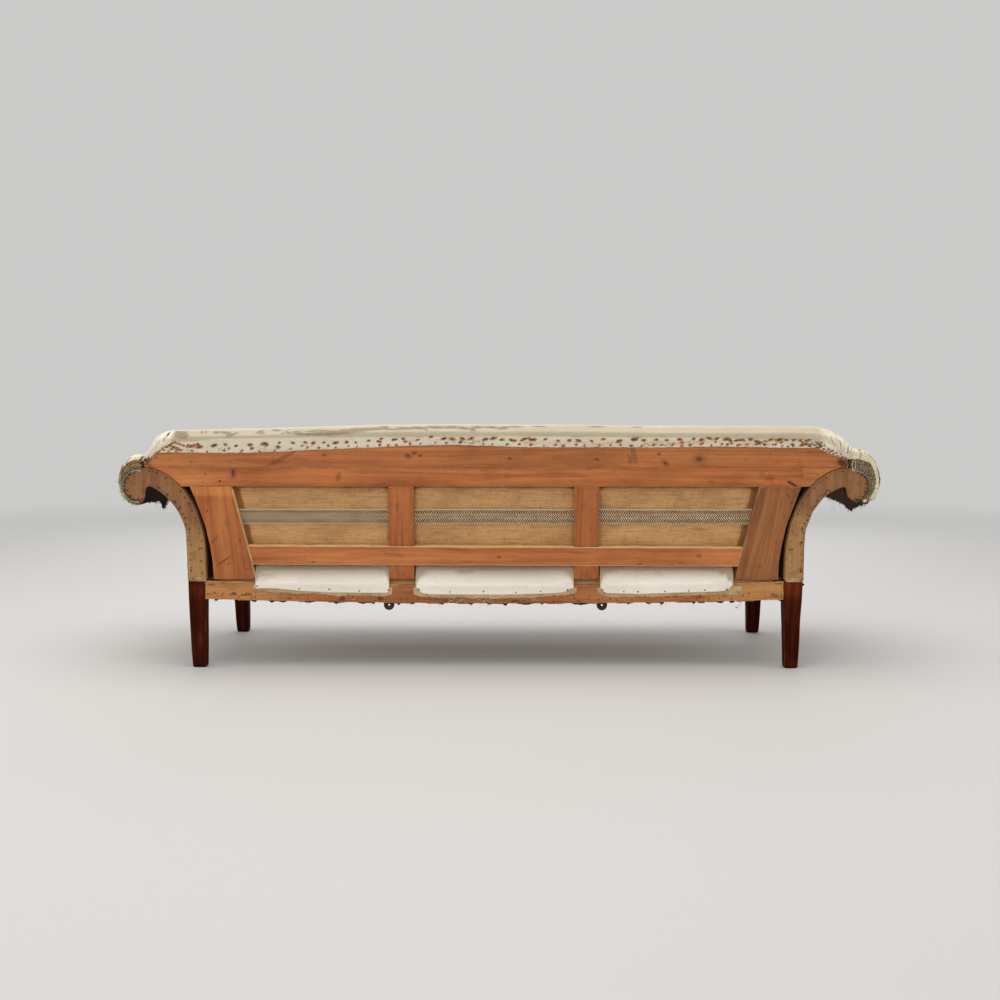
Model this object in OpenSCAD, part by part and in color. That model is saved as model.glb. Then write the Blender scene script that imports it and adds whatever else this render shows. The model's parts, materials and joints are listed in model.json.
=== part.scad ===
// Scroll-arm sofa frame, stripped back to calico, hessian and bare wood.
// Millimetres, +Z up. The seat faces -Y, and +X is at the right hand of a person looking at the seat.
// The origin is on the floor under the middle of the whole sofa.

/* [Seat frame] */
// Length between the inner faces of the two legs on one side
leg_gap = 1736; // [1500:1:1900]
// Depth over the legs, front face to rear face
frame_d = 710; // [640:1:780]
// Width and depth of a leg at its top
leg_w = 50; // [44:1:56]
// Width and depth of a leg at the floor
leg_foot = 38; // [32:1:42]
// Height of the legs, up to the arm boards
leg_h = 261; // [230:1:290]
// Height of a seat rail
rail_h = 55; // [50:1:60]
// Thickness of a seat rail
rail_t = 32; // [28:1:36]
// How far the long rails have sagged at the middle
rail_sag = 12; // [0:1:16]

/* [Back] */
// Lean of the back and of the rear arm boards, in degrees
rake = 10; // [4:1:14]
// Thickness of the boards of the back frame
board_t = 22; // [18:1:26]
// Width of a middle upright
muntin_w = 74; // [60:1:90]
// Middle of the upright at the +X side
muntin_right_x = 280; // [240:1:320]
// Middle of the upright at the -X side, as a distance
muntin_left_x = 273; // [240:1:320]
// Thickness of the stuffing on the back
back_pad = 55; // [35:1:70]

/* [Arms] */
// Thickness of an arm board
arm_t = 28; // [24:1:32]
// Radius of the wooden scroll at the end of an arm board
scroll_r = 50; // [44:1:52]
// Thickness of the stuffing on the inside of an arm
arm_pad = 32; // [20:1:36]

/* [Seat] */
// Height of the seat's top
seat_top = 408; // [380:1:430]
// Rows of springs from front to rear
spring_rows = 3; // [2:1:3]
// Width of the webbing
web_w = 50; // [38:1:52]

/* [Fixings] */
// Radius of the hole in an eye plate
eye_r = 3; // [2:0.1:4]
// Thickness of an eye plate
eye_t = 4; // [3:0.5:5]

/* [Hidden] */
$fn = 48;

e = 0.01;
y_off = -31.5;                      // puts the origin under the middle of the padded sofa
y_rear = frame_d/2 + y_off;         // rear face of the rear legs
y_front = -frame_d/2 + y_off;       // front face of the front legs
x_leg = leg_gap/2;                  // inner face of a leg
x_arm = x_leg + 1;                  // inner edge of an arm board
zr = leg_h - 1;                     // top of the seat rails at their ends
zb = zr - rail_h;                   // underside of the seat rails at their ends
ck = cos(rake);
cloth = 2;

pine = [0.66, 0.38, 0.23];
pine_dark = [0.55, 0.33, 0.2];
walnut = [0.5, 0.3, 0.18];
beech = [0.7, 0.5, 0.3];
mahogany = [0.2, 0.08, 0.05];
calico = [0.87, 0.83, 0.74];
hessian = [0.68, 0.51, 0.32];
web_col = [0.5, 0.45, 0.37];
iron = [0.12, 0.1, 0.09];
rust = [0.35, 0.17, 0.08];
fibre = [0.45, 0.33, 0.2];
steel = [0.45, 0.43, 0.4];

// sag of a long rail at x
function sag(x) = rail_sag*(1 - pow(min(1, abs(x)/x_leg), 2));
function arc(cx, cy, a, b, t0, t1, n) = [for (i = [0:n]) let (t = t0 + (t1 - t0)*i/n) [cx + a*cos(t), cy + b*sin(t)]];
function flip(l) = [for (i = [len(l)-1:-1:0]) l[i]];
function squeeze(l, k) = [for (p = l) [p[0], p[1]*k]];
// value of a table [[angle, radius], ...] with falling angles, at angle t
function look(tab, t, i = 0) = i >= len(tab) - 2 || t >= tab[i+1][0]
    ? tab[i][1] + (tab[i+1][1] - tab[i][1])*(tab[i][0] - t)/(tab[i][0] - tab[i+1][0]) : look(tab, t, i + 1);

// The arm's section. First number: distance outwards from the board's inner edge. Second: height above the leg.
sc = [191.5, 291];                  // centre of the scroll
neck_in = [175, 80, 175, 267];      // ellipse of the inner edge: centre, half width, half height
neck_out = [200, 130, 150, 155];    // ellipse of the outer edge
function neck_inner(g = 0, n = 20) = arc(neck_in[0], neck_in[1], neck_in[2] + g, neck_in[3] + g, 180, 90, n);
function board_outline(k = 1) = squeeze(concat([[0, -8]], neck_inner(),
    arc(sc[0], sc[1], scroll_r, scroll_r, 74, -160, 40),
    arc(neck_out[0], neck_out[1], neck_out[2], neck_out[3], 111, 180, 16), [[50, -8]]), k);
// Radius of the padding round the scroll, from its top to its underside
pad_right = [[90, 85], [70, 84], [45, 73], [20, 64], [0, 61], [-30, 64], [-60, 63], [-90, 58]];
pad_left = [[90, 110], [70, 109], [45, 98], [20, 84], [0, 78], [-30, 73], [-60, 72], [-90, 72]];
function pad_top(tab) = sc[1] + tab[0][1] - neck_in[1] - neck_in[3];
function pad_outer(tab, g = 0) = concat([[-arm_pad - g, 34]],
    arc(neck_in[0], neck_in[1], neck_in[2] + arm_pad + g, neck_in[3] + pad_top(tab) + g, 180, 97, 20),
    [for (i = [0:20]) let (t = 88 - 178*i/20) [sc[0] + (look(tab, t) + g)*cos(t), sc[1] + (look(tab, t) + g)*sin(t)]]);
function pad_inner(g) = concat([for (i = [0:16]) let (t = -90 + 164*i/16) [sc[0] + (scroll_r + g)*cos(t), sc[1] + (scroll_r + g)*sin(t)]],
    flip(neck_inner(g)), [[-g, 34]]);

module along_x(x0, x1) { translate([x0, 0, 0]) rotate([90, 0, 90]) linear_extrude(x1 - x0) children(); }
module along_y(y0, y1) { translate([0, y1, 0]) rotate([90, 0, 0]) linear_extrude(y1 - y0) children(); }
// local frame of the leaning back: x, distance outwards from the rear face, height up the slope
module raked() { translate([0, y_rear, leg_h]) rotate([-rake, 0, 0]) children(); }
module sides(s) { if (s > 0) children(); else mirror([1, 0, 0]) children(); }
// everything behind the plane that lies d inside the leaning rear face
module behind(d) { raked() translate([-1400, -d, -400]) cube([2800, 400, 1200]); }
module box(a, b) { translate(a) cube([b[0]-a[0], b[1]-a[1], b[2]-a[2]]); }

// ---- legs ----
module leg(s, front) {
    yo = front ? y_front : y_rear;      // outer face in Y
    d = front ? 1 : -1;
    f = leg_foot;
    color(mahogany) sides(s) difference() {
        intersection() {
            along_y(min(yo, yo + d*leg_w), max(yo, yo + d*leg_w)) polygon([[x_leg + 3, 0], [x_leg + f - 3, 0], [x_leg + f, 4],
                [x_leg + leg_w, zb], [x_leg + leg_w, leg_h], [x_leg, leg_h], [x_leg, 4]]);
            along_x(x_leg - 1, x_leg + leg_w + 1) polygon(front
                ? [[yo + 3, 0], [yo + f - 3, 0], [yo + f, 4], [yo + leg_w, zb], [yo + leg_w, leg_h], [yo, leg_h], [yo, 4]]
                : [[yo - 3, 0], [yo, 4], [yo, leg_h], [yo - leg_w, leg_h], [yo - leg_w, zb], [yo - f, 4], [yo - f + 3, 0]]);
        }
        // mortises for the long rail and for the end rail
        box([x_leg - 1, min(yo + d*12, yo + d*24), zb + 8], [x_leg + 23, max(yo + d*12, yo + d*24), zr - 8]);
        box([x_leg + 27, min(yo + d*28, yo + d*(leg_w + 1)), zb + 8], [x_leg + 39, max(yo + d*28, yo + d*(leg_w + 1)), zr - 8]);
        // dowel holes
        for (x = [13, 37]) translate([x_leg + x, yo + d*14, leg_h - 21]) cylinder(r = 5.1, h = 30);
    }
}
module leg_front_left() leg(-1, true);
module leg_front_right() leg(1, true);
module leg_rear_left() leg(-1, false);
module leg_rear_right() leg(1, false);

// ---- seat frame ----
yt = y_rear - 1.5 - rail_t;          // inner face of the rear rail
yf = y_front + 1.5 + rail_t;         // inner face of the front rail
brace_x = 266;
function rail_pts() = let (xs = [for (i = [0:24]) -x_leg + 2*x_leg*i/24])
    concat([for (x = xs) [x, zb - sag(x)]], [for (x = flip(xs)) [x, zr - sag(x)]]);
module long_rail(y0, ty, ny) {
    difference() {
        union() {
            along_y(y0, y0 + rail_t) polygon(rail_pts());
            for (s = [-1, 1]) sides(s) box([x_leg - 6, ty, zb + 8.2], [x_leg + 22, ty + 11.6, zr - 8.2]);
        }
        // blind mortises for the braces
        for (s = [-1, 1]) sides(s) box([brace_x - 0.2, ny - 10.7, zb + 4], [brace_x + 28.2, ny + 10.7, zb + 38.2]);
    }
}
module seat_rail_rear() color(beech) long_rail(y_rear - 1.5 - rail_t, y_rear - 23.8, yt + 9.5);
module seat_rail_front() color(beech) long_rail(y_front + 1.5, y_front + 12.2, yf - 9.5);
module end_rail(s) {
    color(beech) sides(s) {
        x0 = x_leg + leg_w - 2 - rail_t;
        box([x0, y_front + leg_w, zb], [x0 + rail_t, y_rear - leg_w, zr]);
        box([x_leg + 27.2, y_rear - leg_w - 6, zb + 8.2], [x_leg + 38.8, y_rear - 29, zr - 8.2]);
        box([x_leg + 27.2, y_front + 29, zb + 8.2], [x_leg + 38.8, y_front + leg_w + 6, zr - 8.2]);
    }
}
module seat_rail_left() end_rail(-1);
module seat_rail_right() end_rail(1);
// braces between the long rails, let into them
module cross_brace(s) {
    color(pine_dark) sides(s) {
        box([brace_x, yf - 20, zb + 4.2], [brace_x + 28, yt + 20, zb + 38]);
    }
}
module cross_brace_left() cross_brace(-1);
module cross_brace_right() cross_brace(1);
module corner_blocks() color(pine_dark) for (sx = [-1, 1], f = [0, 1]) sides(sx) {
    yi = f == 1 ? y_front + leg_w : y_rear - leg_w;
    d = f == 1 ? 1 : -1;
    translate([0, 0, zb + 6]) linear_extrude(40) polygon([[x_leg - 0.3, yi + d*0.3 - d*(leg_w - rail_t - 2.2)], [x_leg - 0.3, yi + d*0.3],
        [x_leg + leg_w - 2.3 - rail_t, yi + d*0.3], [x_leg + leg_w - 2.3 - rail_t, yi + d*52], [x_leg - 58, yi - d*(leg_w - rail_t - 2.2) + d*0.3]]);
}

// ---- arms ----
module arm_board(s, front) {
    color(beech) sides(s) difference() {
        if (front) translate([x_arm, 0, leg_h]) along_y(y_front, y_front + arm_t) polygon(board_outline(ck));
        else raked() translate([x_arm, 0, 0]) along_y(-arm_t, 0) polygon(board_outline());
        box([x_arm - 20, y_front - 20, leg_h - 60], [x_arm + 120, y_rear + 60, leg_h]);
        for (x = [13, 37]) translate([x_leg + x, front ? y_front + 14 : y_rear - 14, leg_h - 5]) cylinder(r = 5.1, h = 26);
    }
}
module arm_board_front_left() arm_board(-1, true);
module arm_board_front_right() arm_board(1, true);
module arm_board_rear_left() arm_board(-1, false);
module arm_board_rear_right() arm_board(1, false);
module arm_dowels() color(beech) for (s = [-1, 1], f = [0, 1], x = [13, 37]) sides(s)
    translate([x_leg + x, f == 1 ? y_front + 14 : y_rear - 14, leg_h - 20]) cylinder(r = 5, h = 40);
// round rail inside the scroll, from board to board
module arm_roll(s) color(pine_dark) sides(s) difference() {
    translate([x_arm + sc[0], y_front + arm_t, leg_h + sc[1]*ck]) rotate([-90, 0, 0]) cylinder(r = scroll_r - 12, h = frame_d, $fn = 64);
    behind(arm_t);
}
module arm_roll_left() arm_roll(-1);
module arm_roll_right() arm_roll(1);
// lower rail of the arm, which takes the ends of its cloths
module arm_tack_rail(s) color(beech) sides(s) difference() {
    box([x_arm + 2.5, y_front + arm_t, leg_h + 40], [x_arm + 24, y_rear + 40, leg_h + 84]);
    behind(arm_t);
}
module arm_tack_rail_left() arm_tack_rail(-1);
module arm_tack_rail_right() arm_tack_rail(1);
// a thin sheet that follows the inner edge of the boards from the tack rail to the top of the roll
function skin_pts(a, b) = squeeze(concat([[-a, 42]], arc(neck_in[0], neck_in[1], neck_in[2] + a, neck_in[3] + a, 180, 92, 22),
    flip(arc(neck_in[0], neck_in[1], neck_in[2] + b, neck_in[3] + b, 180, 92, 22)), [[-b, 42]]), ck);
module arm_webbing(s) color(web_col) sides(s) translate([x_arm, 0, leg_h])
    for (y = [y_front + 110, y_front + 285, y_front + 460]) along_y(y, y + web_w) polygon(skin_pts(0, -cloth));
module arm_webbing_left() arm_webbing(-1);
module arm_webbing_right() arm_webbing(1);
module arm_hessian(s) color(hessian) sides(s) difference() {
    translate([x_arm, 0, leg_h]) along_y(y_front + 1, y_rear + 90) polygon(skin_pts(cloth, 0.2));
    behind(board_t + 3 + cloth);
}
module arm_hessian_left() arm_hessian(-1);
module arm_hessian_right() arm_hessian(1);
// the padding reaches the rear face only beyond the end of the back
module arm_layer(s, o, i, d) sides(s) difference() {
    translate([x_arm, 0, leg_h]) along_y(y_front + 0.5, y_rear + 90) polygon(squeeze(concat(o, i), ck));
    behind(d);
    intersection() {
        behind(back_pad + board_t + 8);
        box([600, -100, leg_h], [x_arm + 178, 600, leg_h + 600]);
    }
}
module arm_stuffing(s) color(fibre) arm_layer(s, pad_outer(s > 0 ? pad_right : pad_left), pad_inner(cloth + 0.3), 1.5);
module arm_stuffing_left() arm_stuffing(-1);
module arm_stuffing_right() arm_stuffing(1);
module arm_cover(s) color(calico) let (t = s > 0 ? pad_right : pad_left) arm_layer(s, pad_outer(t, cloth + 0.1), flip(pad_outer(t, 0.1)), 0.5);
module arm_cover_left() arm_cover(-1);
module arm_cover_right() arm_cover(1);

// ---- back frame: x across, y outwards, z up the slope ----
seam = 348;                          // joint between the two long boards at the top
low_top = 290;                       // underside of the lower of them
mid_b = 48;  mid_t = 106;            // lower and upper edge of the middle rail
mid_drop = 5;                        // how far the middle rail drops towards -X
foot = 3;                            // where the uprights end, just clear of the seat rail
function stile_in(z) = 717.5 + 0.227*z;
function mid_z(x, z) = z + 2 - mid_drop*(740 - x)/1480;
module scribe(g) for (s = [-1, 1]) sides(s) translate([x_arm, 0, 0]) along_y(-60, 20)
    polygon(concat([[-g, -8]], neck_inner(g), [[sc[0] + 80, neck_in[1] + neck_in[3] + g], [sc[0] + 80, -8]]));
module back_top_board() color(pine) raked() difference() {
    along_y(-board_t, 0) polygon(concat([[-x_arm - 172, seam], [x_arm + 172, seam], [x_arm + 172, 384], [x_arm + 142, 396],
        [x_arm + 112, 424], [x_arm + 84, 444]], [for (i = [0:12]) let (x = 900 - 150*i) [x, 458 - 7*pow(x/900, 2)]],
        [[-x_arm - 84, 444], [-x_arm - 112, 424], [-x_arm - 142, 396], [-x_arm - 172, 384]]));
    for (s = [-1, 1]) screw_hole([s*(x_arm + 150), 0, 366]);
}
module back_top_rail() color(pine) raked() difference() {
    along_y(-board_t, 0) polygon([[-x_arm - 128, low_top], [x_arm + 128, low_top], [x_arm + 128, seam - 0.2], [-x_arm - 128, seam - 0.2]]);
    scribe(1.5);
    patch_shape(0.2);
    for (x = [muntin_right_x, -muntin_left_x]) box([x - 25.2, -board_t/2 - 4.2, low_top - 1], [x + 25.2, -board_t/2 + 4.2, low_top + 22.4]);
    for (s = [-1, 1], x = [818, 868]) screw_hole([s*x, 0, low_top + 16]);
}
// block let into the end of the lower board at -X
module patch_shape(g) box([-x_arm - 122 - g, -12 - g, 312 - g], [-910 + g, 1, seam - 0.4]);
module back_rail_patch() color(pine) raked() difference() {
    box([-x_arm - 122, -12, 312], [-910, 0, seam - 0.6]);
    scribe(1.7);
}
module back_mid_rail() color(pine) raked() difference() {
    along_y(-board_t, 0) polygon([[-stile_in(mid_z(-740, mid_b)) + 0.5, mid_z(-740, mid_b)], [stile_in(mid_z(740, mid_b)) - 0.5, mid_z(740, mid_b)],
        [stile_in(mid_z(740, mid_t)) - 0.5, mid_z(740, mid_t)], [-stile_in(mid_z(-740, mid_t)) + 0.5, mid_z(-740, mid_t)]]);
    // half laps over the uprights
    for (x = [muntin_right_x, -muntin_left_x]) box([x - muntin_w/2 - 0.2, -board_t - 1, mid_b - 20], [x + muntin_w/2 + 0.2, -board_t/2, mid_t + 20]);
}
module stile(s) color(s > 0 ? pine : walnut) raked() sides(s) difference() {
    along_y(-board_t, 0) polygon([[stile_in(foot), foot], [847, foot], [849, 60], [855, 110], [866, 165], [881, 215], [897, 260], [908, low_top - 0.3],
        [stile_in(low_top), low_top - 0.3]]);
    // worn arris along the opening
    along_y(-5, 1) polygon([[stile_in(foot) - 8, foot - 1], [stile_in(foot) + 3, foot - 1], [stile_in(low_top) + 3, low_top + 1], [stile_in(low_top) - 8, low_top + 1]]);
}
module back_stile_left() stile(-1);
module back_stile_right() stile(1);
module muntin(x) color(pine) raked() difference() {
    union() {
        box([x - muntin_w/2, -board_t, foot], [x + muntin_w/2, 0, low_top - 0.3]);
        box([x - 25, -board_t/2 - 4, low_top - 1], [x + 25, -board_t/2 + 4, low_top + 22]);
    }
    along_y(-board_t/2 - 0.2, 1) polygon([[x - muntin_w, mid_z(x - muntin_w, mid_b) - 0.2], [x + muntin_w, mid_z(x + muntin_w, mid_b) - 0.2],
        [x + muntin_w, mid_z(x + muntin_w, mid_t) + 0.2], [x - muntin_w, mid_z(x - muntin_w, mid_t) + 0.2]]);
}
module back_muntin_left() muntin(-muntin_left_x);
module back_muntin_right() muntin(muntin_right_x);
module screw_hole(p) translate(p) rotate([90, 0, 0]) { translate([0, 0, -1]) cylinder(r = 2.1, h = 40, $fn = 24); translate([0, 0, -0.01]) cylinder(r1 = 4.3, r2 = 2.1, h = 2.4, $fn = 24); }
module screw(p, l) translate(p) rotate([90, 0, 0]) difference() {
    union() { cylinder(r = 1.9, h = l, $fn = 24); cylinder(r1 = 4, r2 = 1.9, h = 2.1, $fn = 24); }
    translate([-5, -0.5, -1]) cube([10, 1, 1.9]);
}
module back_screws() color(steel) raked() {
    for (s = [-1, 1]) screw([s*(x_arm + 150), -0.2, 366], 21);
    for (s = [-1, 1], x = [818, 868]) screw([s*x, -0.2, low_top + 16], 21);
}

// ---- iron eye plates on the inside of the rear rail ----
eye_x = 308;
eye_z = 184;
module eye_plate(s) color(iron) sides(s) {
    y1 = y_rear - 1.5 - rail_t - 0.2;
    difference() {
        along_y(y1 - eye_t, y1) union() {
            translate([eye_x + 14, 0]) translate([-16, eye_z]) square([32, 46]);
            translate([eye_x + 14, eye_z]) circle(r = 16);
        }
        translate([eye_x + 14, y1 + 1, eye_z]) rotate([90, 0, 0]) cylinder(r = eye_r, h = eye_t + 2);
        for (dx = [-8, 8]) translate([eye_x + 14 + dx, y1 + 1, eye_z + 36]) rotate([90, 0, 0]) cylinder(r = 2.1, h = eye_t + 2, $fn = 24);
    }
}
module eye_plate_left() eye_plate(-1);
module eye_plate_right() eye_plate(1);
module eye_plate_screws() color(steel) for (s = [-1, 1], dx = [-8, 8]) sides(s)
    translate([eye_x + 14 + dx, y_rear - 1.5 - rail_t - 0.2 - eye_t, eye_z + 36]) rotate([-90, 0, 0])
        translate([0, 0, -2]) { cylinder(r = 4, h = 2, $fn = 24); cylinder(r = 1.9, h = 6, $fn = 24); }

// ---- cloths and stuffing of the back ----
module back_webbing() color(web_col) raked() along_y(-board_t - cloth, -board_t - 0.1)
    polygon([[-stile_in(172) - 20, 172], [stile_in(172) + 20, 172], [stile_in(220) + 20, 220], [-stile_in(220) - 20, 220]]);
module back_hessian() color(hessian) raked() along_y(-board_t - 2*cloth, -board_t - cloth - 0.1)
    polygon([[-stile_in(52) - 24, 52], [stile_in(52) + 24, 52], [stile_in(430) + 40, 430], [-stile_in(430) - 40, 430]]);
pad_y = board_t + 2*cloth + 0.2;     // rear side of the stuffing
roll = [-(back_pad + pad_y)/2 + 2, 432];  // centre of the rounded top
function back_round(g) = arc(roll[0], roll[1], (back_pad + pad_y)/2 + g, 45 + g, 180, 38, 18);
// outline of the padded back, seen from the rear; it clears the padded arms
function back_half(g) = concat([[x_arm - arm_pad - 8 + g, 66 - g], [x_arm - arm_pad - 6 + g, 150]],
    [for (t = [160, 145, 130, 118]) [x_arm + neck_in[0] + (neck_in[2] + arm_pad + 8 - g)*cos(t), neck_in[1] + (neck_in[3] + arm_pad + 26 - g)*sin(t)]],
    [[x_arm + 145, 384 - g], [x_arm + 172 + g, 384], [x_arm + 146 + g, 406 + g], [x_arm + 118 + g, 446 + g], [x_arm + 96 + g, 466 + g], [x_arm + 70, 500]]);
module back_outline(g) let (h = back_half(g)) polygon(concat(h, flip([for (p = h) [-p[0], p[1]]])));
module back_stuffing() color(fibre) raked() intersection() {
    along_x(-1100, 1100) polygon(concat([[-pad_y, 76], [-back_pad - pad_y + 14, 76], [-back_pad - pad_y + 2, 150]], back_round(0), [[-pad_y, 459.4]]));
    along_y(-200, 60) back_outline(0);
}
module back_cover() color(calico) raked() intersection() {
    along_x(-1100, 1100) polygon(concat([[-back_pad - pad_y + 14 - cloth, 74], [-back_pad - pad_y + 2 - cloth, 150]],
        back_round(cloth), [[cloth + 0.3, 460], [cloth + 0.3, 408], [0.3, 408], [0.3, 458.3]], flip(back_round(0.1)), [[-back_pad - pad_y + 1.9, 150], [-back_pad - pad_y + 13.9, 74]]));
    along_y(-200, 60) back_outline(cloth);
}
module tack(p, r = 2.4) translate(p) rotate([90, 0, 0]) { translate([0, 0, -0.9]) cylinder(r = r, h = 0.9, $fn = 16); translate([0, 0, -0.1]) cylinder(r = 0.7, h = 8, $fn = 13); }
module back_edge_tacks() color(rust) raked() for (i = [0:47]) translate([-926 + 39.4*i + 6*sin(i*137), 0, 0]) tack([0, cloth + 0.4, 418 + 5*sin(i*97)]);

// ---- seat ----
web_x = [0, 90, 180, 282, 390, 480, 570, 660, 750];
module seat_webbing_cross() color(web_col) for (s = [-1, 1], wx = web_x) if (s > 0 || wx > 0) let (x = s*wx) along_x(x - web_w/2, x + web_w/2)
    polygon([[y_front + 6, zb - sag(x) - 0.1], [y_front + 6, zb - sag(x) - cloth], [y_rear - 8, zb - sag(x) - cloth], [y_rear - 8, zb - sag(x) - 0.1]]);
function strip_pts() = let (xs = concat([-x_leg - 40], [for (i = [0:20]) -x_leg + 2*x_leg*i/20], [x_leg + 40]))
    concat([for (x = xs) [x, zb - sag(x) - cloth - 0.5]], [for (x = flip(xs)) [x, zb - sag(x) - 2*cloth - 0.4]]);
module seat_webbing_long() color(web_col) for (j = [-2:2]) let (y = (y_front + y_rear)/2 + 98*j) along_y(y - web_w/2, y + web_w/2) polygon(strip_pts());
spring_x = [-750, -570, -390, -180, 0, 180, 390, 570, 750];
spring_top = 344;
wire = 1;                            // wall that gives a spring the weight of its wire
module seat_springs() color(steel) for (x = spring_x, j = [0:spring_rows - 1])
    translate([x, (y_front + y_rear)/2 + 196*(j - (spring_rows - 1)/2), zb - sag(x) + 0.3])
        let (h = spring_top - zb + sag(x) - 3.4) rotate_extrude($fn = 32)
            polygon([[44 - wire, 0], [44, 0], [44, 6], [27, h/2], [44, h - 6], [44, h], [44 - wire, h], [44 - wire, h - 6], [27 - wire, h/2], [44 - wire, 6]]);
// cords that tie the springs' tops down, from rail to rail
module cord(a, b) { d = b - a; translate(a) rotate([0, acos(d[2]/norm(d)), atan2(d[1], d[0])]) cylinder(r = 1.1, h = norm(d), $fn = 13); }
module spring_twine() color([0.75, 0.65, 0.45]) {
    z = spring_top - 1.5;
    for (x = spring_x) { cord([x, yf + 38, z], [x, yt - 44, z]); cord([x, yf + 1, zr - 14], [x, yf + 38, z]); cord([x, yt - 44, z], [x, yt - 1, zr - 14]); }
    for (j = [0:spring_rows - 1]) cord([-794, (y_front + y_rear)/2 + 196*(j - (spring_rows - 1)/2), z], [794, (y_front + y_rear)/2 + 196*(j - (spring_rows - 1)/2), z]);
}
function tray(g) = [[y_front + 12, zr + 0.3 + g], [yf + 34, spring_top + g], [yt - 40, spring_top + g], [y_rear - 10, zr + 0.3 + g]];
module spring_hessian() color(hessian) along_x(-x_leg + 6, x_leg - 6) polygon(concat(tray(cloth), flip(tray(0.2))));
seat_x = x_arm - arm_pad - 3.6;
function seat_front(g) = concat([[y_front - 2 - g, zr + 3]], [[y_front - 9 - g, seat_top - 60]],
    arc(y_front + 27, seat_top - 36, 38 + g, 36 + g, 180, 96, 8));
module seat_stuffing() color(fibre) along_x(-seat_x, seat_x) polygon(concat(seat_front(0),
    [[-100, seat_top - 0.5], [120, seat_top - 4], [y_rear - 66, seat_top - 14], [y_rear - 69, spring_top + 9], [y_rear - 48, spring_top - 10], [y_rear - 9, zr + cloth + 3]], flip(tray(cloth + 0.3))));
module seat_cover() color(calico) along_x(-seat_x - 1.5, seat_x + 1.5) polygon(concat(
    [[y_front + 1.3, 224], [y_front + 1.3 - cloth, 224], [y_front - 2 - cloth - 0.1, zr + 3]], [for (p = seat_front(cloth)) if (p[1] > zr + 10) p],
    [[-100, seat_top + cloth - 0.5], [120, seat_top + cloth - 4], [y_rear - 66 + cloth, seat_top + cloth - 14],
     [y_rear - 66 + 0.1, seat_top - 13.9], [120, seat_top - 3.9], [-100, seat_top - 0.4]], flip([for (p = seat_front(0.1)) if (p[1] > zr + 10) p]), [[y_front - 2.1, zr + 3]]));
// three tails of the seat cloth, pulled through under the middle rail and tacked to the rear rail
tails = [[-712, -316], [-233, 238], [321, 722]];
module seat_cover_tails() color(calico) for (t = tails) let (z = -sag((t[0] + t[1])/2))
    along_x(t[0] + 3, t[1] - 3) polygon([[y_rear - 24, 318], [y_rear - 22, 318], [y_rear - 4, zr + 14 + z], [y_rear + 2.4, zr + 1 + z], [y_rear + 2.6, 228],
        [y_rear + 0.6, 228], [y_rear + 0.4, zr + 0.6 + z], [y_rear - 5.4, zr + 12.4 + z]]);
module hessian_tails() color(hessian) for (t = tails) along_x(t[0] - 8, t[1] + 4) polygon([[y_rear - 1.3, 214], [y_rear + 0.3, 214], [y_rear + 0.3, 246], [y_rear - 1.3, 246]]);
tail_x = [-711, -684, -640, -603, -536, -458, -416, -372, -325, -216, -136, -62, 35, 134, 228, 322, 410, 498, 588, 716];
module tail_tacks() color(iron) for (x = tail_x) tack([x, y_rear + 2.8, 231], 2.2);
module front_edge_tacks() color(iron) for (i = [0:40]) let (x = -800 + 40*i) translate([x, y_front - 0.9, 231]) rotate([0, 0, 180]) tack([0, 0, 0], 2.2);
// tacks left round the scrolls of the rear boards
module arm_board_tacks() color(rust) for (s = [-1, 1]) raked() sides(s) for (i = [0:9]) let (t = 40 - 22*i)
    tack([x_arm + sc[0] + (scroll_r - 7)*cos(t), 0.1, sc[1] + (scroll_r - 7)*sin(t)], 2);
// black cloth left in the notch under each scroll
module arm_fringes() color(iron) for (s = [-1, 1]) raked() sides(s) translate([x_arm, -14, 0]) along_y(-10, 0)
    polygon([[138, 250], [150, 252], [160, 247], [168, 238], [163, 222], [158, 214], [152, 206], [146, 222], [140, 232]]);
scrap_x = [-640, -470, -420, -350, -190, -120, -40, 30, 90, 180, 245, 395, 470, 560, 690];
module bottom_cloth_scraps() color(iron) for (i = [0:len(scrap_x) - 1]) let (x = scrap_x[i], w = 12 + 6*sin(i*71))
    along_x(x - w, x + w) polygon([[y_rear - 12, zb - sag(x) - 0.2], [y_rear - 5, zb - sag(x) - 0.2], [y_rear - 4, zb - sag(x) - 6], [y_rear - 6, zb - sag(x) - 6], [y_rear - 7, zb - sag(x) - 1.6], [y_rear - 12, zb - sag(x) - 1.6]]);

leg_front_left();
leg_front_right();
leg_rear_left();
leg_rear_right();
seat_rail_front();
seat_rail_rear();
seat_rail_left();
seat_rail_right();
cross_brace_left();
cross_brace_right();
corner_blocks();
arm_board_front_left();
arm_board_front_right();
arm_board_rear_left();
arm_board_rear_right();
arm_roll_left();
arm_roll_right();
arm_tack_rail_left();
arm_tack_rail_right();
arm_dowels();
back_top_board();
back_top_rail();
back_rail_patch();
back_mid_rail();
back_stile_left();
back_stile_right();
back_muntin_left();
back_muntin_right();
back_screws();
eye_plate_left();
eye_plate_right();
eye_plate_screws();
back_webbing();
back_hessian();
back_stuffing();
back_cover();
back_edge_tacks();
arm_webbing_left();
arm_webbing_right();
arm_hessian_left();
arm_hessian_right();
arm_stuffing_left();
arm_stuffing_right();
arm_cover_left();
arm_cover_right();
seat_webbing_long();
seat_webbing_cross();
seat_springs();
spring_twine();
spring_hessian();
seat_stuffing();
seat_cover();
seat_cover_tails();
hessian_tails();
tail_tacks();
front_edge_tacks();
arm_board_tacks();
arm_fringes();
bottom_cloth_scraps();
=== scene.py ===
import bpy, math, json
import numpy as np
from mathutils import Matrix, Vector
from mathutils.geometry import delaunay_2d_cdt

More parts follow.
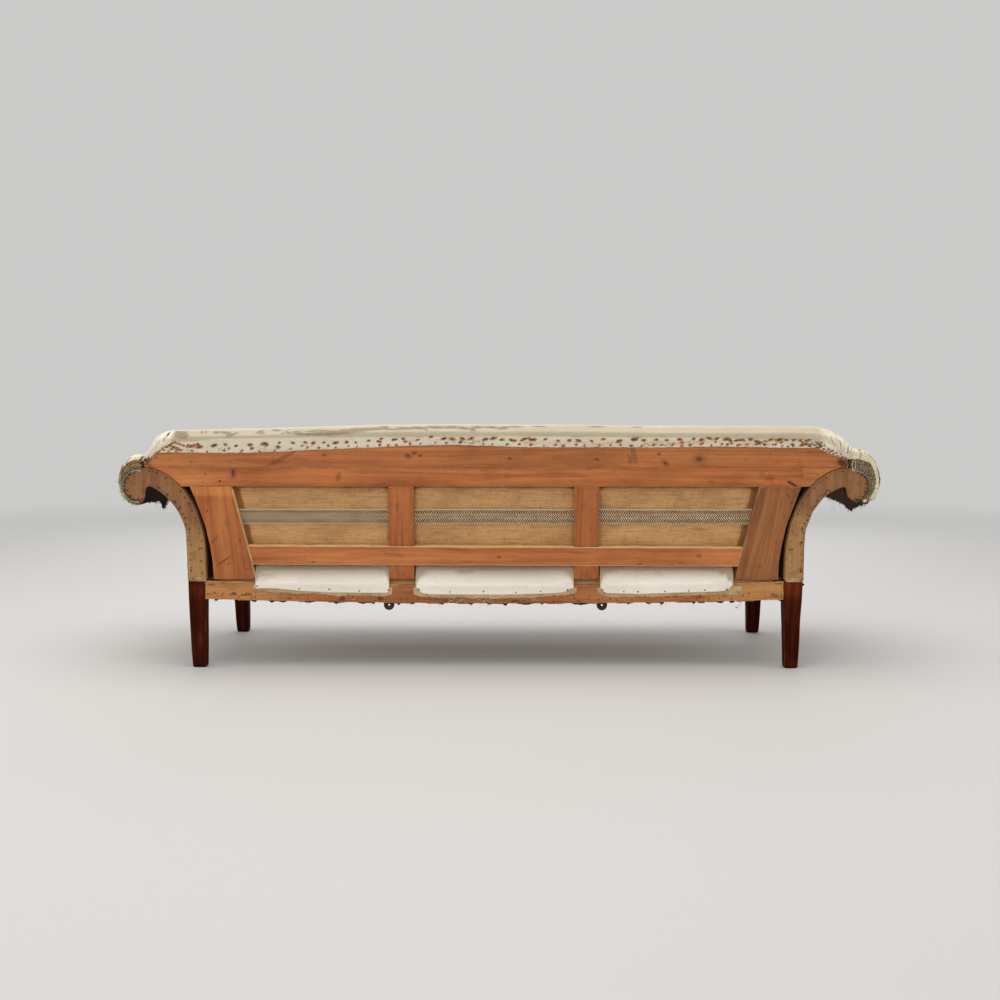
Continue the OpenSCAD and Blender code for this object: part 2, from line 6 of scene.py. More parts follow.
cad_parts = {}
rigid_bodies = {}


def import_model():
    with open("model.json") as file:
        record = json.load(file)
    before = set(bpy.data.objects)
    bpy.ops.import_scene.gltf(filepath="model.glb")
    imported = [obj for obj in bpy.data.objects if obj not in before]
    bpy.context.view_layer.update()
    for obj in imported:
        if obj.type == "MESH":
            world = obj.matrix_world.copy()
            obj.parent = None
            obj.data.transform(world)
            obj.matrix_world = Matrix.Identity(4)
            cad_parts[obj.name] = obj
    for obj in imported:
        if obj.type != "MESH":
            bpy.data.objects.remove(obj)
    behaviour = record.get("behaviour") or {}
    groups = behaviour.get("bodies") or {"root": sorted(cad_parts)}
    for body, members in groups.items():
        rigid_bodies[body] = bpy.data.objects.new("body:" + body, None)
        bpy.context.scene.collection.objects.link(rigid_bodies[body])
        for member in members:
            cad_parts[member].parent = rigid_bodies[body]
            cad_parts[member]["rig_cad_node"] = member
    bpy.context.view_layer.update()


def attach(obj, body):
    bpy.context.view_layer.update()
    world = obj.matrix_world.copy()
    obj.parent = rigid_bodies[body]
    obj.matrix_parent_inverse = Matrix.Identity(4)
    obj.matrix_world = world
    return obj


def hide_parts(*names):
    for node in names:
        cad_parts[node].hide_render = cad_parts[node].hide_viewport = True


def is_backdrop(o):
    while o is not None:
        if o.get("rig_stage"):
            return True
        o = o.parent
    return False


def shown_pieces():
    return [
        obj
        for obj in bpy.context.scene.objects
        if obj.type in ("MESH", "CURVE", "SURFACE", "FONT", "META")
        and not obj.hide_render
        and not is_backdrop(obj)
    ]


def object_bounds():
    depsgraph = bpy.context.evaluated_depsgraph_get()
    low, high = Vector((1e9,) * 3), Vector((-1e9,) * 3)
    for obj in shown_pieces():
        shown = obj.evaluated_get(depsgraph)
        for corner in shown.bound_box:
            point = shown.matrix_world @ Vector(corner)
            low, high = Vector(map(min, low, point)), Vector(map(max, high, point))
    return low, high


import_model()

# ------------------------------------------------------------------ frame
YO = -31.5                       # the origin lies under the middle of the padded sofa
YR, YF = 355 + YO, -355 + YO     # rear face of the rear legs, front face of the front legs
RAKE = math.radians(10)
CR, SR = math.cos(RAKE), math.sin(RAKE)
ZH = 261.0                       # top of the legs
XL = 868.0                       # inner face of a leg
XA = 869.0                       # inner edge of an arm board


def A(v):
    return np.asarray(v, float)


def rk(p):
    """local frame of the leaning back (x, y outwards, u up the slope), mm -> row frame, m"""
    p = A(p)
    return np.stack([p[..., 0], YR + p[..., 1] * CR + p[..., 2] * SR, ZH - p[..., 1] * SR + p[..., 2] * CR], -1) / 1000


def wd(p):
    return A(p) / 1000


def sag(x):
    return 12 * (1 - np.minimum(1, np.abs(x) / XL) ** 2)


# ------------------------------------------------------------------ seeded noise
def _h(ix, iy, iz, seed):
    h = (ix * 374761393 + iy * 668265263 + iz * 1440662683 + seed * 974711) & 0xFFFFFFFF
    h = ((h ^ (h >> 13)) * 1274126177) & 0xFFFFFFFF
    return ((h ^ (h >> 16)) & 0xFFFFFF) / float(0xFFFFFF) * 2 - 1


def vn(x, y=0.0, z=0.0, seed=0):
    """smooth value noise, -1 to 1"""
    x, y, z = np.broadcast_arrays(A(x), A(y), A(z))
    fx, fy, fz = np.floor(x), np.floor(y), np.floor(z)
    ix, iy, iz = fx.astype(np.int64), fy.astype(np.int64), fz.astype(np.int64)
    tx, ty, tz = x - fx, y - fy, z - fz
    tx, ty, tz = (t * t * t * (t * (t * 6 - 15) + 10) for t in (tx, ty, tz))
    out = 0
    for a in (0, 1):
        for b in (0, 1):
            for c in (0, 1):
                w = (tx if a else 1 - tx) * (ty if b else 1 - ty) * (tz if c else 1 - tz)
                out = out + w * _h(ix + a, iy + b, iz + c, seed)
    return out


def fbm(x, y=0.0, z=0.0, seed=0, octaves=3):
    out, amp, f, tot = 0, 1.0, 1.0, 0.0
    for i in range(octaves):
        out = out + amp * vn(A(x) * f, A(y) * f, A(z) * f, seed + 17 * i)
        tot += amp
        amp *= 0.5
        f *= 2.03
    return out / tot


def sst(a, b, x):
    t = np.clip((A(x) - a) / (b - a), 0, 1)
    return t * t * (3 - 2 * t)


def tab(x, pts):
    pts = sorted(pts)
    return np.interp(x, [p[0] for p in pts], [p[1] for p in pts])


# ------------------------------------------------------------------ mesh helpers
def make(name, verts, faces, mat, attrs=None, smooth=True, node=(), slot=None, solid=None, offset=-1.0):
    me = bpy.data.meshes.new(name)
    verts = A(verts).reshape(-1, 3)
    me.from_pydata([tuple(v) for v in verts], [], [tuple(int(i) for i in f) for f in faces])
    for k, v in (attrs or {}).items():
        v = A(v)
        if v.ndim == 1:
            a = me.attributes.new(k, "FLOAT", "POINT")
            a.data.foreach_set("value", v.astype(np.float32))
        else:
            a = me.attributes.new(k, "FLOAT_VECTOR", "POINT")
            a.data.foreach_set("vector", v.astype(np.float32).ravel())
    me.polygons.foreach_set("use_smooth", [bool(smooth)] * len(me.polygons))
    me.validate(verbose=False)
    me.update()
    me.materials.append(mat)
    o = bpy.data.objects.new(name, me)
    bpy.context.scene.collection.objects.link(o)
    if solid:
        s = o.modifiers.new("thickness", "SOLIDIFY")
        s.thickness, s.offset = solid / 1000, offset
    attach(o, "root")
    if node:
        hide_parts(*([node] if isinstance(node, str) else node))
    return o


def grid_faces(nu, nv, wrap_u=False, wrap_v=False, base=0):
    """faces of a grid whose vertex (i, j) is i * nv + j"""
    i = np.arange(nu if wrap_u else nu - 1)
    j = np.arange(nv if wrap_v else nv - 1)
    I, J = np.meshgrid(i, j, indexing="ij")
    I2, J2 = (I + 1) % nu, (J + 1) % nv
    f = np.stack([I * nv + J, I2 * nv + J, I2 * nv + J2, I * nv + J2], -1).reshape(-1, 4)
    return (f + base).tolist()


class Join:
    """several small pieces gathered into one mesh"""
    def __init__(self):
        self.v, self.f, self.a, self.n = [], [], {}, 0

    def add(self, v, f, **attrs):
        v = A(v).reshape(-1, 3)
        self.v.append(v)
        self.f += [[int(i) + self.n for i in q] for q in f]
        for k, x in attrs.items():
            x = A(x)
            if x.ndim == 0:
                x = np.full(len(v), float(x))
            self.a.setdefault(k, []).append(x)
        self.n += len(v)

    def make(self, name, mat, **kw):
        return make(name, np.concatenate(self.v), self.f, mat, {k: np.concatenate(x) for k, x in self.a.items()}, **kw)


def tube(path, r, sides=6, caps=True):
    """closed tube round a path; r is a number or one per point"""
    p = A(path)
    n = len(p)
    r = np.broadcast_to(A(r), (n,))
    t = np.gradient(p, axis=0)
    t /= np.linalg.norm(t, axis=1)[:, None] + 1e-12
    up = np.array([0.0, 0.0, 1.0]) if abs(t[0][2]) < 0.9 else np.array([1.0, 0.0, 0.0])
    b = np.cross(t[0], up)
    b /= np.linalg.norm(b)
    v = []
    for i in range(n):
        b = b - t[i] * (b @ t[i])
        b /= np.linalg.norm(b) + 1e-12
        c = np.cross(t[i], b)
        a = np.arange(sides) / sides * 2 * math.pi
        v.append(p[i] + r[i] * (np.cos(a)[:, None] * b + np.sin(a)[:, None] * c))
    v = np.concatenate(v)
    f = grid_faces(n, sides, wrap_v=True)
    if caps:
        f += [list(range(sides))[::-1], [(n - 1) * sides + k for k in range(sides)]]
    return v, f


# ------------------------------------------------------------------ material helpers
class Mat:
    def __init__(self, name):
        self.m = bpy.data.materials.new(name)
        self.m.use_nodes = True
        self.t = self.m.node_tree
        self.t.nodes.clear()
        self.out = self.t.nodes.new("ShaderNodeOutputMaterial")
        self.b = self.t.nodes.new("ShaderNodeBsdfPrincipled")
        self.t.links.new(self.b.outputs[0], self.out.inputs[0])

    def put(self, sock, v):
        if v is None:
            return
        if isinstance(v, bpy.types.NodeSocket):
            self.t.links.new(v, sock)
        else:
            if hasattr(sock, "default_value"):
                if hasattr(sock.default_value, "__len__") and not hasattr(v, "__len__"):
                    v = [v] * len(sock.default_value)
                if hasattr(v, "__len__") and len(v) == 3 and len(sock.default_value) == 4:
                    v = list(v) + [1]
                sock.default_value = v

    def attr(self, name, out="Fac"):
        n = self.t.nodes.new("ShaderNodeAttribute")
        n.attribute_name = name
        return n.outputs[out]

    def math(self, op, a, b=None, c=None, clamp=False):
        n = self.t.nodes.new("ShaderNodeMath")
        n.operation, n.use_clamp = op, clamp
        self.put(n.inputs[0], a)
        if b is not None:
            self.put(n.inputs[1], b)
        if c is not None:
            self.put(n.inputs[2], c)
        return n.outputs[0]

    def vmath(self, op, a, b=None):
        n = self.t.nodes.new("ShaderNodeVectorMath")
        n.operation = op
        self.put(n.inputs[0], a)
        if b is not None:
            self.put(n.inputs[1], b)
        return n.outputs["Value"] if op in ("LENGTH", "DOT_PRODUCT", "DISTANCE") else n.outputs[0]

    def sep(self, v):
        n = self.t.nodes.new("ShaderNodeSeparateXYZ")
        self.put(n.inputs[0], v)
        return n.outputs

    def comb(self, x, y, z):
        n = self.t.nodes.new("ShaderNodeCombineXYZ")
        for s, v in zip(n.inputs, (x, y, z)):
            self.put(s, v)
        return n.outputs[0]

    def noise(self, v, scale=1.0, detail=2.0, rough=0.5, dist=0.0, out=0):
        n = self.t.nodes.new("ShaderNodeTexNoise")
        self.put(n.inputs["Vector"], v)
        for k, x in (("Scale", scale), ("Detail", detail), ("Roughness", rough), ("Distortion", dist)):
            self.put(n.inputs[k], x)
        return n.outputs[out]

    def voro(self, v, scale=1.0, rand=1.0, feature="F1", out="Distance"):
        n = self.t.nodes.new("ShaderNodeTexVoronoi")
        n.feature = feature
        self.put(n.inputs["Vector"], v)
        self.put(n.inputs["Scale"], scale)
        self.put(n.inputs["Randomness"], rand)
        return n.outputs[out]

    def mr(self, v, a, b, c=0.0, d=1.0, smooth=True):
        n = self.t.nodes.new("ShaderNodeMapRange")
        n.interpolation_type = "SMOOTHSTEP" if smooth else "LINEAR"
        for k, x in zip(("Value", "From Min", "From Max", "To Min", "To Max"), (v, a, b, c, d)):
            self.put(n.inputs[k], x)
        return n.outputs[0]

    def mix(self, f, a, b, mode="MIX"):
        n = self.t.nodes.new("ShaderNodeMix")
        n.data_type, n.blend_type = "RGBA", mode
        n.clamp_factor = True
        self.put(n.inputs[0], f)
        self.put(n.inputs[6], a)
        self.put(n.inputs[7], b)
        return n.outputs[2]

    def ramp(self, f, stops):
        n = self.t.nodes.new("ShaderNodeValToRGB")
        r = n.color_ramp
        while len(r.elements) < len(stops):
            r.elements.new(0.5)
        for e, (p, c) in zip(r.elements, stops):
            e.position = p
            e.color = (*c, 1) if hasattr(c, "__len__") else (c, c, c, 1)
        self.put(n.inputs[0], f)
        return n.outputs[0]

    def bump(self, h, dist, strength=1.0, normal=None):
        n = self.t.nodes.new("ShaderNodeBump")
        self.put(n.inputs["Height"], h)
        self.put(n.inputs["Distance"], dist)
        self.put(n.inputs["Strength"], strength)
        if normal is not None:
            self.put(n.inputs["Normal"], normal)
        return n.outputs[0]

    def set(self, **kw):
        for k, v in kw.items():
            self.put(self.b.inputs[k.replace("_", " ")], v)
        return self.m


def rgb(r, g, b):
    """a display colour, 0 to 255, as the linear value"""
    return tuple((c / 255 / 12.92) if c / 255 <= 0.04045 else ((c / 255 + 0.055) / 1.055) ** 2.4 for c in (r, g, b))


def wood(name, pale, mid, dark, pale2=None, mid2=None, dark2=None, streak=0.09, fibre=0.8, contrast=0.5, rough=0.62, wear=None, wear_w=3.0, coat=0.0, grime=0.35, bumpy=0.25, gain=(1, 1, 1), spec=0.3, chewed=(0.36, 0.62)):
    """gr: along, across and through the grain in mm; ed: distance to an arris; mk: dark marks, and painted shade where
    a board stands over a gap; tn: share of the second palette
    """
    m = Mat(name)
    pale, mid, dark, pale2, mid2, dark2, wear = (None if c is None else tuple(x * k for x, k in zip(c, gain)) for c in (pale, mid, dark, pale2, mid2, dark2, wear))
    g = m.attr("gr", "Vector")
    big = m.noise(m.vmath("MULTIPLY", g, (0.0035, 0.011, 0.011)), 1.0, 3, 0.55)
    shift = m.vmath("MULTIPLY", m.vmath("SUBTRACT", m.noise(m.vmath("MULTIPLY", g, (0.0016, 0.012, 0.012)), 1.0, 2, 0.5, out=1), (0.5, 0.5, 0.5)), (0.0, 55.0, 55.0))
    gw = m.vmath("ADD", g, shift)
    rings = m.noise(m.vmath("MULTIPLY", gw, (0.0012, streak, streak)), 1.0, 4, 0.62)
    fine = m.noise(m.vmath("MULTIPLY", gw, (0.012, fibre, fibre)), 1.0, 5, 0.65)
    pores = m.noise(m.vmath("MULTIPLY", g, (0.06, 1.9, 1.9)), 1.0, 2, 0.5)
    t = m.math("ADD", m.math("MULTIPLY", rings, 0.62), m.math("MULTIPLY", fine, 0.38))
    lo, hi = 0.5 - 0.26 * (1.2 - contrast), 0.5 + 0.26 * (1.2 - contrast)
    c = m.ramp(t, [(lo, dark), (0.5, mid), (hi, pale)])
    if pale2 is not None:
        c = m.mix(m.attr("tn"), c, m.ramp(t, [(lo, dark2), (0.5, mid2), (hi, pale2)]))
    c = m.mix(m.mr(pores, 0.6, 0.78), c, m.mix(1.0, c, (0.55, 0.5, 0.45), "MULTIPLY"))
    c = m.mix(1.0, c, m.ramp(big, [(0.25, (0.68, 0.63, 0.6)), (0.5, (1, 1, 1)), (0.76, (1.18, 1.17, 1.15))]), "MULTIPLY")
    # hand grime and dust in cloudy patches
    cloud = m.noise(m.vmath("MULTIPLY", g, (0.012, 0.03, 0.03)), 1.0, 5, 0.68, 0.6)
    c = m.mix(m.math("MULTIPLY", m.mr(cloud, 0.56, 0.72), grime), c, m.mix(1.0, c, (0.52, 0.46, 0.4), "MULTIPLY"))
    ed = m.attr("ed")
    chew = m.noise(m.vmath("MULTIPLY", g, (0.02, 0.09, 0.09)), 1.0, 4, 0.7)
    if wear is not None:
        w = m.math("MULTIPLY", m.mr(ed, wear_w, 0.0), m.mr(chew, *chewed))
        c = m.mix(m.math("MULTIPLY", w, 0.8), c, wear)
    dirt = m.math("MULTIPLY", m.mr(ed, 16.0, 0.0), m.mr(chew, 0.66, 0.5))
    c = m.mix(m.math("MULTIPLY", dirt, 0.25), c, m.mix(1.0, c, (0.5, 0.42, 0.36), "MULTIPLY"))
    mk = m.attr("mk")
    c = m.mix(mk, c, m.mix(1.0, m.mix(0.45, c, dark), (0.2, 0.15, 0.13), "MULTIPLY"))
    h = m.math("SUBTRACT", m.math("ADD", m.math("MULTIPLY", fine, 0.6), m.math("MULTIPLY", rings, 0.5)), m.math("MULTIPLY", m.mr(pores, 0.6, 0.8), 0.35))
    n = m.bump(h, 0.0006, bumpy)
    r = m.math("ADD", m.math("MULTIPLY", fine, 0.18), m.math("ADD", rough - 0.09, m.math("MULTIPLY", m.mr(cloud, 0.5, 0.75), 0.12)))
    m.set(Base_Color=c, Roughness=r, Normal=n)
    m.b.inputs["Specular IOR Level"].default_value = spec
    if coat:
        m.b.inputs["Coat Weight"].default_value = coat
        m.b.inputs["Coat Roughness"].default_value = 0.3
    return m.m


PINE = wood("pine", rgb(203, 136, 88), rgb(186, 113, 68), rgb(152, 82, 46), wear=rgb(196, 140, 98), contrast=0.42, grime=0.42, gain=(0.93, 0.93, 0.75))
PINE_RED = wood("pine_red", rgb(190, 118, 74), rgb(172, 98, 58), rgb(138, 72, 40), pale2=rgb(205, 138, 90), mid2=rgb(190, 118, 72), dark2=rgb(158, 88, 50), wear=rgb(190, 132, 90), contrast=0.5, grime=0.45, gain=(1.07, 1.07, 0.83))
EDGED = wood("pine_worn_edges", rgb(190, 118, 74), rgb(172, 98, 58), rgb(138, 72, 40), pale2=rgb(205, 138, 90), mid2=rgb(190, 118, 72), dark2=rgb(158, 88, 50), wear=rgb(232, 196, 158), contrast=0.46, grime=0.42, gain=(1.06, 1.06, 0.83), chewed=(0.24, 0.48))
WALNUT = wood("walnut", rgb(172, 118, 80), rgb(150, 96, 62), rgb(112, 66, 40), pale2=rgb(192, 130, 86), mid2=rgb(176, 110, 68), dark2=rgb(140, 80, 48), wear=rgb(196, 146, 104), contrast=0.5, grime=0.4, streak=0.1, fibre=1.1, gain=(0.92, 0.9, 0.74))
BEECH = wood("beech", rgb(176, 128, 88), rgb(152, 104, 70), rgb(112, 72, 48), pale2=rgb(206, 162, 110), mid2=rgb(188, 142, 92), dark2=rgb(150, 106, 64), wear=rgb(128, 98, 70), wear_w=4.0, contrast=0.3, grime=0.7, streak=0.06, gain=(0.86, 0.85, 0.74))
RAIL = wood("rail_wood", rgb(214, 160, 104), rgb(196, 138, 84), rgb(158, 100, 58), pale2=rgb(196, 122, 76), mid2=rgb(176, 100, 60), dark2=rgb(140, 72, 42), wear=rgb(226, 186, 140), contrast=0.45, grime=0.6, streak=0.12, gain=(0.86, 0.84, 0.74))
MAHOGANY = wood("mahogany", rgb(92, 44, 32), rgb(62, 26, 20), rgb(34, 14, 12), pale2=rgb(128, 68, 46), mid2=rgb(96, 46, 32), dark2=rgb(56, 26, 20), wear=rgb(120, 66, 44), wear_w=2.5, contrast=0.3, rough=0.42, coat=0.0, grime=0.3, gain=(0.95, 0.78, 0.55), spec=0.002)
INNER = wood("inner_pine", rgb(190, 142, 94), rgb(168, 118, 74), rgb(128, 84, 50), wear=rgb(200, 160, 116), contrast=0.4, grime=0.6)


# ------------------------------------------------------------------ boards
def area2(p):
    x, y = p[:, 0], p[:, 1]
    return 0.5 * np.sum(x * np.roll(y, -1) - np.roll(x, -1) * y)


def soften(p, r):
    """sharp corners of an outline become short arcs"""
    n, out = len(p), []
    for i in range(n):
        a, b, c = p[i - 1], p[i], p[(i + 1) % n]
        u, w = a - b, c - b
        lu, lw = np.linalg.norm(u), np.linalg.norm(w)
        u, w = u / lu, w / lw
        if abs(u @ w) < 0.93 and min(lu, lw) > 2.2 * r:
            p0, p2 = b + u * r, b + w * r
            for t in (0, 0.33, 0.67, 1.0):
                out.append((1 - t) ** 2 * p0 + 2 * t * (1 - t) * b + t * t * p2)
        else:
            out.append(b)
    return A(out)


def resample(p, step):
    out = []
    for i in range(len(p)):
        a, b = p[i], p[(i + 1) % len(p)]
        k = max(1, int(math.ceil(np.linalg.norm(b - a) / step)))
        for j in range(k):
            out.append(a + (b - a) * j / k)
    return A(out)


def inset(p, d):
    """points moved inwards by d (the outline runs anticlockwise)"""
    e1 = p - np.roll(p, 1, 0)
    e2 = np.roll(p, -1, 0) - p
    n1 = np.stack([-e1[:, 1], e1[:, 0]], 1) / (np.linalg.norm(e1, axis=1)[:, None] + 1e-9)
    n2 = np.stack([-e2[:, 1], e2[:, 0]], 1) / (np.linalg.norm(e2, axis=1)[:, None] + 1e-9)
    m = n1 + n2
    m /= np.linalg.norm(m, axis=1)[:, None] + 1e-9
    k = np.clip((m * n1).sum(1), 0.5, 1)
    return p + m * (d / k)[:, None]


def seg_dist(q, p):
    """distance of points q to the closed outline p, and whether they are inside"""
    d = np.full(len(q), 1e9)
    ins = np.zeros(len(q), bool)
    for i in range(len(p)):
        a, b = p[i], p[(i + 1) % len(p)]
        ab = b - a
        t = np.clip(((q - a) @ ab) / (ab @ ab + 1e-12), 0, 1)
        d = np.minimum(d, np.hypot(*(q - a - t[:, None] * ab).T))
        cond = (a[1] > q[:, 1]) != (b[1] > q[:, 1])
        with np.errstate(divide="ignore", invalid="ignore"):
            xi = (b[0] - a[0]) * (q[:, 1] - a[1]) / (b[1] - a[1]) + a[0]
        ins ^= cond & (q[:, 0] < xi)
    return d, ins


def board(name, outline, y0, y1, place, mat, grain=0, res=11.0, bev=1.3, marks=(), wob=0.35, node=(), slot=None, seed=0, tint=None, round_r=2.0, dents=0.35, ang=0.0, wall=1.0, dull=None, grime_and_gap_shade=None):
    """A sawn board. outline: points (a, b) in mm; y0, y1: its two faces along the third axis. place maps (a, y, b) to the row frame.
    marks: (a, b, radius a, radius b, turn, darkness, depth, face) with face 1 for y1 and 0 for y0."""
    rng = np.random.RandomState(100 + seed)
    p = A(outline)
    if area2(p) < 0:
        p = p[::-1]
    core = p
    p = resample(soften(p, round_r), res * 0.9)
    nrm = inset(p, 1.0) - p
    off = wob * fbm(p[:, 0] * 0.03, p[:, 1] * 0.03, seed=seed + 3) + 0.5 * wob * fbm(p[:, 0] * 0.15, p[:, 1] * 0.15, seed=seed + 5)
    p = p + nrm * off[:, None]
    n = len(p)
    prof = [(0.0, bev), (bev * 0.29, bev * 0.29), (bev, 0.0), (bev * 1.9, 0.0)]   # inset, depth from the face
    loops2d = [inset(p, a) if a else p for a, _ in prof]
    last = loops2d[-1]
    lo, hi = last.min(0), last.max(0)
    gx = np.arange(lo[0] + res * 0.5, hi[0], res)
    gy = np.arange(lo[1] + res * 0.5, hi[1], res * 0.92)
    G = np.stack(np.meshgrid(gx, gy, indexing="ij"), -1).reshape(-1, 2)
    G = G + rng.uniform(-0.28, 0.28, G.shape) * res
    d, ins = seg_dist(G, last)
    G = G[ins & (d > res * 0.5)]
    T = [] if abs(y1 - y0) > 0 else None
    V, F, ED, MK = [], [], [], []
    faces_idx = []
    for side in (1, 0):
        yf = y1 if side else y0
        sgn = 1.0 if side else -1.0
        use = [k for k in marks if (k[7] if len(k) > 7 else 1) == side]
        extra = []
        for k in use:
            a, b, ra, rb, turn = k[:5]
            ct, st_ = math.cos(turn), math.sin(turn)
            big = max(ra, rb)
            rings = [(0.0, 1), (0.5, 7), (1.0, 9), (1.45, 9)] if big < 5 else [(0.0, 1), (0.3, 8), (0.6, 12), (0.9, 16), (1.2, 18), (1.5, 18)]
            for rr, cnt in rings:
                th = np.arange(cnt) / cnt * 2 * math.pi + rng.uniform(0, 1)
                ex, ey = rr * ra * np.cos(th), rr * rb * np.sin(th)
                extra.append(np.stack([a + ex * ct - ey * st_, b + ex * st_ + ey * ct], 1))
        pts = G
        if extra:
            extra = np.concatenate(extra)
            de, ie = seg_dist(extra, last)
            extra = extra[ie & (de > 0.35)]
            if len(extra):
                # the coarse grid gives way to the marks
                keep = np.ones(len(G), bool)
                for k in use:
                    keep &= np.hypot(G[:, 0] - k[0], G[:, 1] - k[1]) > 1.6 * max(k[2], k[3])
                pts = np.concatenate([G[keep], extra])
        allp = np.concatenate([last, pts])
        vv, _, ff, ov, _, _ = delaunay_2d_cdt([Vector(q) for q in allp], [(i, (i + 1) % n) for i in range(n)], [], 1, 1e-4)
        vv = A([list(q) for q in vv])
        first = {}
        for out_i, src in enumerate(ov):
            for s in src:
                first.setdefault(s, out_i)
        d2, _ = seg_dist(vv, p)
        mk = np.zeros(len(vv))
        dep = np.zeros(len(vv))
        for k in use:
            a, b, ra, rb, turn, dark, depth = k[:7]
            ct, st_ = math.cos(turn), math.sin(turn)
            dx, dy = vv[:, 0] - a, vv[:, 1] - b
            q = np.hypot((dx * ct + dy * st_) / ra, (-dx * st_ + dy * ct) / rb)
            mk = np.maximum(mk, dark * sst(1.45, 0.75, q))
            dep = np.maximum(dep, depth * sst(1.0, 0.4, q))
        dent = dents * fbm(vv[:, 0] * 0.02, vv[:, 1] * 0.02, seed=seed + 11) * sst(0, 12, d2)
        yy = yf + sgn * (np.minimum(dent, 0.15) - dep)
        base = sum(len(x) for x in V)
        V.append(np.stack([vv[:, 0], yy, vv[:, 1]], 1))
        ED.append(d2)
        MK.append(mk)
        tri = [[i + base for i in f] for f in ff]
        if not side:
            tri = [f[::-1] for f in tri]
        F += tri
        ring3 = [base + first[i] for i in range(n)]
        rings_i = [ring3]
        for (a, dpt), loop in list(zip(prof, loops2d))[:3][::-1]:
            b0 = sum(len(x) for x in V)
            V.append(np.stack([loop[:, 0], np.full(n, yf - sgn * dpt), loop[:, 1]], 1))
            ED.append(np.full(n, a * 0.5))
            MK.append(np.zeros(n))
            cur = list(range(b0, b0 + n))
            prev = rings_i[-1]
            for i in range(n):
                j = (i + 1) % n
                q = [prev[i], cur[i], cur[j], prev[j]]
                F.append(q if side else q[::-1])
            rings_i.append(cur)
        faces_idx.append(rings_i[-1])
    # side wall
    ya, yb = y1 - bev, y0 + bev
    mids = max(1, int(round(abs(ya - yb) / 14)))
    prev = faces_idx[0]
    for k in range(1, mids + 1):
        if k == mids:
            cur = faces_idx[1]
        else:
            t = k / mids
            b0 = sum(len(x) for x in V)
            V.append(np.stack([p[:, 0], np.full(n, ya + (yb - ya) * t), p[:, 1]], 1))
            ED.append(np.full(n, min(t, 1 - t) * abs(ya - yb) * wall))
            MK.append(np.zeros(n))
            cur = list(range(b0, b0 + n))
        for i in range(n):
            j = (i + 1) % n
            F.append([prev[i], cur[i], cur[j], prev[j]])
        prev = cur
    V = np.concatenate(V)
    ED, MK = np.concatenate(ED), np.concatenate(MK)
    if dull is not None:
        ED = ED + 9.0 * dull(V)
    if grime_and_gap_shade is not None:
        MK = np.maximum(MK, grime_and_gap_shade(V))
    ct, st_ = math.cos(ang), math.sin(ang)
    ga, gb = V[:, 0] * ct + V[:, 2] * st_, -V[:, 0] * st_ + V[:, 2] * ct
    off3 = rng.uniform(-900, 900, 3)
    if grain == 0:
        gr = np.stack([ga, gb, V[:, 1]], 1)
    else:
        gr = np.stack([gb, ga, V[:, 1]], 1)
    attrs = {"gr": gr + off3, "ed": ED, "mk": np.clip(MK, 0, 1)}
    if tint is not None:
        attrs["tn"] = np.clip(tint(V), 0, 1)
    W = place(V)
    # the outline runs anticlockwise in (a, b); make sure faces look outwards
    o = make(name, W, F, mat, attrs, node=node, slot=slot)
    return o


def fix_normals():
    import bmesh
    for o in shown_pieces():
        if "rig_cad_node" in o or o.type != "MESH" or o.get("sheet"):
            continue
        bm = bmesh.new()
        bm.from_mesh(o.data)
        bmesh.ops.recalc_face_normals(bm, faces=bm.faces)
        bm.to_mesh(o.data)
        bm.free()


def holes(pts, r=1.5, dark=0.95, depth=1.6, jit=0.0, seed=1, face=1):
    rng = np.random.RandomState(seed)
    out = []
    for q in pts:
        a, b = q[0] + rng.uniform(-jit, jit), q[1] + rng.uniform(-jit, jit)
        rr = r * rng.uniform(0.75, 1.5)
        out.append((a, b, rr * rng.uniform(0.85, 1.3), rr, rng.uniform(0, 3.1), dark * rng.uniform(0.7, 1), depth * rng.uniform(0.5, 1.1), face))
    return out


# ------------------------------------------------------------------ the arm's section: outwards from the inner edge, height over the leg
SC = (191.5, 291.0)
PAD_R = [(90, 95), (78, 91), (63, 83), (45, 73.5), (20, 62.5), (0, 59), (-30, 57), (-60, 58.5), (-97, 55)]
PAD_L = [(90, 113), (71, 111), (54, 102), (38, 91), (22, 84), (0, 78), (-14, 76), (-30, 76), (-43, 68.5), (-50, 66), (-65, 63), (-80, 62), (-97, 62)]


def arc(cx, cy, a, b, t0, t1, n):
    t = np.radians(np.linspace(t0, t1, n + 1))
    return np.stack([cx + a * np.cos(t), cy + b * np.sin(t)], 1)


# the notch under the scroll and the outer edge, downwards
NOTCH = [(176.5, 250.5), (172.6, 262), (172, 272), (170, 282), (165, 288.6)]
OUT_R = NOTCH + [(156.5, 289), (143.5, 281.5), (128, 272.3), (108, 253.8), (97, 242.5), (87.5, 230), (77, 212.5), (68, 192.5), (60.5, 171), (57, 150), (56, 118), (56, 84), (55.8, 40), (55.8, 0.2)]
OUT_L = NOTCH + [(156.5, 286.5), (143.5, 280.3), (124, 270.6), (110, 261), (97.5, 246.5), (87, 231.5), (75, 213), (63, 180), (56.5, 160), (54.6, 140), (54, 110), (54, 82), (54.4, 40), (54.6, 0.2)]


def arm_outline(k=1.0, s=1):
    p = np.concatenate([[[0, 0.2]], arc(175, 80, 175, 267, 180, 90, 26)[0:], arc(*SC, 50, 50, 74, -101, 38), OUT_R if s > 0 else OUT_L])
    p[:, 0] -= 3.0 * sst(150, 60, p[:, 1]) * (p[:, 0] < 30) * (s < 0)
    return p * [1, k]


